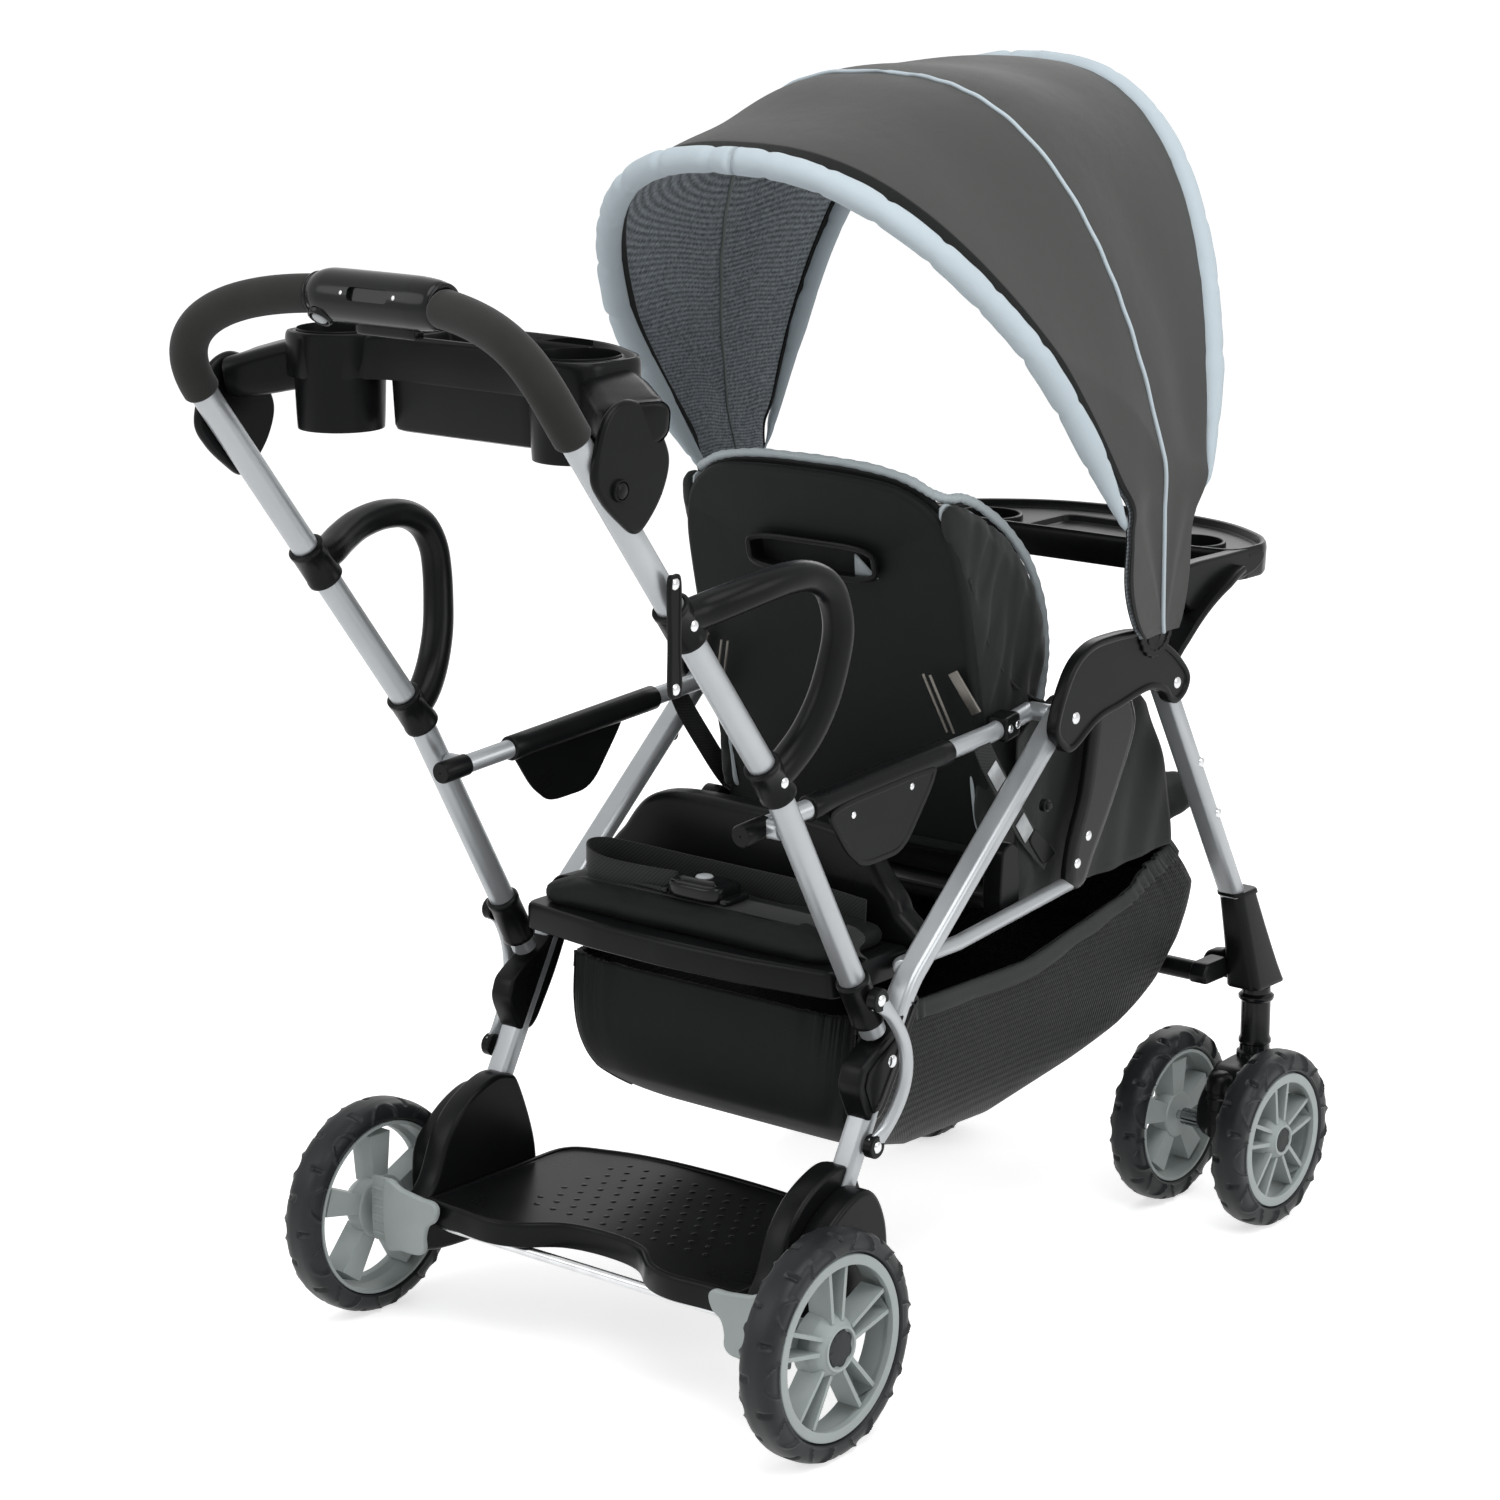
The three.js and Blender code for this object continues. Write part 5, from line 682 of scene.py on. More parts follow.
# Rail guards: satin black half sleeves clipped round the side rails, each with a flap outside whose border is raised,
# held by two small screws.
flap = cornered(shares([(0.95, 0.1), (0.8, -0.57), (0.68, -0.87), (0.39, -0.89), (0.18, -0.17), (0.14, 0.1)],
                       (-36, 0), 212, 72), 0.3, 7)
flap[:, 1] += rail_at(flap[:, 0]) - 9
for side, out in SIDES:
    line = mm([(181, y, rail_at(y)) for y in np.linspace(176, -36, 12)])
    sleeve = carried(line, circle(0.0121, 32), up=(1, 0, 0.01))
    sleeve = mirror(sleeve) if out < 0 else sleeve
    rows = facing(out, edges(190.6, 193.6, 1) + [(4.5, 193.6), (5.2, 193.1), (6, 192.9)])
    mould(pressed(f"guard_flap_{side}", (flap, rows, "x")), "rails", f"rail_guard_{side}")
    mould(skin(f"guard_sleeve_{side}", sleeve), "rails")
    put(rivet(f"guard_screws_{side}", mm([(out * 193, 122, rail_at(122) - 18), (out * 193, 34, rail_at(34) - 14)]),
              (out, 0, 0), 0.0036, 0.0012, 4, 14), bright, "rails", "plastic_black")
    cap = turned([(0.001, 0.0), (0.0095, 0.0), (0.0105, 0.0015), (0.0105, 0.034), (0.001, 0.034)], (0, 0, 0), 32)
    along = np.array([0, -1, 0.0625]) / math.hypot(1, 0.0625)
    cap = cap[..., 1:2] * [1, 0, 0] + cap[..., 2:3] * np.array([0, 0.0625, 1]) + cap[..., :1] * along
    mould(spun(f"rail_cap_{side}", cap + mm([out * 181, pivot_y + 32.5, rail_at(pivot_y + 32.5)])), "rails")
    pad = mm([(out * 181, -119, 580.4), (out * 181, -134, 583)])
    joint = carried(pad[[0, 0, 1, 1]] + [[0, 0.004, 0], [0, 0, 0], [0, 0, 0], [0, -0.004, 0]],
                    flattened(0.024, 0.024, 0.004), up=(1, 0, 0))
    mould(skin(f"rail_connector_{side}", joint), "rails")
    riveted("rails", f"rail_connector_rivets_{side}", mm([(out * 192.6, -122, 581), (out * 192.6, -134, 583.2)]),
            (out, 0, 0), 0.0045, 0.002)

# Rear bench: a black moulded pan between the lower rails with a high rounded upstand at its front.
pan = np.array([(190.6, 8), (190.6, 148), (95.3, 162), (0, 166), (-95.3, 162), (-190.6, 148), (-190.6, 8)])
half_hump = shares([(1, 0.0), (1, 0.34), (0.9, 0.56), (0.64, 0.95)], (0, 397), 180, 109)
hump = through(np.concatenate([half_hump, [(0, 506)], flip(half_hump)[::-1]]), 140)
hump[:, 1] = np.maximum(hump[:, 1], 397)
pan_rows = [(4, 376.2), (1, 376), (0, 377), (0, 396), (0.8, 399.4), (2.6, 401.4), (5, 402)]
mould(pressed("bench_pan_moulding", (cornered(pan, 0.12, 8), pan_rows, "z"), (hump, edges(8, 38, 9, 7), "y")),
      "rear_frame", "bench_pan")


# Handle sockets: black sleeves on the feet of the handle tube that the curved links close on. The links are thin bright
# tubes flattened into round eyes at both ends.
def sleeved(low, high, radius, lip):
    """A sleeve about a straight line: a radius carried from end to end, with a raised lip and a round edge at both."""
    low, high = np.asarray(low, float), np.asarray(high, float)
    t = np.array([0, 0.004, 0.03, 0.06, 0.12, 0.14, 0.86, 0.88, 0.94, 0.97, 0.996, 1])
    size = radius + np.array([-3.2e-3, -0.8e-3, lip, lip, lip, 0, 0, lip, lip, lip, -0.8e-3, -3.2e-3])
    rows = np.stack([circle(s, 36) for s in size])
    return carried(low + (high - low) * t[:, None], rows, up=(1, 0, 0), close=False)


link_low, link_high = np.array((147, 246.4)), np.array((on_stub(385), 385))
t = np.linspace(0, 1, 36)[:, None]
link_bow = np.array((254.65, (link_high[0] + link_low[0]) / 2 - 70, (link_high[1] + link_low[1]) / 2))
link_line = ((1 - t) ** 2 * np.array((236.65, *link_high)) + 2 * t * (1 - t) * link_bow
             + t ** 2 * np.array((236.65, *link_low)))
for side, out in SIDES:
    keep = [out, 1, 1]
    socket = sleeved(mm((TUBE_X, on_stub(357), 357)), mm((TUBE_X, on_stub(403), 403)), 0.0155, 0.0006)
    mould(crisp(skin(f"socket_{side}", socket * keep), 50), "handle", f"handle_socket_{side}")
    flat = 1 - 0.45 * np.clip(1 - np.minimum(np.arange(36), 35 - np.arange(36)) / 4, 0, 1)
    sections = np.stack([circle(0.00635, 24) * [1 / f, f] for f in flat])
    tube = carried(mm(link_line), sections, up=(1, 0, 0.01))
    eyes = [mm(turned([(0.001, 0), (0.0098, 0), (0.011, 0.0012), (0.011, 0.0095), (0.0098, 0.0107), (0.001, 0.0107)],
                      (0, 0, 0), 36) * 1000 * keep + [out * 231.3, y, z]) for y, z in (link_low, link_high)]
    put(crisp(skin(f"link_tube_{side}", tube * keep), 50), silver, "links", "tube_silver", f"curved_link_{side}")
    mould(spun(f"link_eyes_{side}", *eyes), "links")
    riveted("links", f"link_rivets_{side}", mm([(out * 241.8, *link_low), (out * 241.8, *link_high)]), (out, 0, 0),
            0.0058, 0.0024)

# Side grips: black moulded loops of an oval section, clamped to the handle tube by ribbed sleeves at both ends.
low_z, high_z = 611, 772
stations = [(TUBE_X, on_tube(high_z), high_z), (219, 370, 776), (229, 344, 783), (238, 314, 790), (242, 280, 794),
            (242, 249, 791), (242, 225, 778), (241, 212, 757), (240, 208, 733), (236, 211, 704), (231, 218, 675),
            (225, 232, 647), (219, 250, 626), (TUBE_X, on_tube(low_z), low_z)]
loop = drawn(stations, 64)
tube_y, tube_z = GRIP[0] - KNEE[0], GRIP[1] - KNEE[1]
direction = np.array([0, tube_y, tube_z]) / math.hypot(tube_y, tube_z)
for side, out in SIDES:
    keep = [out, 1, 1]
    waist = 1 - 0.1 * np.sin(np.linspace(0, math.pi, 64)) ** 2
    sections = np.stack([flattened(0.0292 * w, 0.0296 * w, 0.0128 * w, 8) for w in waist])
    grip_loop = carried(mm(loop), sections, up=(1, 0.3, 0.01))
    clamps = [sleeved(mm(np.array((TUBE_X, on_tube(z), z)) - direction * 21),
                      mm(np.array((TUBE_X, on_tube(z), z)) + direction * 21), 0.0164, 0.0006) for z in (769, 611)]
    mould(crisp(skin(f"side_grip_loop_{side}", grip_loop * keep, *[c * keep for c in clamps]), 50), "handle",
          f"side_grip_{side}")
    riveted("handle", f"side_grip_screws_{side}",
            mm([(out * 231.6, on_tube(769), 769), (out * 231.6, on_tube(611), 611)]), (out, 0, 0), 0.005, 0.0016)


# The one hand fold: a glossy barrel on the crossbar with a slot, a grey button in a raised collar and a pull trigger
# below. The foam sleeves run from it over both shoulders.
def holed(piece, cutters):
    """Takes the inside of each cutter, a closed piece, out of a piece and drops the cutter."""
    for cutter in cutters:
        cut = piece.modifiers.new("cut", "BOOLEAN")
        cut.operation, cut.object, cut.solver = "DIFFERENCE", cutter, "EXACT"
    graph = bpy.context.evaluated_depsgraph_get()
    mesh = bpy.data.meshes.new_from_object(piece.evaluated_get(graph))
    piece.modifiers.clear()
    piece.data = mesh
    for cutter in cutters:
        bpy.data.objects.remove(cutter)
    return crisp(rounded(piece), 34)


foam = finish("closed_cell_foam", (0.020, 0.0195, 0.0185), 0.85, grain=700, depth=0.00025, strength=0.55, shade=0.15,
              patch=30, sheen=0.12, specular=0.2)
grey_button = finish("grey_button", (0.42, 0.44, 0.45), 0.35, grain=1800, depth=0.00002, strength=0.2, shade=0.06)
bar = np.array((528.0, 1036.0))
barrel = drawn([(61.6, 15.5), (60.6, 17.6), (57.5, 19.4), (48, 22.2), (30, 23), (-41, 23), (-62, 22.4), (-77, 20.6),
                (-81, 18.2), (-82, 16)], 60)
console = turned(np.stack([barrel[:, 1], barrel[:, 0]], 1) / 1000, (0, 0, 0), 64)
slot_way = np.array([0, math.cos(0.27), math.sin(0.27)])
slot = carried(mm((-16, *bar)) + slot_way * np.linspace(0.0192, 0.03, 6)[:, None],
               flattened(0.046, 0.0115, 0.0035, 6), up=(0, -0.27, 0.96), close=False)
barrel_piece = holed(filled(skin("console_barrel", console + mm((0, *bar)), along=True, around=False)),
                     [filled(skin("console_slot", slot))])
put(barrel_piece, glossy, "handle", "plastic_gloss", "console")
riveted("handle", "console_screws", mm([(14, *bar), (-46, *bar)]) + slot_way * 0.0226, slot_way, 0.0026, 0.0011)
button_way = np.array([0, 0.64, -0.77]) / math.hypot(0.64, 0.77)


def about(way, profile, centre, count=40):
    """A profile of (radius, outward) in metres turned about a line through centre that looks along `way`."""
    way = np.asarray(way, float) / np.linalg.norm(way)
    side = np.cross(way, [1.0, 0.02, 0.01]) if abs(way[0]) < 0.9 else np.cross(way, [0, 0, 1.0])
    side /= np.linalg.norm(side)
    over = np.cross(way, side)
    profile = np.asarray(profile, float)
    turn = (np.arange(count) / count * 2 * math.pi)[:, None, None]
    outwards = side * np.cos(turn) + over * np.sin(turn)
    return np.asarray(centre) + profile[None, :, :1] * outwards + profile[None, :, 1:] * way


centre = mm((46, *bar))
collar = about(button_way, [(0.0086, 0.021), (0.0086, 0.0245), (0.0096, 0.0252), (0.0108, 0.0246), (0.0116, 0.0205)],
               centre, 48)
put(skin("button_collar", collar, along=True, around=False), glossy, "handle", "plastic_gloss")
cap = about(button_way, [(0.0001, 0.0262), (0.003, 0.0261), (0.0055, 0.0255), (0.0068, 0.0243), (0.007, 0.023),
                         (0.007, 0.0165)], centre, 40)
put(skin("fold_button_cap", cap, along=True, around=False), grey_button, "fold_button", "button_grey", "fold_button")
trigger = cornered([(-54, 520.6), (14, 520.6), (14, 535.4), (-54, 535.4)], 0.2, 6)
put(pressed("fold_trigger_bar", (trigger, edges(1006.2, 1017.4, 2.4), "z")), glossy, "fold_trigger", "plastic_gloss",
    "fold_trigger")
for side, out in SIDES:
    end = 62 if out > 0 else 82.4
    run = np.concatenate([shoulder[shoulder[:, 0] > end / 1000 + 0.003],
                          mm([(end, *(bar if out > 0 else (531, 1036)))])])
    sections = np.stack([circle(0.0165, 40)] * len(run))
    sleeve = carried(run, sections, up=(0, -0.82, 0.57))
    put(skin(f"foam_sleeve_{side}", sleeve * [out, 1, 1]), foam, "handle", "foam_black", f"foam_grip_{side}")
put(skin("foam_collars", about((1, 0, 0), [(0.013, -0.0835), (0.0185, -0.0835), (0.0192, -0.083), (0.0185, -0.0805),
                                           (0.013, -0.0805)], mm((0, *bar)), 48),
         about((1, 0, 0), [(0.013, 0.0605), (0.0182, 0.0605), (0.0188, 0.0625), (0.0182, 0.064), (0.013, 0.064)],
               mm((0, *bar)), 48), along=True), glossy, "handle", "plastic_gloss")

# Storage latch: a flat black hook that hangs from a rivet on the right tube.
latch_y = on_tube(810)
latch = through([(latch_y - 7.5, 811), (latch_y, 817.5), (latch_y + 7.5, 811), (latch_y + 7, 760),
                 (latch_y + 7.5, 719), (latch_y, 713.5), (latch_y - 7.5, 719), (latch_y - 7, 760)], 90)
latch_rows = [(i, -x) for i, x in edges(233, 238, 1.3)] + [(2.8, -238), (3.4, -237.2), (4, -237.2)]
mould(pressed("latch_strap", (latch, latch_rows, "x")), "storage_latch", "storage_latch")
riveted("storage_latch", "latch_rivet", mm([(-237, latch_y, 810), (-237, latch_y, 721)]), (-1, 0, 0), 0.0055, 0.0024)


# Parent tray: a black moulded tray with two deep cup holders, a dished bin between them and an arm to an ear on each
# tube.
def well(centre, radius, low, high, draft):
    """A cup in a tray: a turned wall with a floor, a rounded lip that stands on the tray, and an outside that narrows
    by draft towards its foot."""
    r, d, wall, count = radius, draft, 4, 64
    rows = [(0.01, low + wall), (r - d - 4, low + wall), (r - d - 1.2, low + wall + 1.2), (r - d, low + wall + 4),
            (r - 0.3, high - 3), (r, high - 1), (r + 0.6, high + 0.5), (r + wall / 2, high + 1),
            (r + wall - 0.6, high + 0.5), (r + wall, high - 1), (r + wall, high - 8), (r + wall - d, low + 6),
            (r + wall - d - 1.5, low + 1.6), (r + wall - d - 6, low), (0.01, low)]
    table = drawn(rows, 90)
    table[:, 0] = np.maximum(table[:, 0], 0.01)
    turn = (np.arange(count) / count * 2 * math.pi)[:, None]
    return mm(np.stack([centre[0] + table[:, 0] * np.cos(turn), centre[1] + table[:, 0] * np.sin(turn),
                        table[:, 1] + 0 * turn], 2))


def drum(centre, radius, low, high):
    """A plain upright cylinder in mm, as a form for pressed()."""
    turn = np.linspace(0, 2 * math.pi, 64, endpoint=False)
    line = np.stack([centre[0] + radius * np.cos(turn), centre[1] + radius * np.sin(turn)], 1)
    return (line, [(0, low), (0, high)], "z")


half_tray = shares([(0.5, 0.06), (0.8, 0.25), (0.98, 0.44), (1, 0.7), (0.97, 0.91), (0.8, 1), (0.6, 0.9),
                    (0.47, 0.7)], (0, 335), 181, 136)
tray = through(both((0, 335), half_tray, (0, 427.5)), 260)
tray_rows = [(4.5, 952), (1.2, 950.4), (0, 952.5), (0, 984), (0.6, 987.6), (2, 989.6), (3.8, 990), (5.4, 989.2),
             (6.4, 987), (7.2, 983.8), (9, 983)]
shell = pressed("parent_tray_top", (tray, tray_rows, "z"))
bin_line = cornered([(84, 343), (84, 423), (-84, 423), (-84, 343)], 0.1, 7)
cups = ((138, 430), (-138, 430))
shell = holed(shell, [*[pressed(f"cup_hole_{k}", drum(place, 37.6, 940, 1000)) for k, place in zip("ab", cups)],
                      pressed("bin_hole", (offset(bin_line, -0.5), [(0, 940), (0, 1000)], "z"))])
bin_rows = [(14, 905), (6, 905.2), (1.5, 907), (-0.5, 911), (-4, 982), (-4, 983.5), (-3.4, 984.8), (-1.6, 985.2),
            (0, 984.2), (1, 981), (4, 914), (6, 910.5), (9, 909), (16, 909)]
ear = through([(517, 908), (510, 938), (497, 960), (474, 968), (450, 958), (434, 938), (424, 914), (432, 888),
               (450, 866), (466, 857), (484, 868), (505, 887)], 160)
neck = drawn([(138, 424, 962), (162, 428, 961), (186, 438, 957), (206, 450, 952), (221, 459, 948), (231, 463, 946)],
             40)
steps = np.arange(40)
neck_wide, neck_high = np.interp(steps, [0, 20, 39], [56, 60, 64]), np.interp(steps, [0, 20, 39], [46, 42, 36])
ears = [(ear, facing(out, edges(225.5, 234.6, 4.2, 7)), "x") for out in (1, -1)]
necks = [carried(mm(neck), np.stack([flattened(w / 1000, h / 1000, 0.013, 7) for w, h in zip(neck_wide, neck_high)]),
                 up=(0, 0, 1)) * [out, 1, 1] for out in (1, -1)]
mould(shell, "handle", "parent_tray")
mould(pressed("parent_tray_ears", *ears), "handle")
mould(crisp(skin("parent_tray_necks", *necks), 50), "handle")
mould(pressed("parent_tray_bin", (bin_line, bin_rows, "z")), "handle")
mould(skin("parent_tray_cups", *[well(place, 37, 905, 989.5, draft=2.5) for place in cups], along=True, around=False),
      "handle")
for side, out in SIDES:
    knob = about((out, 0, 0), [(0.0001, 0.0052), (0.0055, 0.005), (0.0066, 0.0044), (0.0072, 0.003), (0.0078, 0.0046),
                               (0.0088, 0.0046), (0.0094, 0.003), (0.0096, 0)], mm((out * 233.2, on_tube(896), 896)),
                 40)
    mould(spun(f"parent_tray_stud_{side}", knob, degrees=50), "handle")

# Child tray: a bow fronted black tray with a raised rim, two cup holders and a centre recess, a deep moulded cheek at
# each end and an arm down to each fold hub.
half_child = shares([(0.6, 1), (0.92, 0.96), (1, 0.8), (0.98, 0.56), (0.82, 0.32), (0.48, 0.08)], (0, -652), 206, 163)
child = through(both((0, -489), half_child, (0, -652)), 260)
child = np.clip(child, [-206, -700], [206, -400])
child_rows = [(7, 668), (2.6, 667), (0.8, 670), (0, 693), (0.8, 697.6), (2.4, 699.8), (4.6, 700), (6.6, 699),
              (8, 696.4), (9, 693), (11, 692)]
deck = pressed("child_tray_top", (child, child_rows, "z"))
recess = cornered([(72, -504), (72, -600), (-72, -600), (-72, -504)], 0.16, 8)
cups = ((128, -528), (-128, -528))
deck = holed(deck, [*[pressed(f"child_hole_{k}", drum(place, 35.6, 660, 720)) for k, place in zip("ab", cups)],
                    pressed("child_recess", (offset(recess, -0.4), [(0, 660), (0, 720)], "z"))])
recess_rows = [(10, 682), (2, 682), (-0.8, 684.5), (-3.6, 691.6), (-3.4, 693), (-1.6, 693.4), (0.4, 692.6), (3, 687),
               (6, 685.4), (14, 685.2)]
mould(deck, "child_tray", "child_tray")
mould(pressed("child_tray_recess", (recess, recess_rows, "z")), "child_tray")
mould(skin("child_tray_cups", *[well(place, 35, 642, 696.6, draft=2) for place in cups], along=True, around=False),
      "child_tray")
spine = drawn([LEG_TOP, (-368, 603), (-392, 622), (-418, 644), (-446, 662), (-478, 676), (-500, 682)], 40)
cheek = through([(-404, 694), (-399, 676), (-408, 656), (-426, 650), (-462, 664), (-506, 668), (-538, 674),
                 (-552, 684), (-551, 694), (-535, 698.5), (-480, 699), (-420, 699)], 140)
for side, out in SIDES:
    wide = np.interp(np.arange(40), [0, 12, 30, 39], [29, 29, 38, 30])
    arm = carried(mm(np.insert(spine, 0, out * 201.5, axis=1)),
                  np.stack([flattened(w / 1000, 0.0076, 0.003, 6)[:, ::-1] for w in wide]), up=(1, 0, 0))
    mould(crisp(skin(f"child_tray_arm_{side}", arm), 50), "child_tray")
    rows = facing(out, edges(190, 205.8, 3.4, 6))
    mould(pressed(f"child_tray_cheek_{side}", (cheek, rows, "x")), "child_tray")

# Caster housings: black mouldings that take the toes of the front legs, with the footrest bar between them; each caster
# below is one moulding of stem, ribbed collars and a swept fork on the axle of its two wheels.
lug = cornered([(-516, 243), (-472, 243), (-468, 254), (-476, 265), (-516, 265)], 0.2, 5)
lugs = [(lug, facing(out, edges(180, 200, 2.5)), "x") for out in (1, -1)]
mould(pressed("caster_lugs", *lugs), "front_legs")
rise = np.array([0, 0.006, 0.02, 0.05, 0.2, 0.4, 0.6, 0.8, 0.93, 0.945, 0.95, 0.985, 0.995, 1])
grow = np.array([-3, -0.8, 0, 0, 0, 0, 0, 0, 0, 0, 1.6, 1.6, 0.8, -2]) / 1000
cuffs = []
for out in (1, -1):
    half_x, half_y = 0.0205 - 0.0062 * rise ** 0.8 + grow, 0.0305 - 0.0125 * rise ** 0.7 + grow
    sections = np.stack([flattened(2 * w, 2 * d, 0.0092, 8) for w, d in zip(half_x, half_y)])
    middle = mm(np.stack([np.full(14, out * 215.5), -545.5 + 43.5 * rise, 231.6 + 113.6 * rise], 1))
    cuffs.append(middle[:, None] + np.concatenate([sections, np.zeros_like(sections[..., :1])], -1))
mould(filled(crisp(skin("caster_cuffs", *cuffs), 40)), "front_legs", "footrest_bar")
gusset = through([(220, 298), (204, 296), (197, 281), (186, 268), (167, 262), (165, 242), (204, 237), (222, 238)], 90)
mould(pressed("caster_gussets", *[(gusset * [out, 1], edges(-543, -521, 5), "y") for out in (1, -1)]), "front_legs")
bar_line = mm([(x, -482, 253.3) for x in np.concatenate([[-190], np.linspace(-188, 188, 30), [190]])])
mould(skin("footrest_tube", carried(bar_line, circle(0.0105, 32), up=(0, 0, 1))), "front_legs")
fork = cornered(shares([(-0.84, 0.78), (-0.51, 0.78), (-0.17, 0.75), (0.14, 0.33), (0.16, -0.01), (0, -0.22),
                        (-0.17, -0.17), (-0.51, 0.33), (-0.8, 0.59)], CASTER_AXLE, 98, 76), 0.32, 8)
for side, out in SIDES:
    middle = out * 216.5
    rows = [(i, middle + x) for i, x in edges(-21, 21, 5)]
    mould(pressed(f"fork_{side}", (fork, rows, "x")), f"caster_{side}", f"caster_fork_{side}")
    stem = about((0, 0, 1), [(0.0001, 0.0925), (0.012, 0.0925), (0.0148, 0.091), (0.0152, 0.086), (0.0152, 0.0845),
                             (0.0172, 0.083), (0.0188, 0.0815), (0.0188, 0.0785), (0.0174, 0.0765), (0.0155, 0.0755),
                             (0.0155, 0.037), (0.0172, 0.0335), (0.0172, 0.030), (0.016, 0.0285), (0.016, 0.0215),
                             (0.019, 0.0195), (0.0192, 0.0125), (0.0205, 0.0105), (0.0205, 0.0015), (0.019, 0),
                             (0.0001, 0)], mm((middle, -546, 138.0)), 56)
    spring = about((0, 0, 1), [(0.0001, 0.0705), (0.008, 0.0695), (0.0125, 0.066), (0.0148, 0.06), (0.015, 0.05),
                               (0.0138, 0.0485), (0.0138, 0.0445), (0.015, 0.043), (0.015, 0.032), (0.0138, 0.0305),
                               (0.0138, 0.0265), (0.015, 0.025), (0.015, 0.004), (0.012, 0), (0.0001, 0)],
                   mm((middle, -480, 80.0)), 48)
    put(spun(f"caster_stem_{side}", stem, degrees=38), glossy, f"caster_{side}", "plastic_black")
    mould(spun(f"caster_boss_{side}", spring, degrees=38), f"caster_{side}")
    axle = [carried(mm([(middle + x, *CASTER_AXLE) for x in (-75, -74, 74, 75)]), circle(0.005, 20)),
            carried(mm([(middle + x, *CASTER_AXLE) for x in (-43.8, -43, 43, 43.8)]), circle(0.009, 28))]
    put(skin(f"caster_axle_{side}", *axle), bright, f"caster_{side}", "tube_silver")


# Canopy: one sheet of dark grey cloth stretched over three bows that turn about one pivot at each fold hub, drawn to a
# rounded pocket there, with pale piping on the middle seam, a black binding behind and a heather lining under it.
def cloth(name, colour, weave=0.0016, deep=0.00012, rough=0.85, sheen=0.35, shade=0.12, folds=22.0, fold_depth=0.0008,
          second=None):
    """Woven cloth: crossed waves of the yarn at `weave` metres in the bump, slow creases under them, patches of lighter
    and darker yarn in the colour. `second` is the colour of the weft where the two differ, as in a heather cloth."""
    material, tree, base = fresh(name)
    dial(tree, base, {"Sheen Weight": sheen, "Sheen Roughness": 0.45, "Specular IOR Level": 0.14})
    where = shader(tree, "TexCoord").outputs["Object"]

    def calc(kind, *values):
        """The output of a sum or a wave of other outputs."""
        return shader(tree, "Math", dict(enumerate(values)), operation=kind).outputs[0]
    x, y, z = shader(tree, "SeparateXYZ", {0: where}).outputs
    turns, slant = 2 * math.pi / weave, calc("MULTIPLY", y, 0.8)
    warp = calc("SINE", calc("MULTIPLY", calc("ADD", x, slant), turns))
    weft = calc("SINE", calc("MULTIPLY", calc("SUBTRACT", z, slant), turns))
    crossed = calc("MULTIPLY", warp, weft)
    fine, slow, crease = [shader(tree, "TexNoise", {"Scale": scale, "Detail": detail, "Vector": where}).outputs["Fac"]
                          for scale, detail in ((1 / weave, 2), (14, 4), (folds, 3))]
    dark, light = [(*[min(1, v * tint) for v in colour], 1) for tint in (1 - shade, 1 + shade)]
    result = shader(tree, "Mix", {"A": dark, "B": light, "Factor": slow}, data_type="RGBA").outputs["Result"]
    if second is not None:
        speck = calc("MULTIPLY_ADD", crossed, 0.42, calc("MULTIPLY_ADD", fine, 1.3, -0.25))
        speck = calc("MINIMUM", calc("MAXIMUM", speck, 0.0), 1.0)
        result = shader(tree, "Mix", {"B": (*second, 1), "A": result, "Factor": speck},
                        data_type="RGBA").outputs["Result"]
    spread = shader(tree, "MapRange", {"To Min": rough - 0.06, "To Max": rough + 0.06, "Value": slow})
    sag = shader(tree, "Bump", {"Strength": 0.6, "Distance": fold_depth, "Height": crease})
    yarn = shader(tree, "Bump", {"Strength": 0.5, "Distance": deep, "Height": crossed,
                                 "Normal": sag.outputs["Normal"]})
    dial(tree, base, {"Base Color": result, "Roughness": spread.outputs["Result"], "Normal": yarn.outputs["Normal"]})
    return material


hood = cloth("hood_cloth", (0.063, 0.064, 0.062), weave=0.0012, rough=0.68, sheen=0.12, shade=0.06, folds=30,
             fold_depth=0.0016)
lining = cloth("heather_lining", (0.075, 0.085, 0.096), weave=0.0036, deep=0.0003, sheen=0.15,
               second=(0.40, 0.44, 0.475), shade=0.1)
binding = cloth("black_binding", (0.007, 0.0075, 0.0075), weave=0.001, rough=0.8, sheen=0.08)
pale = cloth("pale_padded_trim", (0.50, 0.575, 0.62), weave=0.0016, deep=0.00008, rough=0.8, sheen=0.15, shade=0.05,
             folds=60, fold_depth=0.0014)
green_tape = cloth("grey_green_tape", (0.16, 0.19, 0.18), weave=0.001)
pivot = np.array(CANOPY_HUB)
bows = np.array([(51.4, 594, 291.5, 2.52, 0.64), (74.7, 549, 272.5, 2.71, 0.33), (102.2, 542, 275, 2.49, 0.28)])


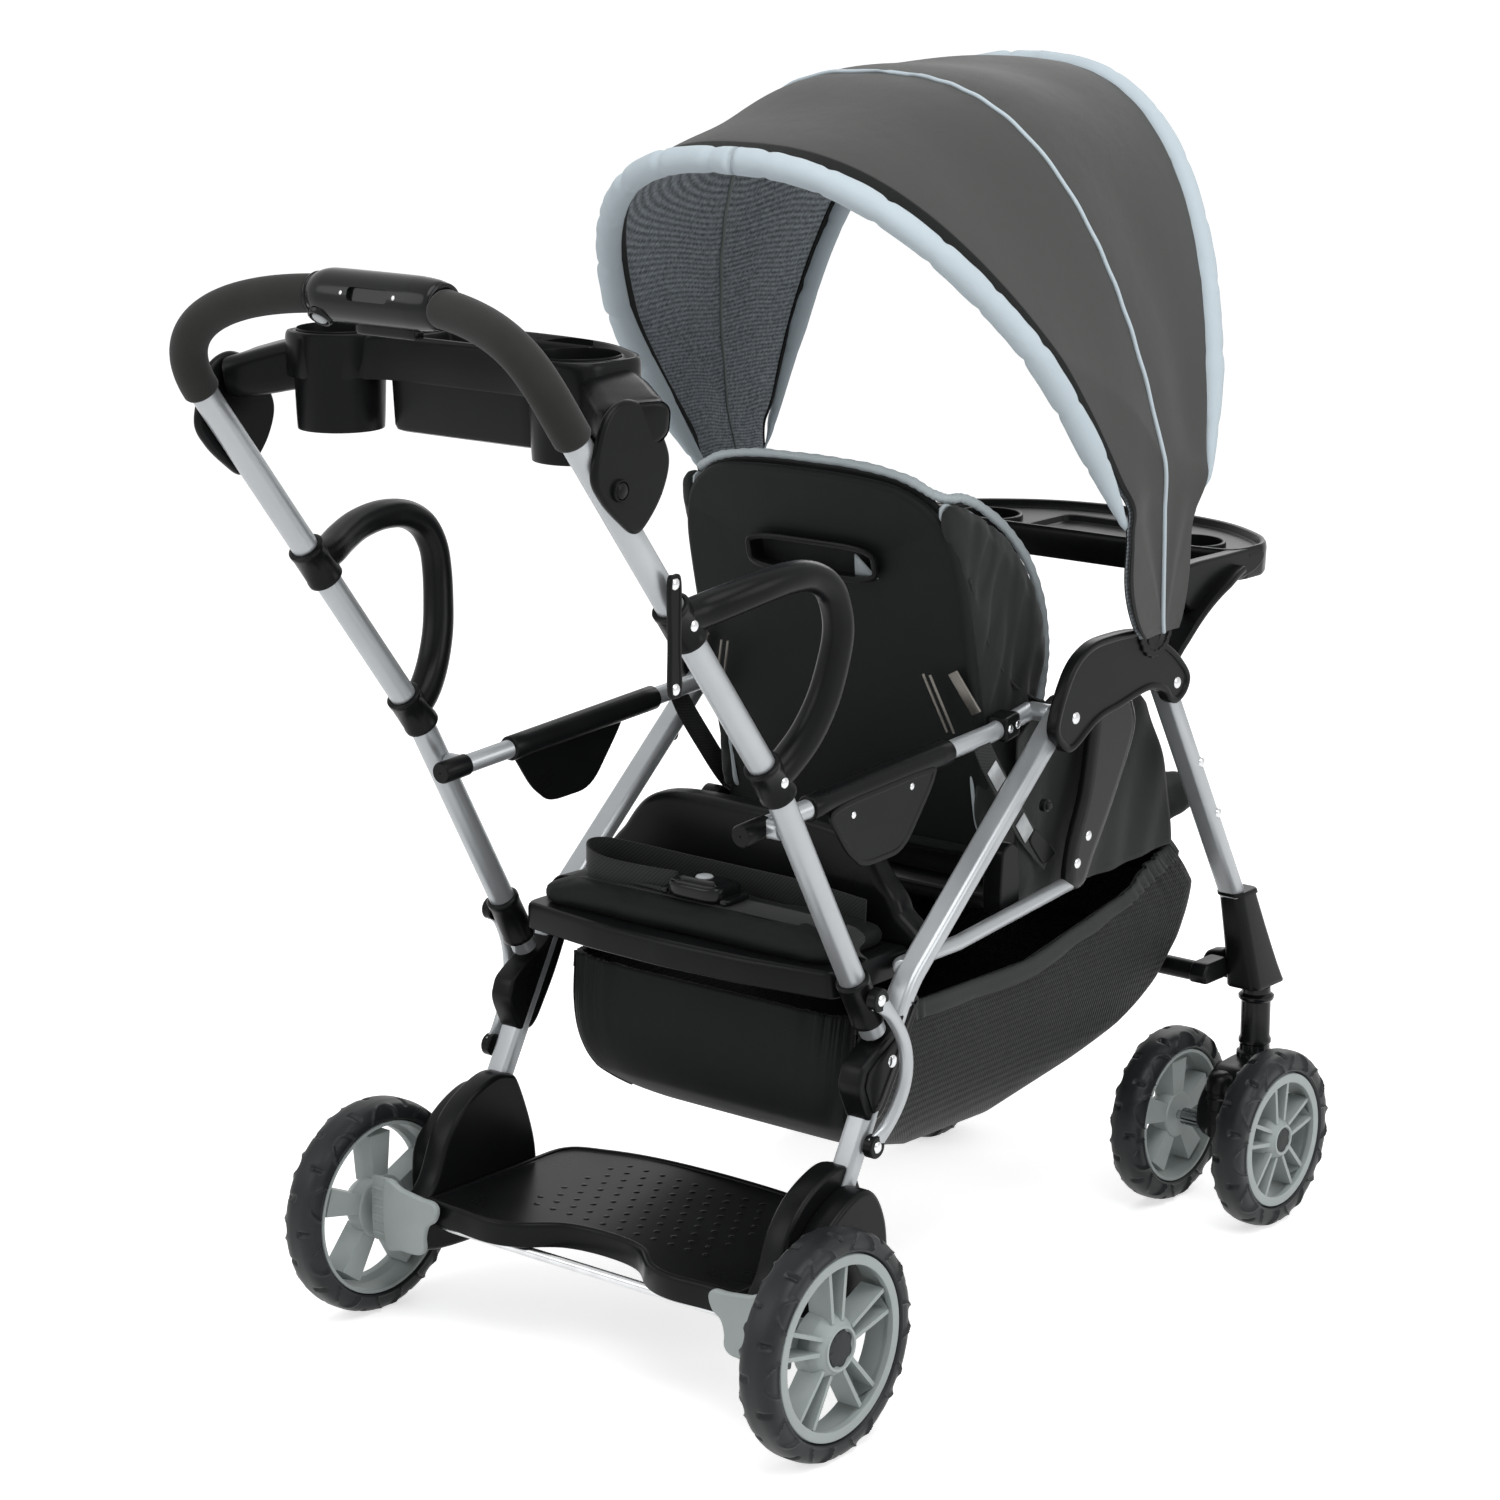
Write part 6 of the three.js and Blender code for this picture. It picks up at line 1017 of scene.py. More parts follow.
def on_canopy(place, turn, lift=0.0):
    """A point of the canopy in mm: `place` runs from the rear bow, 0, over the middle one, 1, to the front one, 2, and
    `turn` from the left pivot, 0, to the right one, pi. Each bow is a superellipse in width and reach that narrows to
    the pivot. `lift` moves out along the reach."""
    place, turn = np.broadcast_arrays(np.asarray(place, float), np.asarray(turn, float))
    angle, radius, half, power, taper = [np.interp(place, [0, 1, 2], column) for column in bows.T]
    c, s = np.cos(turn), np.abs(np.sin(turn))
    reach = radius * s ** (2 / power)
    wide = half * np.sign(c) * np.abs(c) ** (2 / power)
    narrow = 242 / half
    x = wide * (narrow + (1 - narrow) * np.minimum(1, reach / (taper * radius)))
    reach = reach + lift * s
    x = x + lift * c * np.clip(np.abs(c) * 1.2, 0, 1)
    a = np.radians(angle)
    return np.stack([x, pivot[0] + reach * np.cos(a), pivot[1] + reach * np.sin(a)], -1)


def sew(count=241, low=0.0):
    """Turns from one pivot to the other, closer together near the pivots."""
    t = np.linspace(0, 1, count)
    return low + (math.pi - 2 * low) * (t - 0.10 * np.sin(2 * math.pi * t))


turn = sew(241, 0.0022)


def fatness(reach):
    """The radius in mm of a padded trim: full along the bow, down to nothing where it goes under the pocket."""
    return np.maximum(1.2, 13.2 * np.clip((reach - 126) / 130, 0, 1) ** 0.7)


def cover(lift, first=0.0, last=1.0, columns=97):
    """A sheet of the canopy from its rear to its front edge. It sags between the bows, carries soft creases that run
    from seam to seam, and is gathered a little at each seam; near the pivots it widens into a rounded pocket."""
    column = np.linspace(first, last, columns)
    T, C = np.meshgrid(turn, column, indexing="ij")
    reach = 555 * np.abs(np.sin(T)) ** 0.755
    fan = np.maximum(reach * 0.4433 - 11.5, 1)
    pouch = 54 * (1 - (1 - np.clip((reach + 6) / 92, 0, 1)) ** 2.3) ** (1 / 2.3)
    half = (fan ** 8 + pouch ** 8) ** (1 / 8)
    angle = np.clip(0.5 + (C - 0.5) * 2 * half / np.maximum(0.8866 * reach, 1), 0, 1)
    near = np.exp(-(reach / 138) ** 5)
    place = np.interp(angle, [0, 23.3 / 50.8, 1], [0, 1, 2])
    between = np.sin(math.pi * (place % 1.0001)) ** 2
    seam = np.exp(-np.abs(place - 1) / 0.05) + np.exp(-place / 0.06) + np.exp(-(2 - place) / 0.06)
    run = T / math.pi * 1300
    side = np.abs(np.cos(T)) ** 1.2
    hung = 2.4 * np.sin(run / 61 + 2.1 * np.sin(place * 2.3)) * between
    drawn_in = 1.6 * np.sin(run / 33 + 4 * place + 1) * between * side
    gathered_in = 0.55 * np.sin(run / 8.3 + 2 * np.sin(run / 57)) * seam
    crease = hung + drawn_in + gathered_in
    cover_rolls = (3 + fatness(reach)) / (1 + np.exp((reach - 172) / 8)) * (0.35 + 0.65 * np.abs(2 * C - 1) ** 1.5)
    bulge = lift + (-9.5 * between * np.sin(T) + crease * np.clip(reach / 150, 0, 1)) + cover_rolls
    points = on_canopy(place, T, bulge)
    centre = on_canopy(np.ones_like(T), T, bulge)
    aside = (2 * C - 1) * half * (1.01 - 0.26 * (2 * C - 1))
    pouched = centre + np.stack([0 * aside, -aside, 0.04 * aside - 8 * np.exp(-(reach / 26) ** 2)], -1)
    points += near[..., None] * (pouched - points)
    return points


def sheet(grid, name, material, slot, wall, size, *stands_for):
    """A sewn sheet: its grid, a thin wall and its cloth; `size`, the size it was cut to, is not used."""
    piece = skin(name, mm(grid), around=False)
    walled(piece, wall)
    piece.data.materials.append(material)
    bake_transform(piece)
    if stands_for:
        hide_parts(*stands_for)
    return piece


sheet(cover(2.0), "canopy_cloth", hood, "fabric_hood", 0.0008, (0.47, 1.5), "canopy_cover")
sheet(cover(-2.2, columns=65), "canopy_lining", lining, "fabric_hood", 0.0008, (0.47, 1.5))
sheet(cover(3.1, first=-0.004, last=0.036, columns=9), "canopy_rear_binding", binding, "fabric_black", 0.001,
      (0.02, 1.5))
sheet(cover(-3.4, first=0.0, last=0.026, columns=7), "canopy_lining_binding_rear", binding, "fabric_black", 0.001,
      (0.014, 1.5))
sheet(cover(-3.4, first=0.974, last=1.0, columns=7), "canopy_lining_binding_front", binding, "fabric_black", 0.001,
      (0.014, 1.5))
sheet(cover(-3.3, first=0.452, last=0.466, columns=5), "canopy_lining_tape", green_tape, "fabric_piping", 0.0012,
      (0.0105, 1.5))
piping = cover(3.6, columns=97)[:, 44]
rope = carried(mm(piping), np.stack([circle(0.0021, 12)] * len(piping)), up=(1, 0.02, 0.01), close=True)
pipe = skin("canopy_piping", rope)
pipe.data.materials.append(pale)
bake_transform(pipe)

# Padded trims: fat rolls of pale cloth sewn round the rear and the front bow, drawn in by a stitch every few
# centimetres, and thinner towards the pivots where they go under the canopy's pocket.
for end, place, body, node in (("rear", 0.0, "rear_frame", "canopy_trim_rear"),
                               ("front", 2.0, "canopy_front", "canopy_trim_front")):
    along = sew(520, 0.02)
    line = on_canopy(place, along)
    under = np.exp(-(np.hypot(line[:, 1] - pivot[0], line[:, 2] - pivot[1]) / 122) ** 6)
    line = on_canopy(place + (1 - place) * 0.7 * under, along, -6 * under)
    run = np.concatenate([[0], np.cumsum(np.linalg.norm(np.diff(line, axis=0), axis=1))])
    reach = np.hypot(line[:, 1] - pivot[0], line[:, 2] - pivot[1])
    fat = fatness(reach)
    stitch = (run + 14 * np.sin(run / 130)) % 66 - 33
    around = np.linspace(0, 2 * math.pi, 30, endpoint=False)
    pull = np.exp(-(stitch / 4.5) ** 2)[:, None] * (0.55 + 0.45 * np.cos(around - 2.2)[None]) * 0.24
    waves = (0.030 * np.sin(run / 5.3 + 3 * np.sin(run / 41))[:, None] * (0.5 + 0.5 * np.cos(around - 2.4))[None]
             + 0.02 * np.sin(run / 19)[:, None])
    size = fat[:, None] * (1 - pull + waves) / 1000
    ring = np.stack([size * np.cos(around), size * 0.93 * np.sin(around)], -1)
    roll = skin(f"canopy_trim_roll_{end}", carried(mm(line), ring, up=(1, 0.013, 0.017), close=False))
    filled(roll)
    put(roll, pale, body, "fabric_piping", node)

# Front seat, back: a hard board covered in smooth black cloth, rounded at its top corners, with a moulded hand slot
# near the top, a pale liner in front whose edge shows over the top, and a crowned pad for the child's back.
seat_black = cloth("seat_shell_cloth", (0.0050, 0.0062, 0.0059), weave=0.0008, deep=0.00005, rough=0.6, sheen=0.02,
                   shade=0.1, folds=9, fold_depth=0.0012)
seat_grey = cloth("seat_wing_cloth", (0.017, 0.019, 0.018), weave=0.0011, rough=0.6, sheen=0.1, shade=0.12, folds=26,
                  fold_depth=0.0018)
pad_cloth = cloth("seat_pad_cloth", (0.012, 0.0132, 0.013), weave=0.0014, rough=0.75, sheen=0.1, shade=0.12, folds=18,
                  fold_depth=0.0015)
pale_edge = cloth("pale_liner_cloth", (0.42, 0.47, 0.49), weave=0.0014, rough=0.8, sheen=0.12, shade=0.06)
BACK_Y, HINGE_Z, slope = 130, 452, 84 / 363


def leaned(grid, ahead=0.0):
    """Points in mm of an upright back, leaned to the rear about the seat's hinge, with its sides curved forwards."""
    grid = np.array(grid, float)
    grid[..., 1] += (grid[..., 2] - HINGE_Z) * slope - ahead * (np.abs(grid[..., 0]) / 170) ** 2.6
    return grid


def layered(line, rows):
    """The rows of a moulding of the upright back: its outline moved in by each inset, at each height from its plane."""
    return np.stack([np.insert(offset(line, inset), 1, height - BACK_Y, axis=1) for inset, height in rows])


def puffed(piece, voxel, pressure, most):
    """Padding by cloth simulation: the piece is remeshed evenly, blown up without gravity, and no point may move
    further than `most`. The result is applied and subdivided once."""
    remesh = piece.modifiers.new("even", "REMESH")
    remesh.mode, remesh.voxel_size = "VOXEL", voxel
    graph = bpy.context.evaluated_depsgraph_get()
    piece.data = bpy.data.meshes.new_from_object(piece.evaluated_get(graph))
    piece.modifiers.clear()
    count, frames = len(piece.data.vertices), 20
    rest = np.empty(count * 3)
    piece.data.vertices.foreach_get("co", rest)
    soft = piece.modifiers.new("air", "CLOTH")
    soft.settings.quality, soft.settings.mass = 5, 0.3
    soft.settings.use_pressure, soft.settings.uniform_pressure_force = True, pressure
    soft.settings.effector_weights.gravity = 0
    soft.collision_settings.use_self_collision = False
    soft.point_cache.frame_start, soft.point_cache.frame_end = 1, frames
    for step in range(1, frames + 1):
        bpy.context.scene.frame_set(step)
    grown = piece.evaluated_get(bpy.context.evaluated_depsgraph_get()).to_mesh()
    now = np.empty(count * 3)
    grown.vertices.foreach_get("co", now)
    move = (now - rest).reshape(-1, 3)
    far = np.linalg.norm(move, axis=1, keepdims=True)
    move *= np.minimum(1, most / np.maximum(far, 1e-9))
    piece.modifiers.clear()
    bpy.context.scene.frame_set(1)
    piece.data.vertices.foreach_set("co", (rest.reshape(-1, 3) + move).ravel())
    fine = piece.modifiers.new("fine", "SUBSURF")
    fine.levels = fine.render_levels = 1
    piece.data = bpy.data.meshes.new_from_object(piece.evaluated_get(bpy.context.evaluated_depsgraph_get()))
    piece.modifiers.clear()
    piece.data.polygons.foreach_set("use_smooth", [True] * len(piece.data.polygons))
    return piece


def creased(piece, deep, waves, seam=None):
    """Soft creases: every point moves along its normal by a sum of slow waves of the place, each (length, slant). With
    a seam, points in metres, they are deep beside it and die away from it."""
    mesh = piece.data
    count = len(mesh.vertices)
    co, no = np.empty(count * 3), np.empty(count * 3)
    mesh.vertices.foreach_get("co", co)
    mesh.vertices.foreach_get("normal", no)
    co, no = co.reshape(-1, 3), no.reshape(-1, 3)
    drift = co @ np.array([9.0, 13.0, 11.0])
    height = sum(np.sin((co @ np.array(slant)) * 2 * math.pi / length + 2.3 * np.sin(drift + k))
                 for k, (length, slant) in enumerate(waves))
    ridge = np.tanh(height * 1.1) * deep
    if seam is not None:
        ridge *= 0.2 + 0.8 * np.exp(-np.linalg.norm(co[:, None, 1:] - np.asarray(seam)[None, :, 1:],
                                                    axis=2).min(1) / 0.03)
    mesh.vertices.foreach_set("co", (co + no * ridge[:, None]).ravel())
    mesh.update()
    return piece


half_back = np.array([(0, 822), (62, 820.5), (112, 813), (146, 791), (163, 756), (168, 700), (167, 560), (164, 470),
                      (158, 444), (0, 444)], float)
back = through(np.concatenate([half_back, flip(half_back)[::-1][1:-1]]), 220)
layers = layered(back, edges(-7, 7, 6, 6))
shell_back = crisp(filled(skin("seat_shell", mm(leaned(layers, 14)))), 40)
slot_line = cornered([(74, 719), (74, 747), (-74, 747), (-74, 719)], 0.28, 8)
cut = np.stack([np.insert(slot_line, 1, height - BACK_Y, axis=1) for height in (-40, 40)])
cutter = filled(skin("slot_hole", mm(leaned(cut))))
shell_back = holed(shell_back, [cutter])
put(shell_back, seat_black, "seat", "fabric_black", "seat_back")
rim_rows = [(0.4, -6), (0.4, 7.4), (-1, 8.6), (-3.4, 8.8), (-5, 7.8), (-5.4, 5)]
rim = layered(slot_line, rim_rows)
mould(crisp(skin("seat_slot_rim", mm(leaned(rim, 0)))), "seat")
tab = np.stack([np.linspace([-46, -135, 741], [-44, -134, 720], 6),
                np.linspace([-48, -135, 741], [-72, -134, 719], 6)], 1)
flag = skin("seat_slot_liner", mm(leaned(tab)), around=False)
put(flag, pale_edge, "seat", "fabric_piping")
walled(flag, 0.0008, -1)
liner_half = np.array([(0, 826.5), (64, 825), (114, 817), (144, 796), (150, 757), (146, 700), (140, 500), (0, 486)],
                      float)
liner = through(np.concatenate([liner_half, flip(liner_half)[::-1][1:-1]]), 200)
layers = layered(liner, edges(-14, -7.4, 2.4, 5))
front_liner = filled(skin("seat_liner", mm(leaned(layers, 14))))
put(front_liner, pad_cloth, "seat", "fabric_black")
pad_line = through(both((0, 784), [(100, 782), (134, 768), (138, 720), (132, 500), (118, 492)], (0, 492)), 160)
layers = layered(pad_line, edges(-27, -16, 5, 5))
back_pad = puffed(filled(skin("seat_back_pad", mm(leaned(layers, 8)))), 0.005, 4, 0.006)
put(creased(back_pad, 0.0007, [(0.09, (0.3, 0, 1.0)), (0.05, (1.0, 0.2, 0.4))]), pad_cloth, "seat",
              "fabric_black", "seat_pad")

# Front seat, sides: padded wings of dark grey-green cloth that run forward from the back, gathered along a curved seam,
# with a pale bound edge on top and a pale lining inside.
wing = through([(-124, 470), (-108, 560), (-80, 690), (-58, 782), (-66, 804), (-92, 799), (-124, 785), (-168, 755),
                (-204, 714), (-224, 664), (-226, 618), (-216, 574), (-196, 520), (-168, 474)], 200)
gathered = np.array(drawn([(-88, 728), (-104, 690), (-128, 648), (-160, 615), (-196, 594), (-216, 586)], 160))
for side, out in SIDES:
    seam = mm(np.insert(gathered, 0, out * 165, axis=1))
    panel = puffed(filled(pressed(f"seat_wing_{side}", (wing, facing(out, edges(153, 162.5, 4.4, 5)), "x"))), 0.0055,
                   4, 0.0045)
    creased(panel, 0.0022, [(0.05, (0.1, 0.86, 0.5)), (0.029, (0.2, 0.95, 0.2)), (0.09, (0.1, 0.5, -0.86))],
            seam[::8])
    creased(panel, 0.0012, [(0.17, (0.1, 0.6, -0.8)), (0.11, (0.2, -0.3, 0.9))])
    put(panel, seat_grey, "seat", "fabric_black")
    lined = pressed(f"seat_wing_lining_{side}", (wing, [(i + 5, out * x) for i, x in edges(148.5, 152.4, 1.6, 4)],
                                                 "x"))
    put(creased(lined, 0.0008, [(0.06, (0.2, 0.75, 0.65))]), pale_edge, "seat", "fabric_piping")
    ruffle = 1 + 0.35 * np.sin(np.arange(160) * 0.9) + 0.2 * np.sin(np.arange(160) * 0.37 + 1)
    gather = carried(seam, np.stack([circle(0.0028, 14) * [0.7 * w, 1.1] for w in ruffle]), up=(1, 0, 0))
    seam_roll = skin(f"seat_wing_gather_{side}", gather)
    put(seam_roll, seat_grey, "seat", "fabric_black")
half_edge = [(0, -57, 829.5), (64, -57.5, 828), (112, -61, 820.5), (138, -66, 809), (150, -76, 804), (154, -92, 803),
             (155, -124, 789), (155, -169, 758.5), (155, -207, 716), (155, -228, 664), (155, -230, 618),
             (155, -220, 576)]
bound = drawn([flip(p) for p in half_edge[::-1]] + half_edge[1:], 420)
pucker = 1 + 0.07 * np.sin(np.arange(420) * 1.1) + 0.05 * np.sin(np.arange(420) * 0.31)
edge_roll = skin("seat_edge_binding", carried(mm(bound), np.stack([circle(0.0046, 18)] * 420) * pucker[:, None, None],
                                              up=(0.02, 0.999, -0.03)))
put(edge_roll, pale_edge, "seat", "fabric_piping")

# Seat sides: a loose cloth panel on each side from the seat's base up to the fold hub, sewn to the base and hanging in
# slow folds.
down, along = np.meshgrid(np.linspace(0, 1, 40), np.linspace(0, 1, 70), indexing="ij")
top_line = np.interp(along, [0, 0.25, 0.6, 0.9, 1], [566, 597, 602, 580, 560])
low_line = np.interp(along, [0, 0.6, 1], [402, 398, 404])
for side, out in SIDES:
    y = -148 - along * (226 + 52 * down) - 10 * np.sin(math.pi * down) * along ** 2
    z = top_line + (low_line - top_line) * down
    hanging = 2.6 * np.sin(y / 21 + 2.2 * down + 1.3 * np.sin(down * 3)) * np.sin(math.pi * down) ** 0.7
    x = 180.5 + hanging + 1.2 * np.sin(y / 8.6 + z / 30)
    panel = skin(f"seat_side_panel_{side}", mm(np.stack([out * x, y, z], -1)), around=False)
    walled(panel, 0.0012)
    put(panel, seat_grey, "rear_frame", "fabric_black")

# Front seat, base: a crowned cushion on a black board between the lower rails, with an ear at each side for the pins
# of the back.
board_line = cornered([(172, -120), (172, -392), (-172, -392), (-172, -120)], 0.08, 6)
base_rows = edges(397, 412, 3)
ear_line = through([(-144, 399), (-144, 452), (-139, 462), (-130, 466), (-121, 462), (-116, 452), (-116, 399)], 60)
ears = [(ear_line, facing(out, edges(168.2, 190, 2)), "x") for out in (1, -1)]
mould(pressed("seat_base_board", (board_line, base_rows, "z"), *ears), "rear_frame", "seat_base")
half_cushion = [(110, -390), (150, -376), (158, -340), (158, -190), (150, -158), (110, -150)]
cushion_line = through(both((0, -392), half_cushion, (0, -150)), 180)
seat_cushion = puffed(pressed("seat_cushion", (cushion_line, edges(409, 432, 9, 6), "z")), 0.0055, 4, 0.009)
put(creased(seat_cushion, 0.0009, [(0.1, (1.0, 0.2, 0)), (0.06, (0.3, 1.0, 0))]), pad_cloth, "rear_frame",
              "fabric_black")

# Calf pad: the front of the seat's cover, padded, that droops from the base over the front of the basket.
half_calf = [(130, -386), (172, -392), (186, -436), (184, -482), (166, -500), (110, -506)]
calf_line = through(both((0, -386), half_calf, (0, -508)), 180)
calf = puffed(pressed("calf_pad", (calf_line, edges(414, 434, 8, 6), "z")), 0.0055, 4, 0.007)
creased(calf, 0.0012, [(0.07, (1.0, 0.2, 0)), (0.04, (0.7, 0.7, 0.1))])
co = np.empty(len(calf.data.vertices) * 3)
calf.data.vertices.foreach_get("co", co)
co = co.reshape(-1, 3)
co[:, 2] += np.clip((-0.344 - co[:, 1]) / 0.12, 0, 1) * 0.026
calf.data.vertices.foreach_set("co", co.ravel())
put(calf, pad_cloth, "rear_frame", "fabric_black")

# Rear bench pad: a full black cushion, and over it the lap belt of woven webbing, which stands on edge in one loop,
# with its buckle and a grey release button.
half_bench = [(120, 42), (168, 44), (178, 60), (180, 118), (172, 140), (120, 148)]
bench_line = through(both((0, 42), half_bench, (0, 149.5)), 200)
bench_pad = puffed(pressed("bench_cushion", (bench_line, edges(402, 422.5, 10, 7), "z")), 0.005, 4, 0.006)
put(creased(bench_pad, 0.0006, [(0.12, (1.0, 0.3, 0)), (0.05, (0.4, 1.0, 0))]), seat_black, "rear_frame",
              "fabric_black", "bench_pad")


def webbing(name, colour):
    """Woven strap: ribs across its width every 1.6 mm with a twill slant, read from the strap's own lengths."""
    material, tree, base = fresh(name)
    lengths = shader(tree, "UVMap", uv_map="lengths").outputs[0]
    ribs = shader(tree, "TexWave", {"Scale": 150, "Distortion": 0.4, "Vector": lengths},
                  bands_direction="DIAGONAL").outputs["Fac"]
    ramp = shader(tree, "ValToRGB", {"Fac": ribs})
    for stop, tint in zip(ramp.color_ramp.elements, (0.6, 1.7)):
        stop.color = (*[v * tint for v in colour], 1)
    bump = shader(tree, "Bump", {"Strength": 0.6, "Distance": 0.0002, "Height": ribs})
    base.inputs["Base Color"].default_value = (*colour, 1)
    dial(tree, base, {"Roughness": 0.6, "Specular IOR Level": 0.2, "Sheen Weight": 0.12,
                      "Base Color": ramp.outputs["Color"], "Normal": bump.outputs["Normal"]})
    return material


strap_black = webbing("black_webbing", (0.0095, 0.0105, 0.0105))


def strap(name, path, width, body, up=(0, 0, 1), stands_for=(), on_edge=False):
    """A flat strap of webbing along a path in mm, `width` mm wide, its broad side across `up`, or along it on edge."""
    thick = 0.0016
    section = flattened(width / 1000, thick, thick * 0.45, 4)
    if on_edge:
        section = section[::-1, ::-1]
    piece = crisp(skin(name, carried(mm(path), section, up=up)), 60)
    put(piece, strap_black, body, "fabric_black", *stands_for)
    return piece


belt_run = drawn([(-182, 96, 404), (-180, 98, 412), (-174, 99, 421), (-160, 100, 426), (-120, 101, 428.4),
                  (-60, 101.5, 429.2), (0, 102, 429.4), (60, 101.5, 429.2), (120, 101, 428.4), (160, 100, 426),
                  (174, 99, 421), (180, 98, 412), (182, 96, 404)], 120)
strap("lap_belt_webbing", belt_run, 36, "rear_frame", stands_for=("lap_belt",))
tail_run = drawn([(30, 101, 432), (60, 100, 433.4), (92, 97, 432.6), (118, 90, 431.4), (138, 78, 430), (150, 62, 428),
                  (158, 44, 424)], 60)
strap("lap_belt_tail", tail_run, 34, "rear_frame")
over = drawn([(30, 106, 437), (74, 114, 438), (112, 118, 440), (138, 112, 444), (149, 96, 447), (142, 79, 446),
              (112, 68, 443), (60, 61, 440), (-10, 57, 438), (-90, 57, 437), (-160, 60, 433)], 120)
strap("lap_belt_loop", over, 28, "rear_frame", on_edge=True)
buckle = through([(32, 102), (31, 118), (20, 124), (0, 125), (-20, 124), (-31, 118), (-32, 102), (-31, 86), (-20, 80),
                  (0, 79), (20, 80), (31, 86)], 120)
buckle_rows = edges(431, 447, 4.5, 5) + [(7.5, 447), (8.6, 448.4), (11, 449.6), (14, 450)]
buckle_piece = pressed("buckle_body", (buckle, buckle_rows, "z"))
put(buckle_piece, glossy, "rear_frame", "plastic_black", "belt_buckle")
knob = about((0, 0, 1), [(0.0001, 0.4522), (0.005, 0.452), (0.0078, 0.4512), (0.0089, 0.4496), (0.009, 0.4475),
                         (0.009, 0.441)], mm((0, 102, 0)), 40)
put(skin("buckle_button_cap", knob, along=True, around=False), grey_button, "buckle_button", "button_grey",
    "buckle_button")
bars = [(cornered([(out * 31, 84), (out * 42, 84), (out * 42, 120), (out * 31, 120)], 0.3, 5), edges(431.5, 437, 1.6),
         "z") for out in (1, -1)]
put(pressed("buckle_bars", *bars), glossy, "rear_frame", "plastic_black")

# Storage basket: a deep bag of black net hung from the lower rails, gathered by elastic in the plain hem at its rim,
# with a panel of plain cloth at the rear.
basket_cloth = cloth("basket_cloth", (0.0075, 0.0088, 0.0085), weave=0.0012, rough=0.65, sheen=0.08, shade=0.12)
basket_net = cloth("basket_net", (0.002, 0.0023, 0.0023), weave=0.0052, deep=0.0007, rough=0.55, sheen=0.05,
                   second=(0.017, 0.0195, 0.0185), shade=0.1)
hem_cloth = cloth("gathered_hem", (0.026, 0.0285, 0.0275), weave=0.0011, rough=0.6, sheen=0.1)
angle = np.linspace(0, 2 * math.pi, 300, endpoint=False)
depth = np.linspace(0, 1, 46) ** 1.7
theta = depth * math.pi / 2
drop, shrink = np.sin(theta) ** (2 / 3.4), np.cos(theta) ** (2 / 6.5)
c, s = np.cos(angle), np.sin(angle)
plan_x, plan_y = np.sign(c) * np.abs(c) ** (2 / 13), np.sign(s) * np.abs(s) ** (2 / 15)
front_y = np.interp(drop, [0, 0.35, 0.65, 0.85, 1], [-446, -502, -500, -470, -422])
rear_y = np.interp(drop, [0, 0.3, 0.8, 1], [101, 108, 116, 100])
reach = 0.02 + 0.98 * shrink[:, None]
y_grid = (rear_y + front_y)[:, None] / 2 + (rear_y - front_y)[:, None] / 2 * plan_y[None] * reach
x_grid = plan_x[None] * reach * (180 - 7 * drop[:, None] ** 3)
rim_z = np.interp(y_grid, [-450, -376, -326, -236, -132, -20, 101], [410, 388, 361, 343, 336, 341, 344])
floor_z = np.interp(y_grid, [-470, -430, -381, -265, -91, 55, 118], [236, 206, 191, 172, 153, 190, 206])
z_grid = rim_z + (floor_z - rim_z) * drop[:, None]
run = angle[None] * 330
pull = np.exp(-((rim_z - z_grid) / 26))
gather = 2.4 * np.sin(run / 3.1 + 1.7 * np.sin(run / 23)) + 1.5 * np.sin(run / 7.7 + 2)
belly = np.sin(math.pi * np.clip(depth[:, None] * 1.3, 0, 1))
ruffle = gather * pull + 2.6 * np.sin(run / 46 + 3 * depth[:, None]) * (1 - pull) * belly
outward = np.stack([plan_x[None] + 0 * y_grid, plan_y[None] + 0 * y_grid], -1)
outward /= np.linalg.norm(outward, axis=-1, keepdims=True)
bag_grid = np.stack([x_grid + outward[..., 0] * ruffle * 0.8, y_grid + outward[..., 1] * ruffle * 0.8,
                     z_grid - 2.0 * np.abs(np.sin(run / 120)) * pull], -1)


def on_basket(piece, material):
    """Gives a piece of the basket its cloth and its own mesh, and hangs it on the rear frame."""
    piece.data.materials.append(material)
    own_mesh(piece)
    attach(piece, "rear_frame")


bag = skin("basket_bag", mm(bag_grid))
walled(bag, 0.0016, -1)
on_basket(bag, basket_net)
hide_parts("basket")


def over_bag(name, rows, columns, lift, material, wavy=0.0):
    """A strip sewn on the bag: rows and columns of its grid, `lift` mm outside it, with a gathered wave along it."""
    part, way = bag_grid[rows][:, columns], outward[rows][:, columns]
    if wavy:
        count = part.shape[1]
        place = np.linspace(0, count - 1, count * 5)
        part, way = [np.stack([[np.interp(place, np.arange(count), line) for line in row.T]
                               for row in grid]).transpose(0, 2, 1) for grid in (part, way)]
    along = np.concatenate([[0], np.cumsum(np.linalg.norm(np.diff(part[0], axis=0), axis=1))])
    ripple = wavy * np.sin(along * 0.62 + 1.7 * np.sin(along / 31)) * np.linspace(0.55, 1.2, part.shape[0])[:, None]
    part = part + np.concatenate([way * (lift + ripple)[..., None], np.zeros_like(way[..., :1])], -1)
    piece = skin(name, mm(part), around=False)
    walled(piece, 0.0013)
    on_basket(piece, material)
    return piece


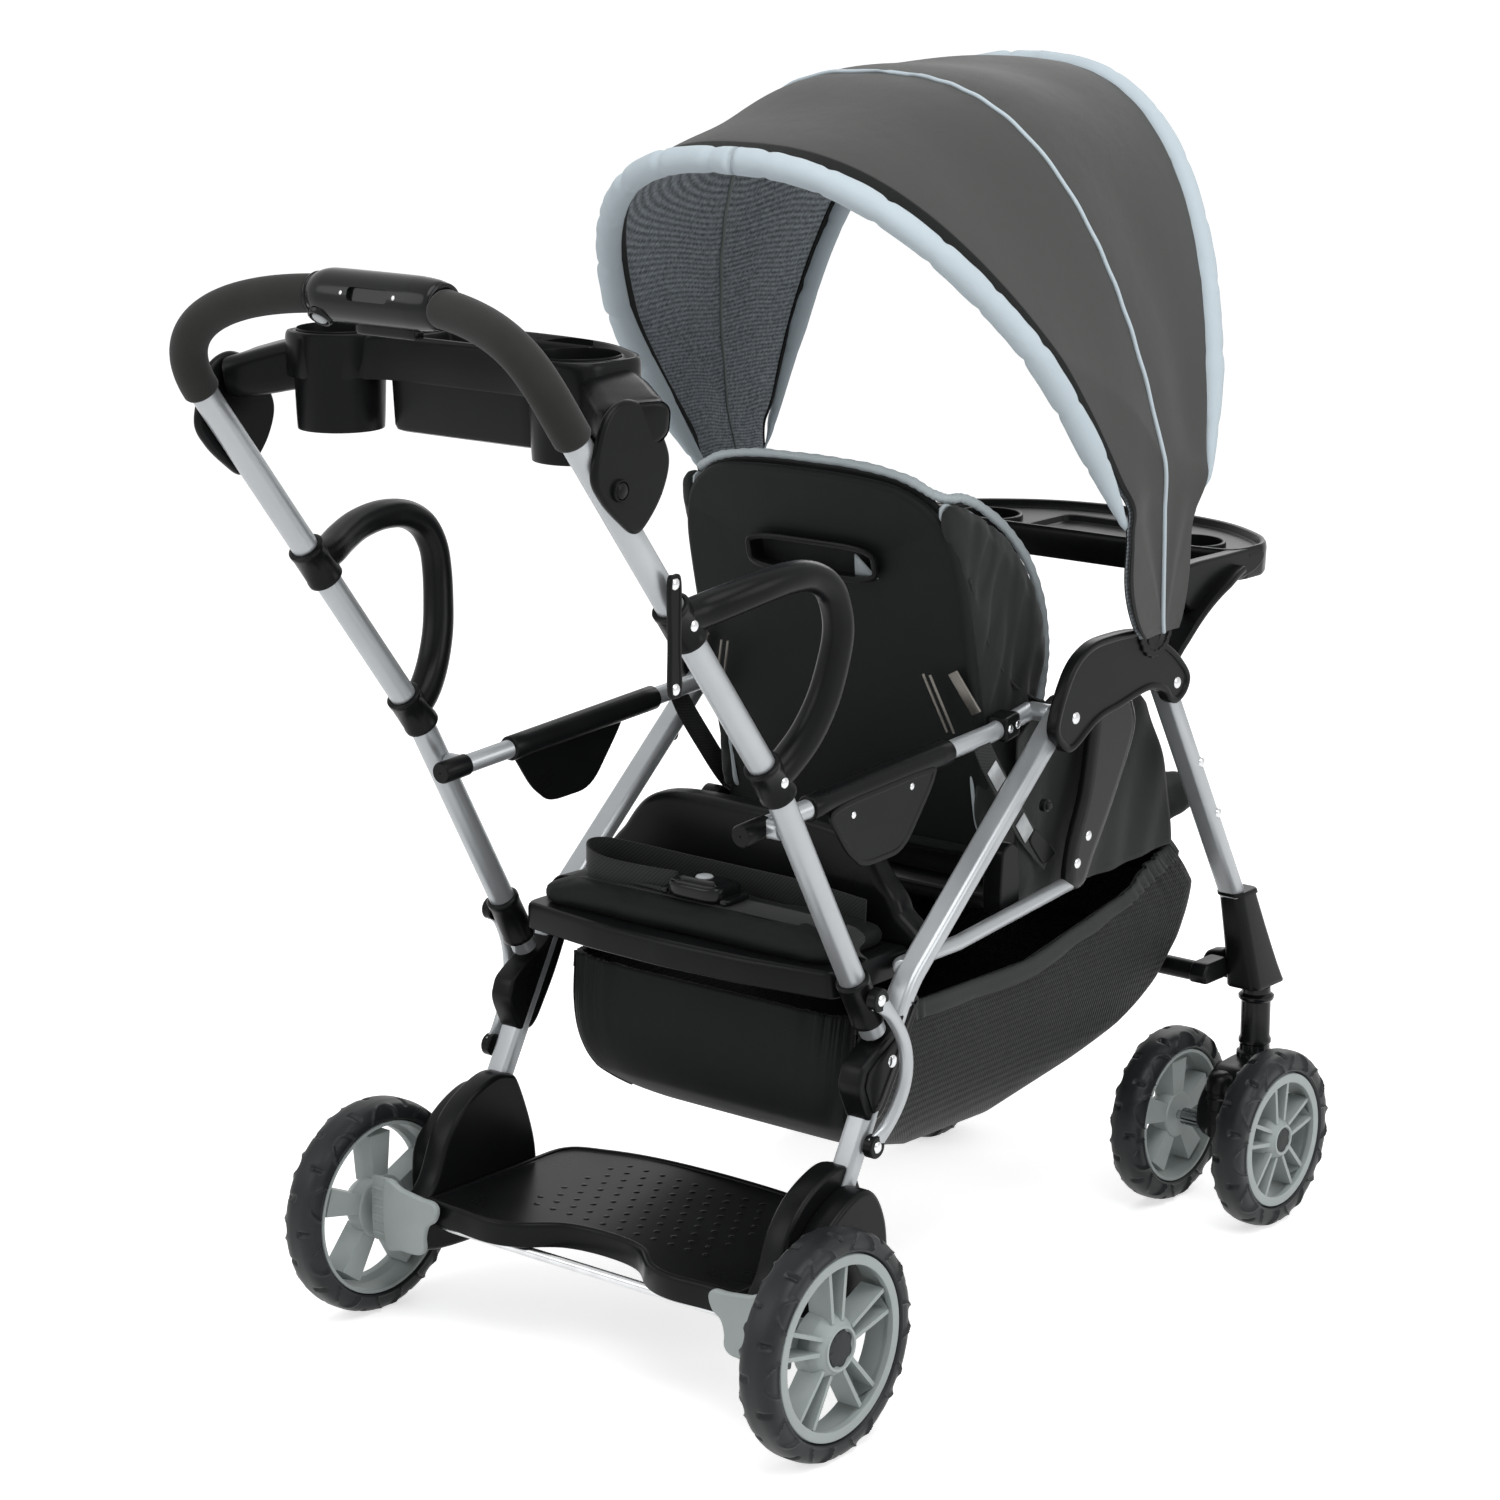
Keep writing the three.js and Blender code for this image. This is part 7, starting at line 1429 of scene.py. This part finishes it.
rear_columns = np.arange(38, 113)
over_bag("basket_hem", slice(0, 5), np.roll(np.arange(300), -112)[:227], 2.4, hem_cloth, 1.5)
over_bag("basket_rear_panel", slice(0, 40), rear_columns, 1.2, basket_cloth, 0.0)
for side, column in (("left", 38), ("right", 112)):
    seam = bag_grid[1:36, column] + np.concatenate([outward[1:36, column] * 2.2, np.zeros((35, 1))], -1)
    cord = skin(f"basket_seam_{side}", carried(mm(seam), circle(0.0022, 12), up=(0.1, 1, 0.05)))
    on_basket(cord, binding)

# Small fittings: rivets up the front legs, a stud on each rear leg, the recline wires behind the seat, and a black
# strap at each side with two pale reflecting patches and a slide.
spring_steel = finish("spring_steel", (0.17, 0.16, 0.145), 0.42, metal=0.7, grain=1500, depth=0.00002, strength=0.2,
                      shade=0.1, patch=60)
patch_grey = finish("reflecting_patch", (0.45, 0.47, 0.48), 0.4, grain=2400, depth=0.00004, strength=0.4, shade=0.08,
                    patch=120)
for side, out in SIDES:
    heads = mm([(out * 228.8, -405, 500), (out * 228.8, -440, 440)])
    riveted("front_legs", f"front_leg_rivets_{side}", heads, (out, 0, 0), 0.0052, 0.0032)
    stud = about((out, 0, 0), [(0.0001, 0.009), (0.0032, 0.0088), (0.0042, 0.0076), (0.0042, 0.006), (0.0062, 0.0052),
                               (0.0064, 0)], mm((out * 229, -125.5, 511.8)), 32)
    mould(spun(f"rear_leg_stud_{side}", stud), "rear_frame")
    run = drawn([(out * 188, -80, 574), (out * 188.6, -95, 550), (out * 188.6, -124, 512), (out * 188, -152, 477),
                 (out * 187.6, -178, 452), (out * 187.6, -196, 436)], 60)
    strap(f"side_strap_{side}", run, 24, "rear_frame", up=(1, 0, 0))
    for number, (y, z) in enumerate(((-104, 538), (-152, 477))):
        tilt = np.array([0, -0.62, -0.785]) * 13
        patch = mm([np.array([out * 189.9, y, z]) - tilt, [out * 189.9, y, z], np.array([out * 189.9, y, z]) + tilt])
        patch = carried(patch, flattened(0.017, 0.0007, 0.0003, 4), up=(1, 0, 0), close=False)
        badge = crisp(skin(f"side_strap_patch_{side}_{number}", patch), 50)
        put(filled(badge), patch_grey, "rear_frame", "fabric_piping")
    slide = cornered([(-170, 474), (-196, 452), (-208, 440), (-186, 432), (-160, 462)], 0.25, 6)
    mould(pressed(f"side_strap_slide_{side}", (slide, facing(out, edges(185.4, 190.2, 1.4)), "x")), "rear_frame")
    for number, (top, low) in enumerate((((-120, 632), (-139, 575)), ((-128, 632), (-147, 575)))):
        wire = [(-out * top[0], -122 + 4 + (top[1] - HINGE_Z) * slope - 3, top[1]),
                (-out * low[0], -122 + 4 + (low[1] - HINGE_Z) * slope - 4, low[1])]
        wire = np.array([wire[0], np.mean(wire, axis=0), wire[1]])
        put(skin(f"recline_wire_{side}_{number}", carried(mm(wire), circle(0.0014, 12), up=(0, 1, 0.1))),
            spring_steel, "seat", "tube_silver")
    link = np.array([(out * 152, -124 + 185 * slope - 2, 637), (out * 162, -124 + 166 * slope - 3, 618),
                     (out * 172, -124 + 146 * slope - 5, 598)])
    put(crisp(skin(f"recline_link_{side}", carried(mm(link), flattened(0.011, 0.003, 0.001, 4), up=(0, 1, 0.1))), 50),
        spring_steel, "seat", "tube_silver")
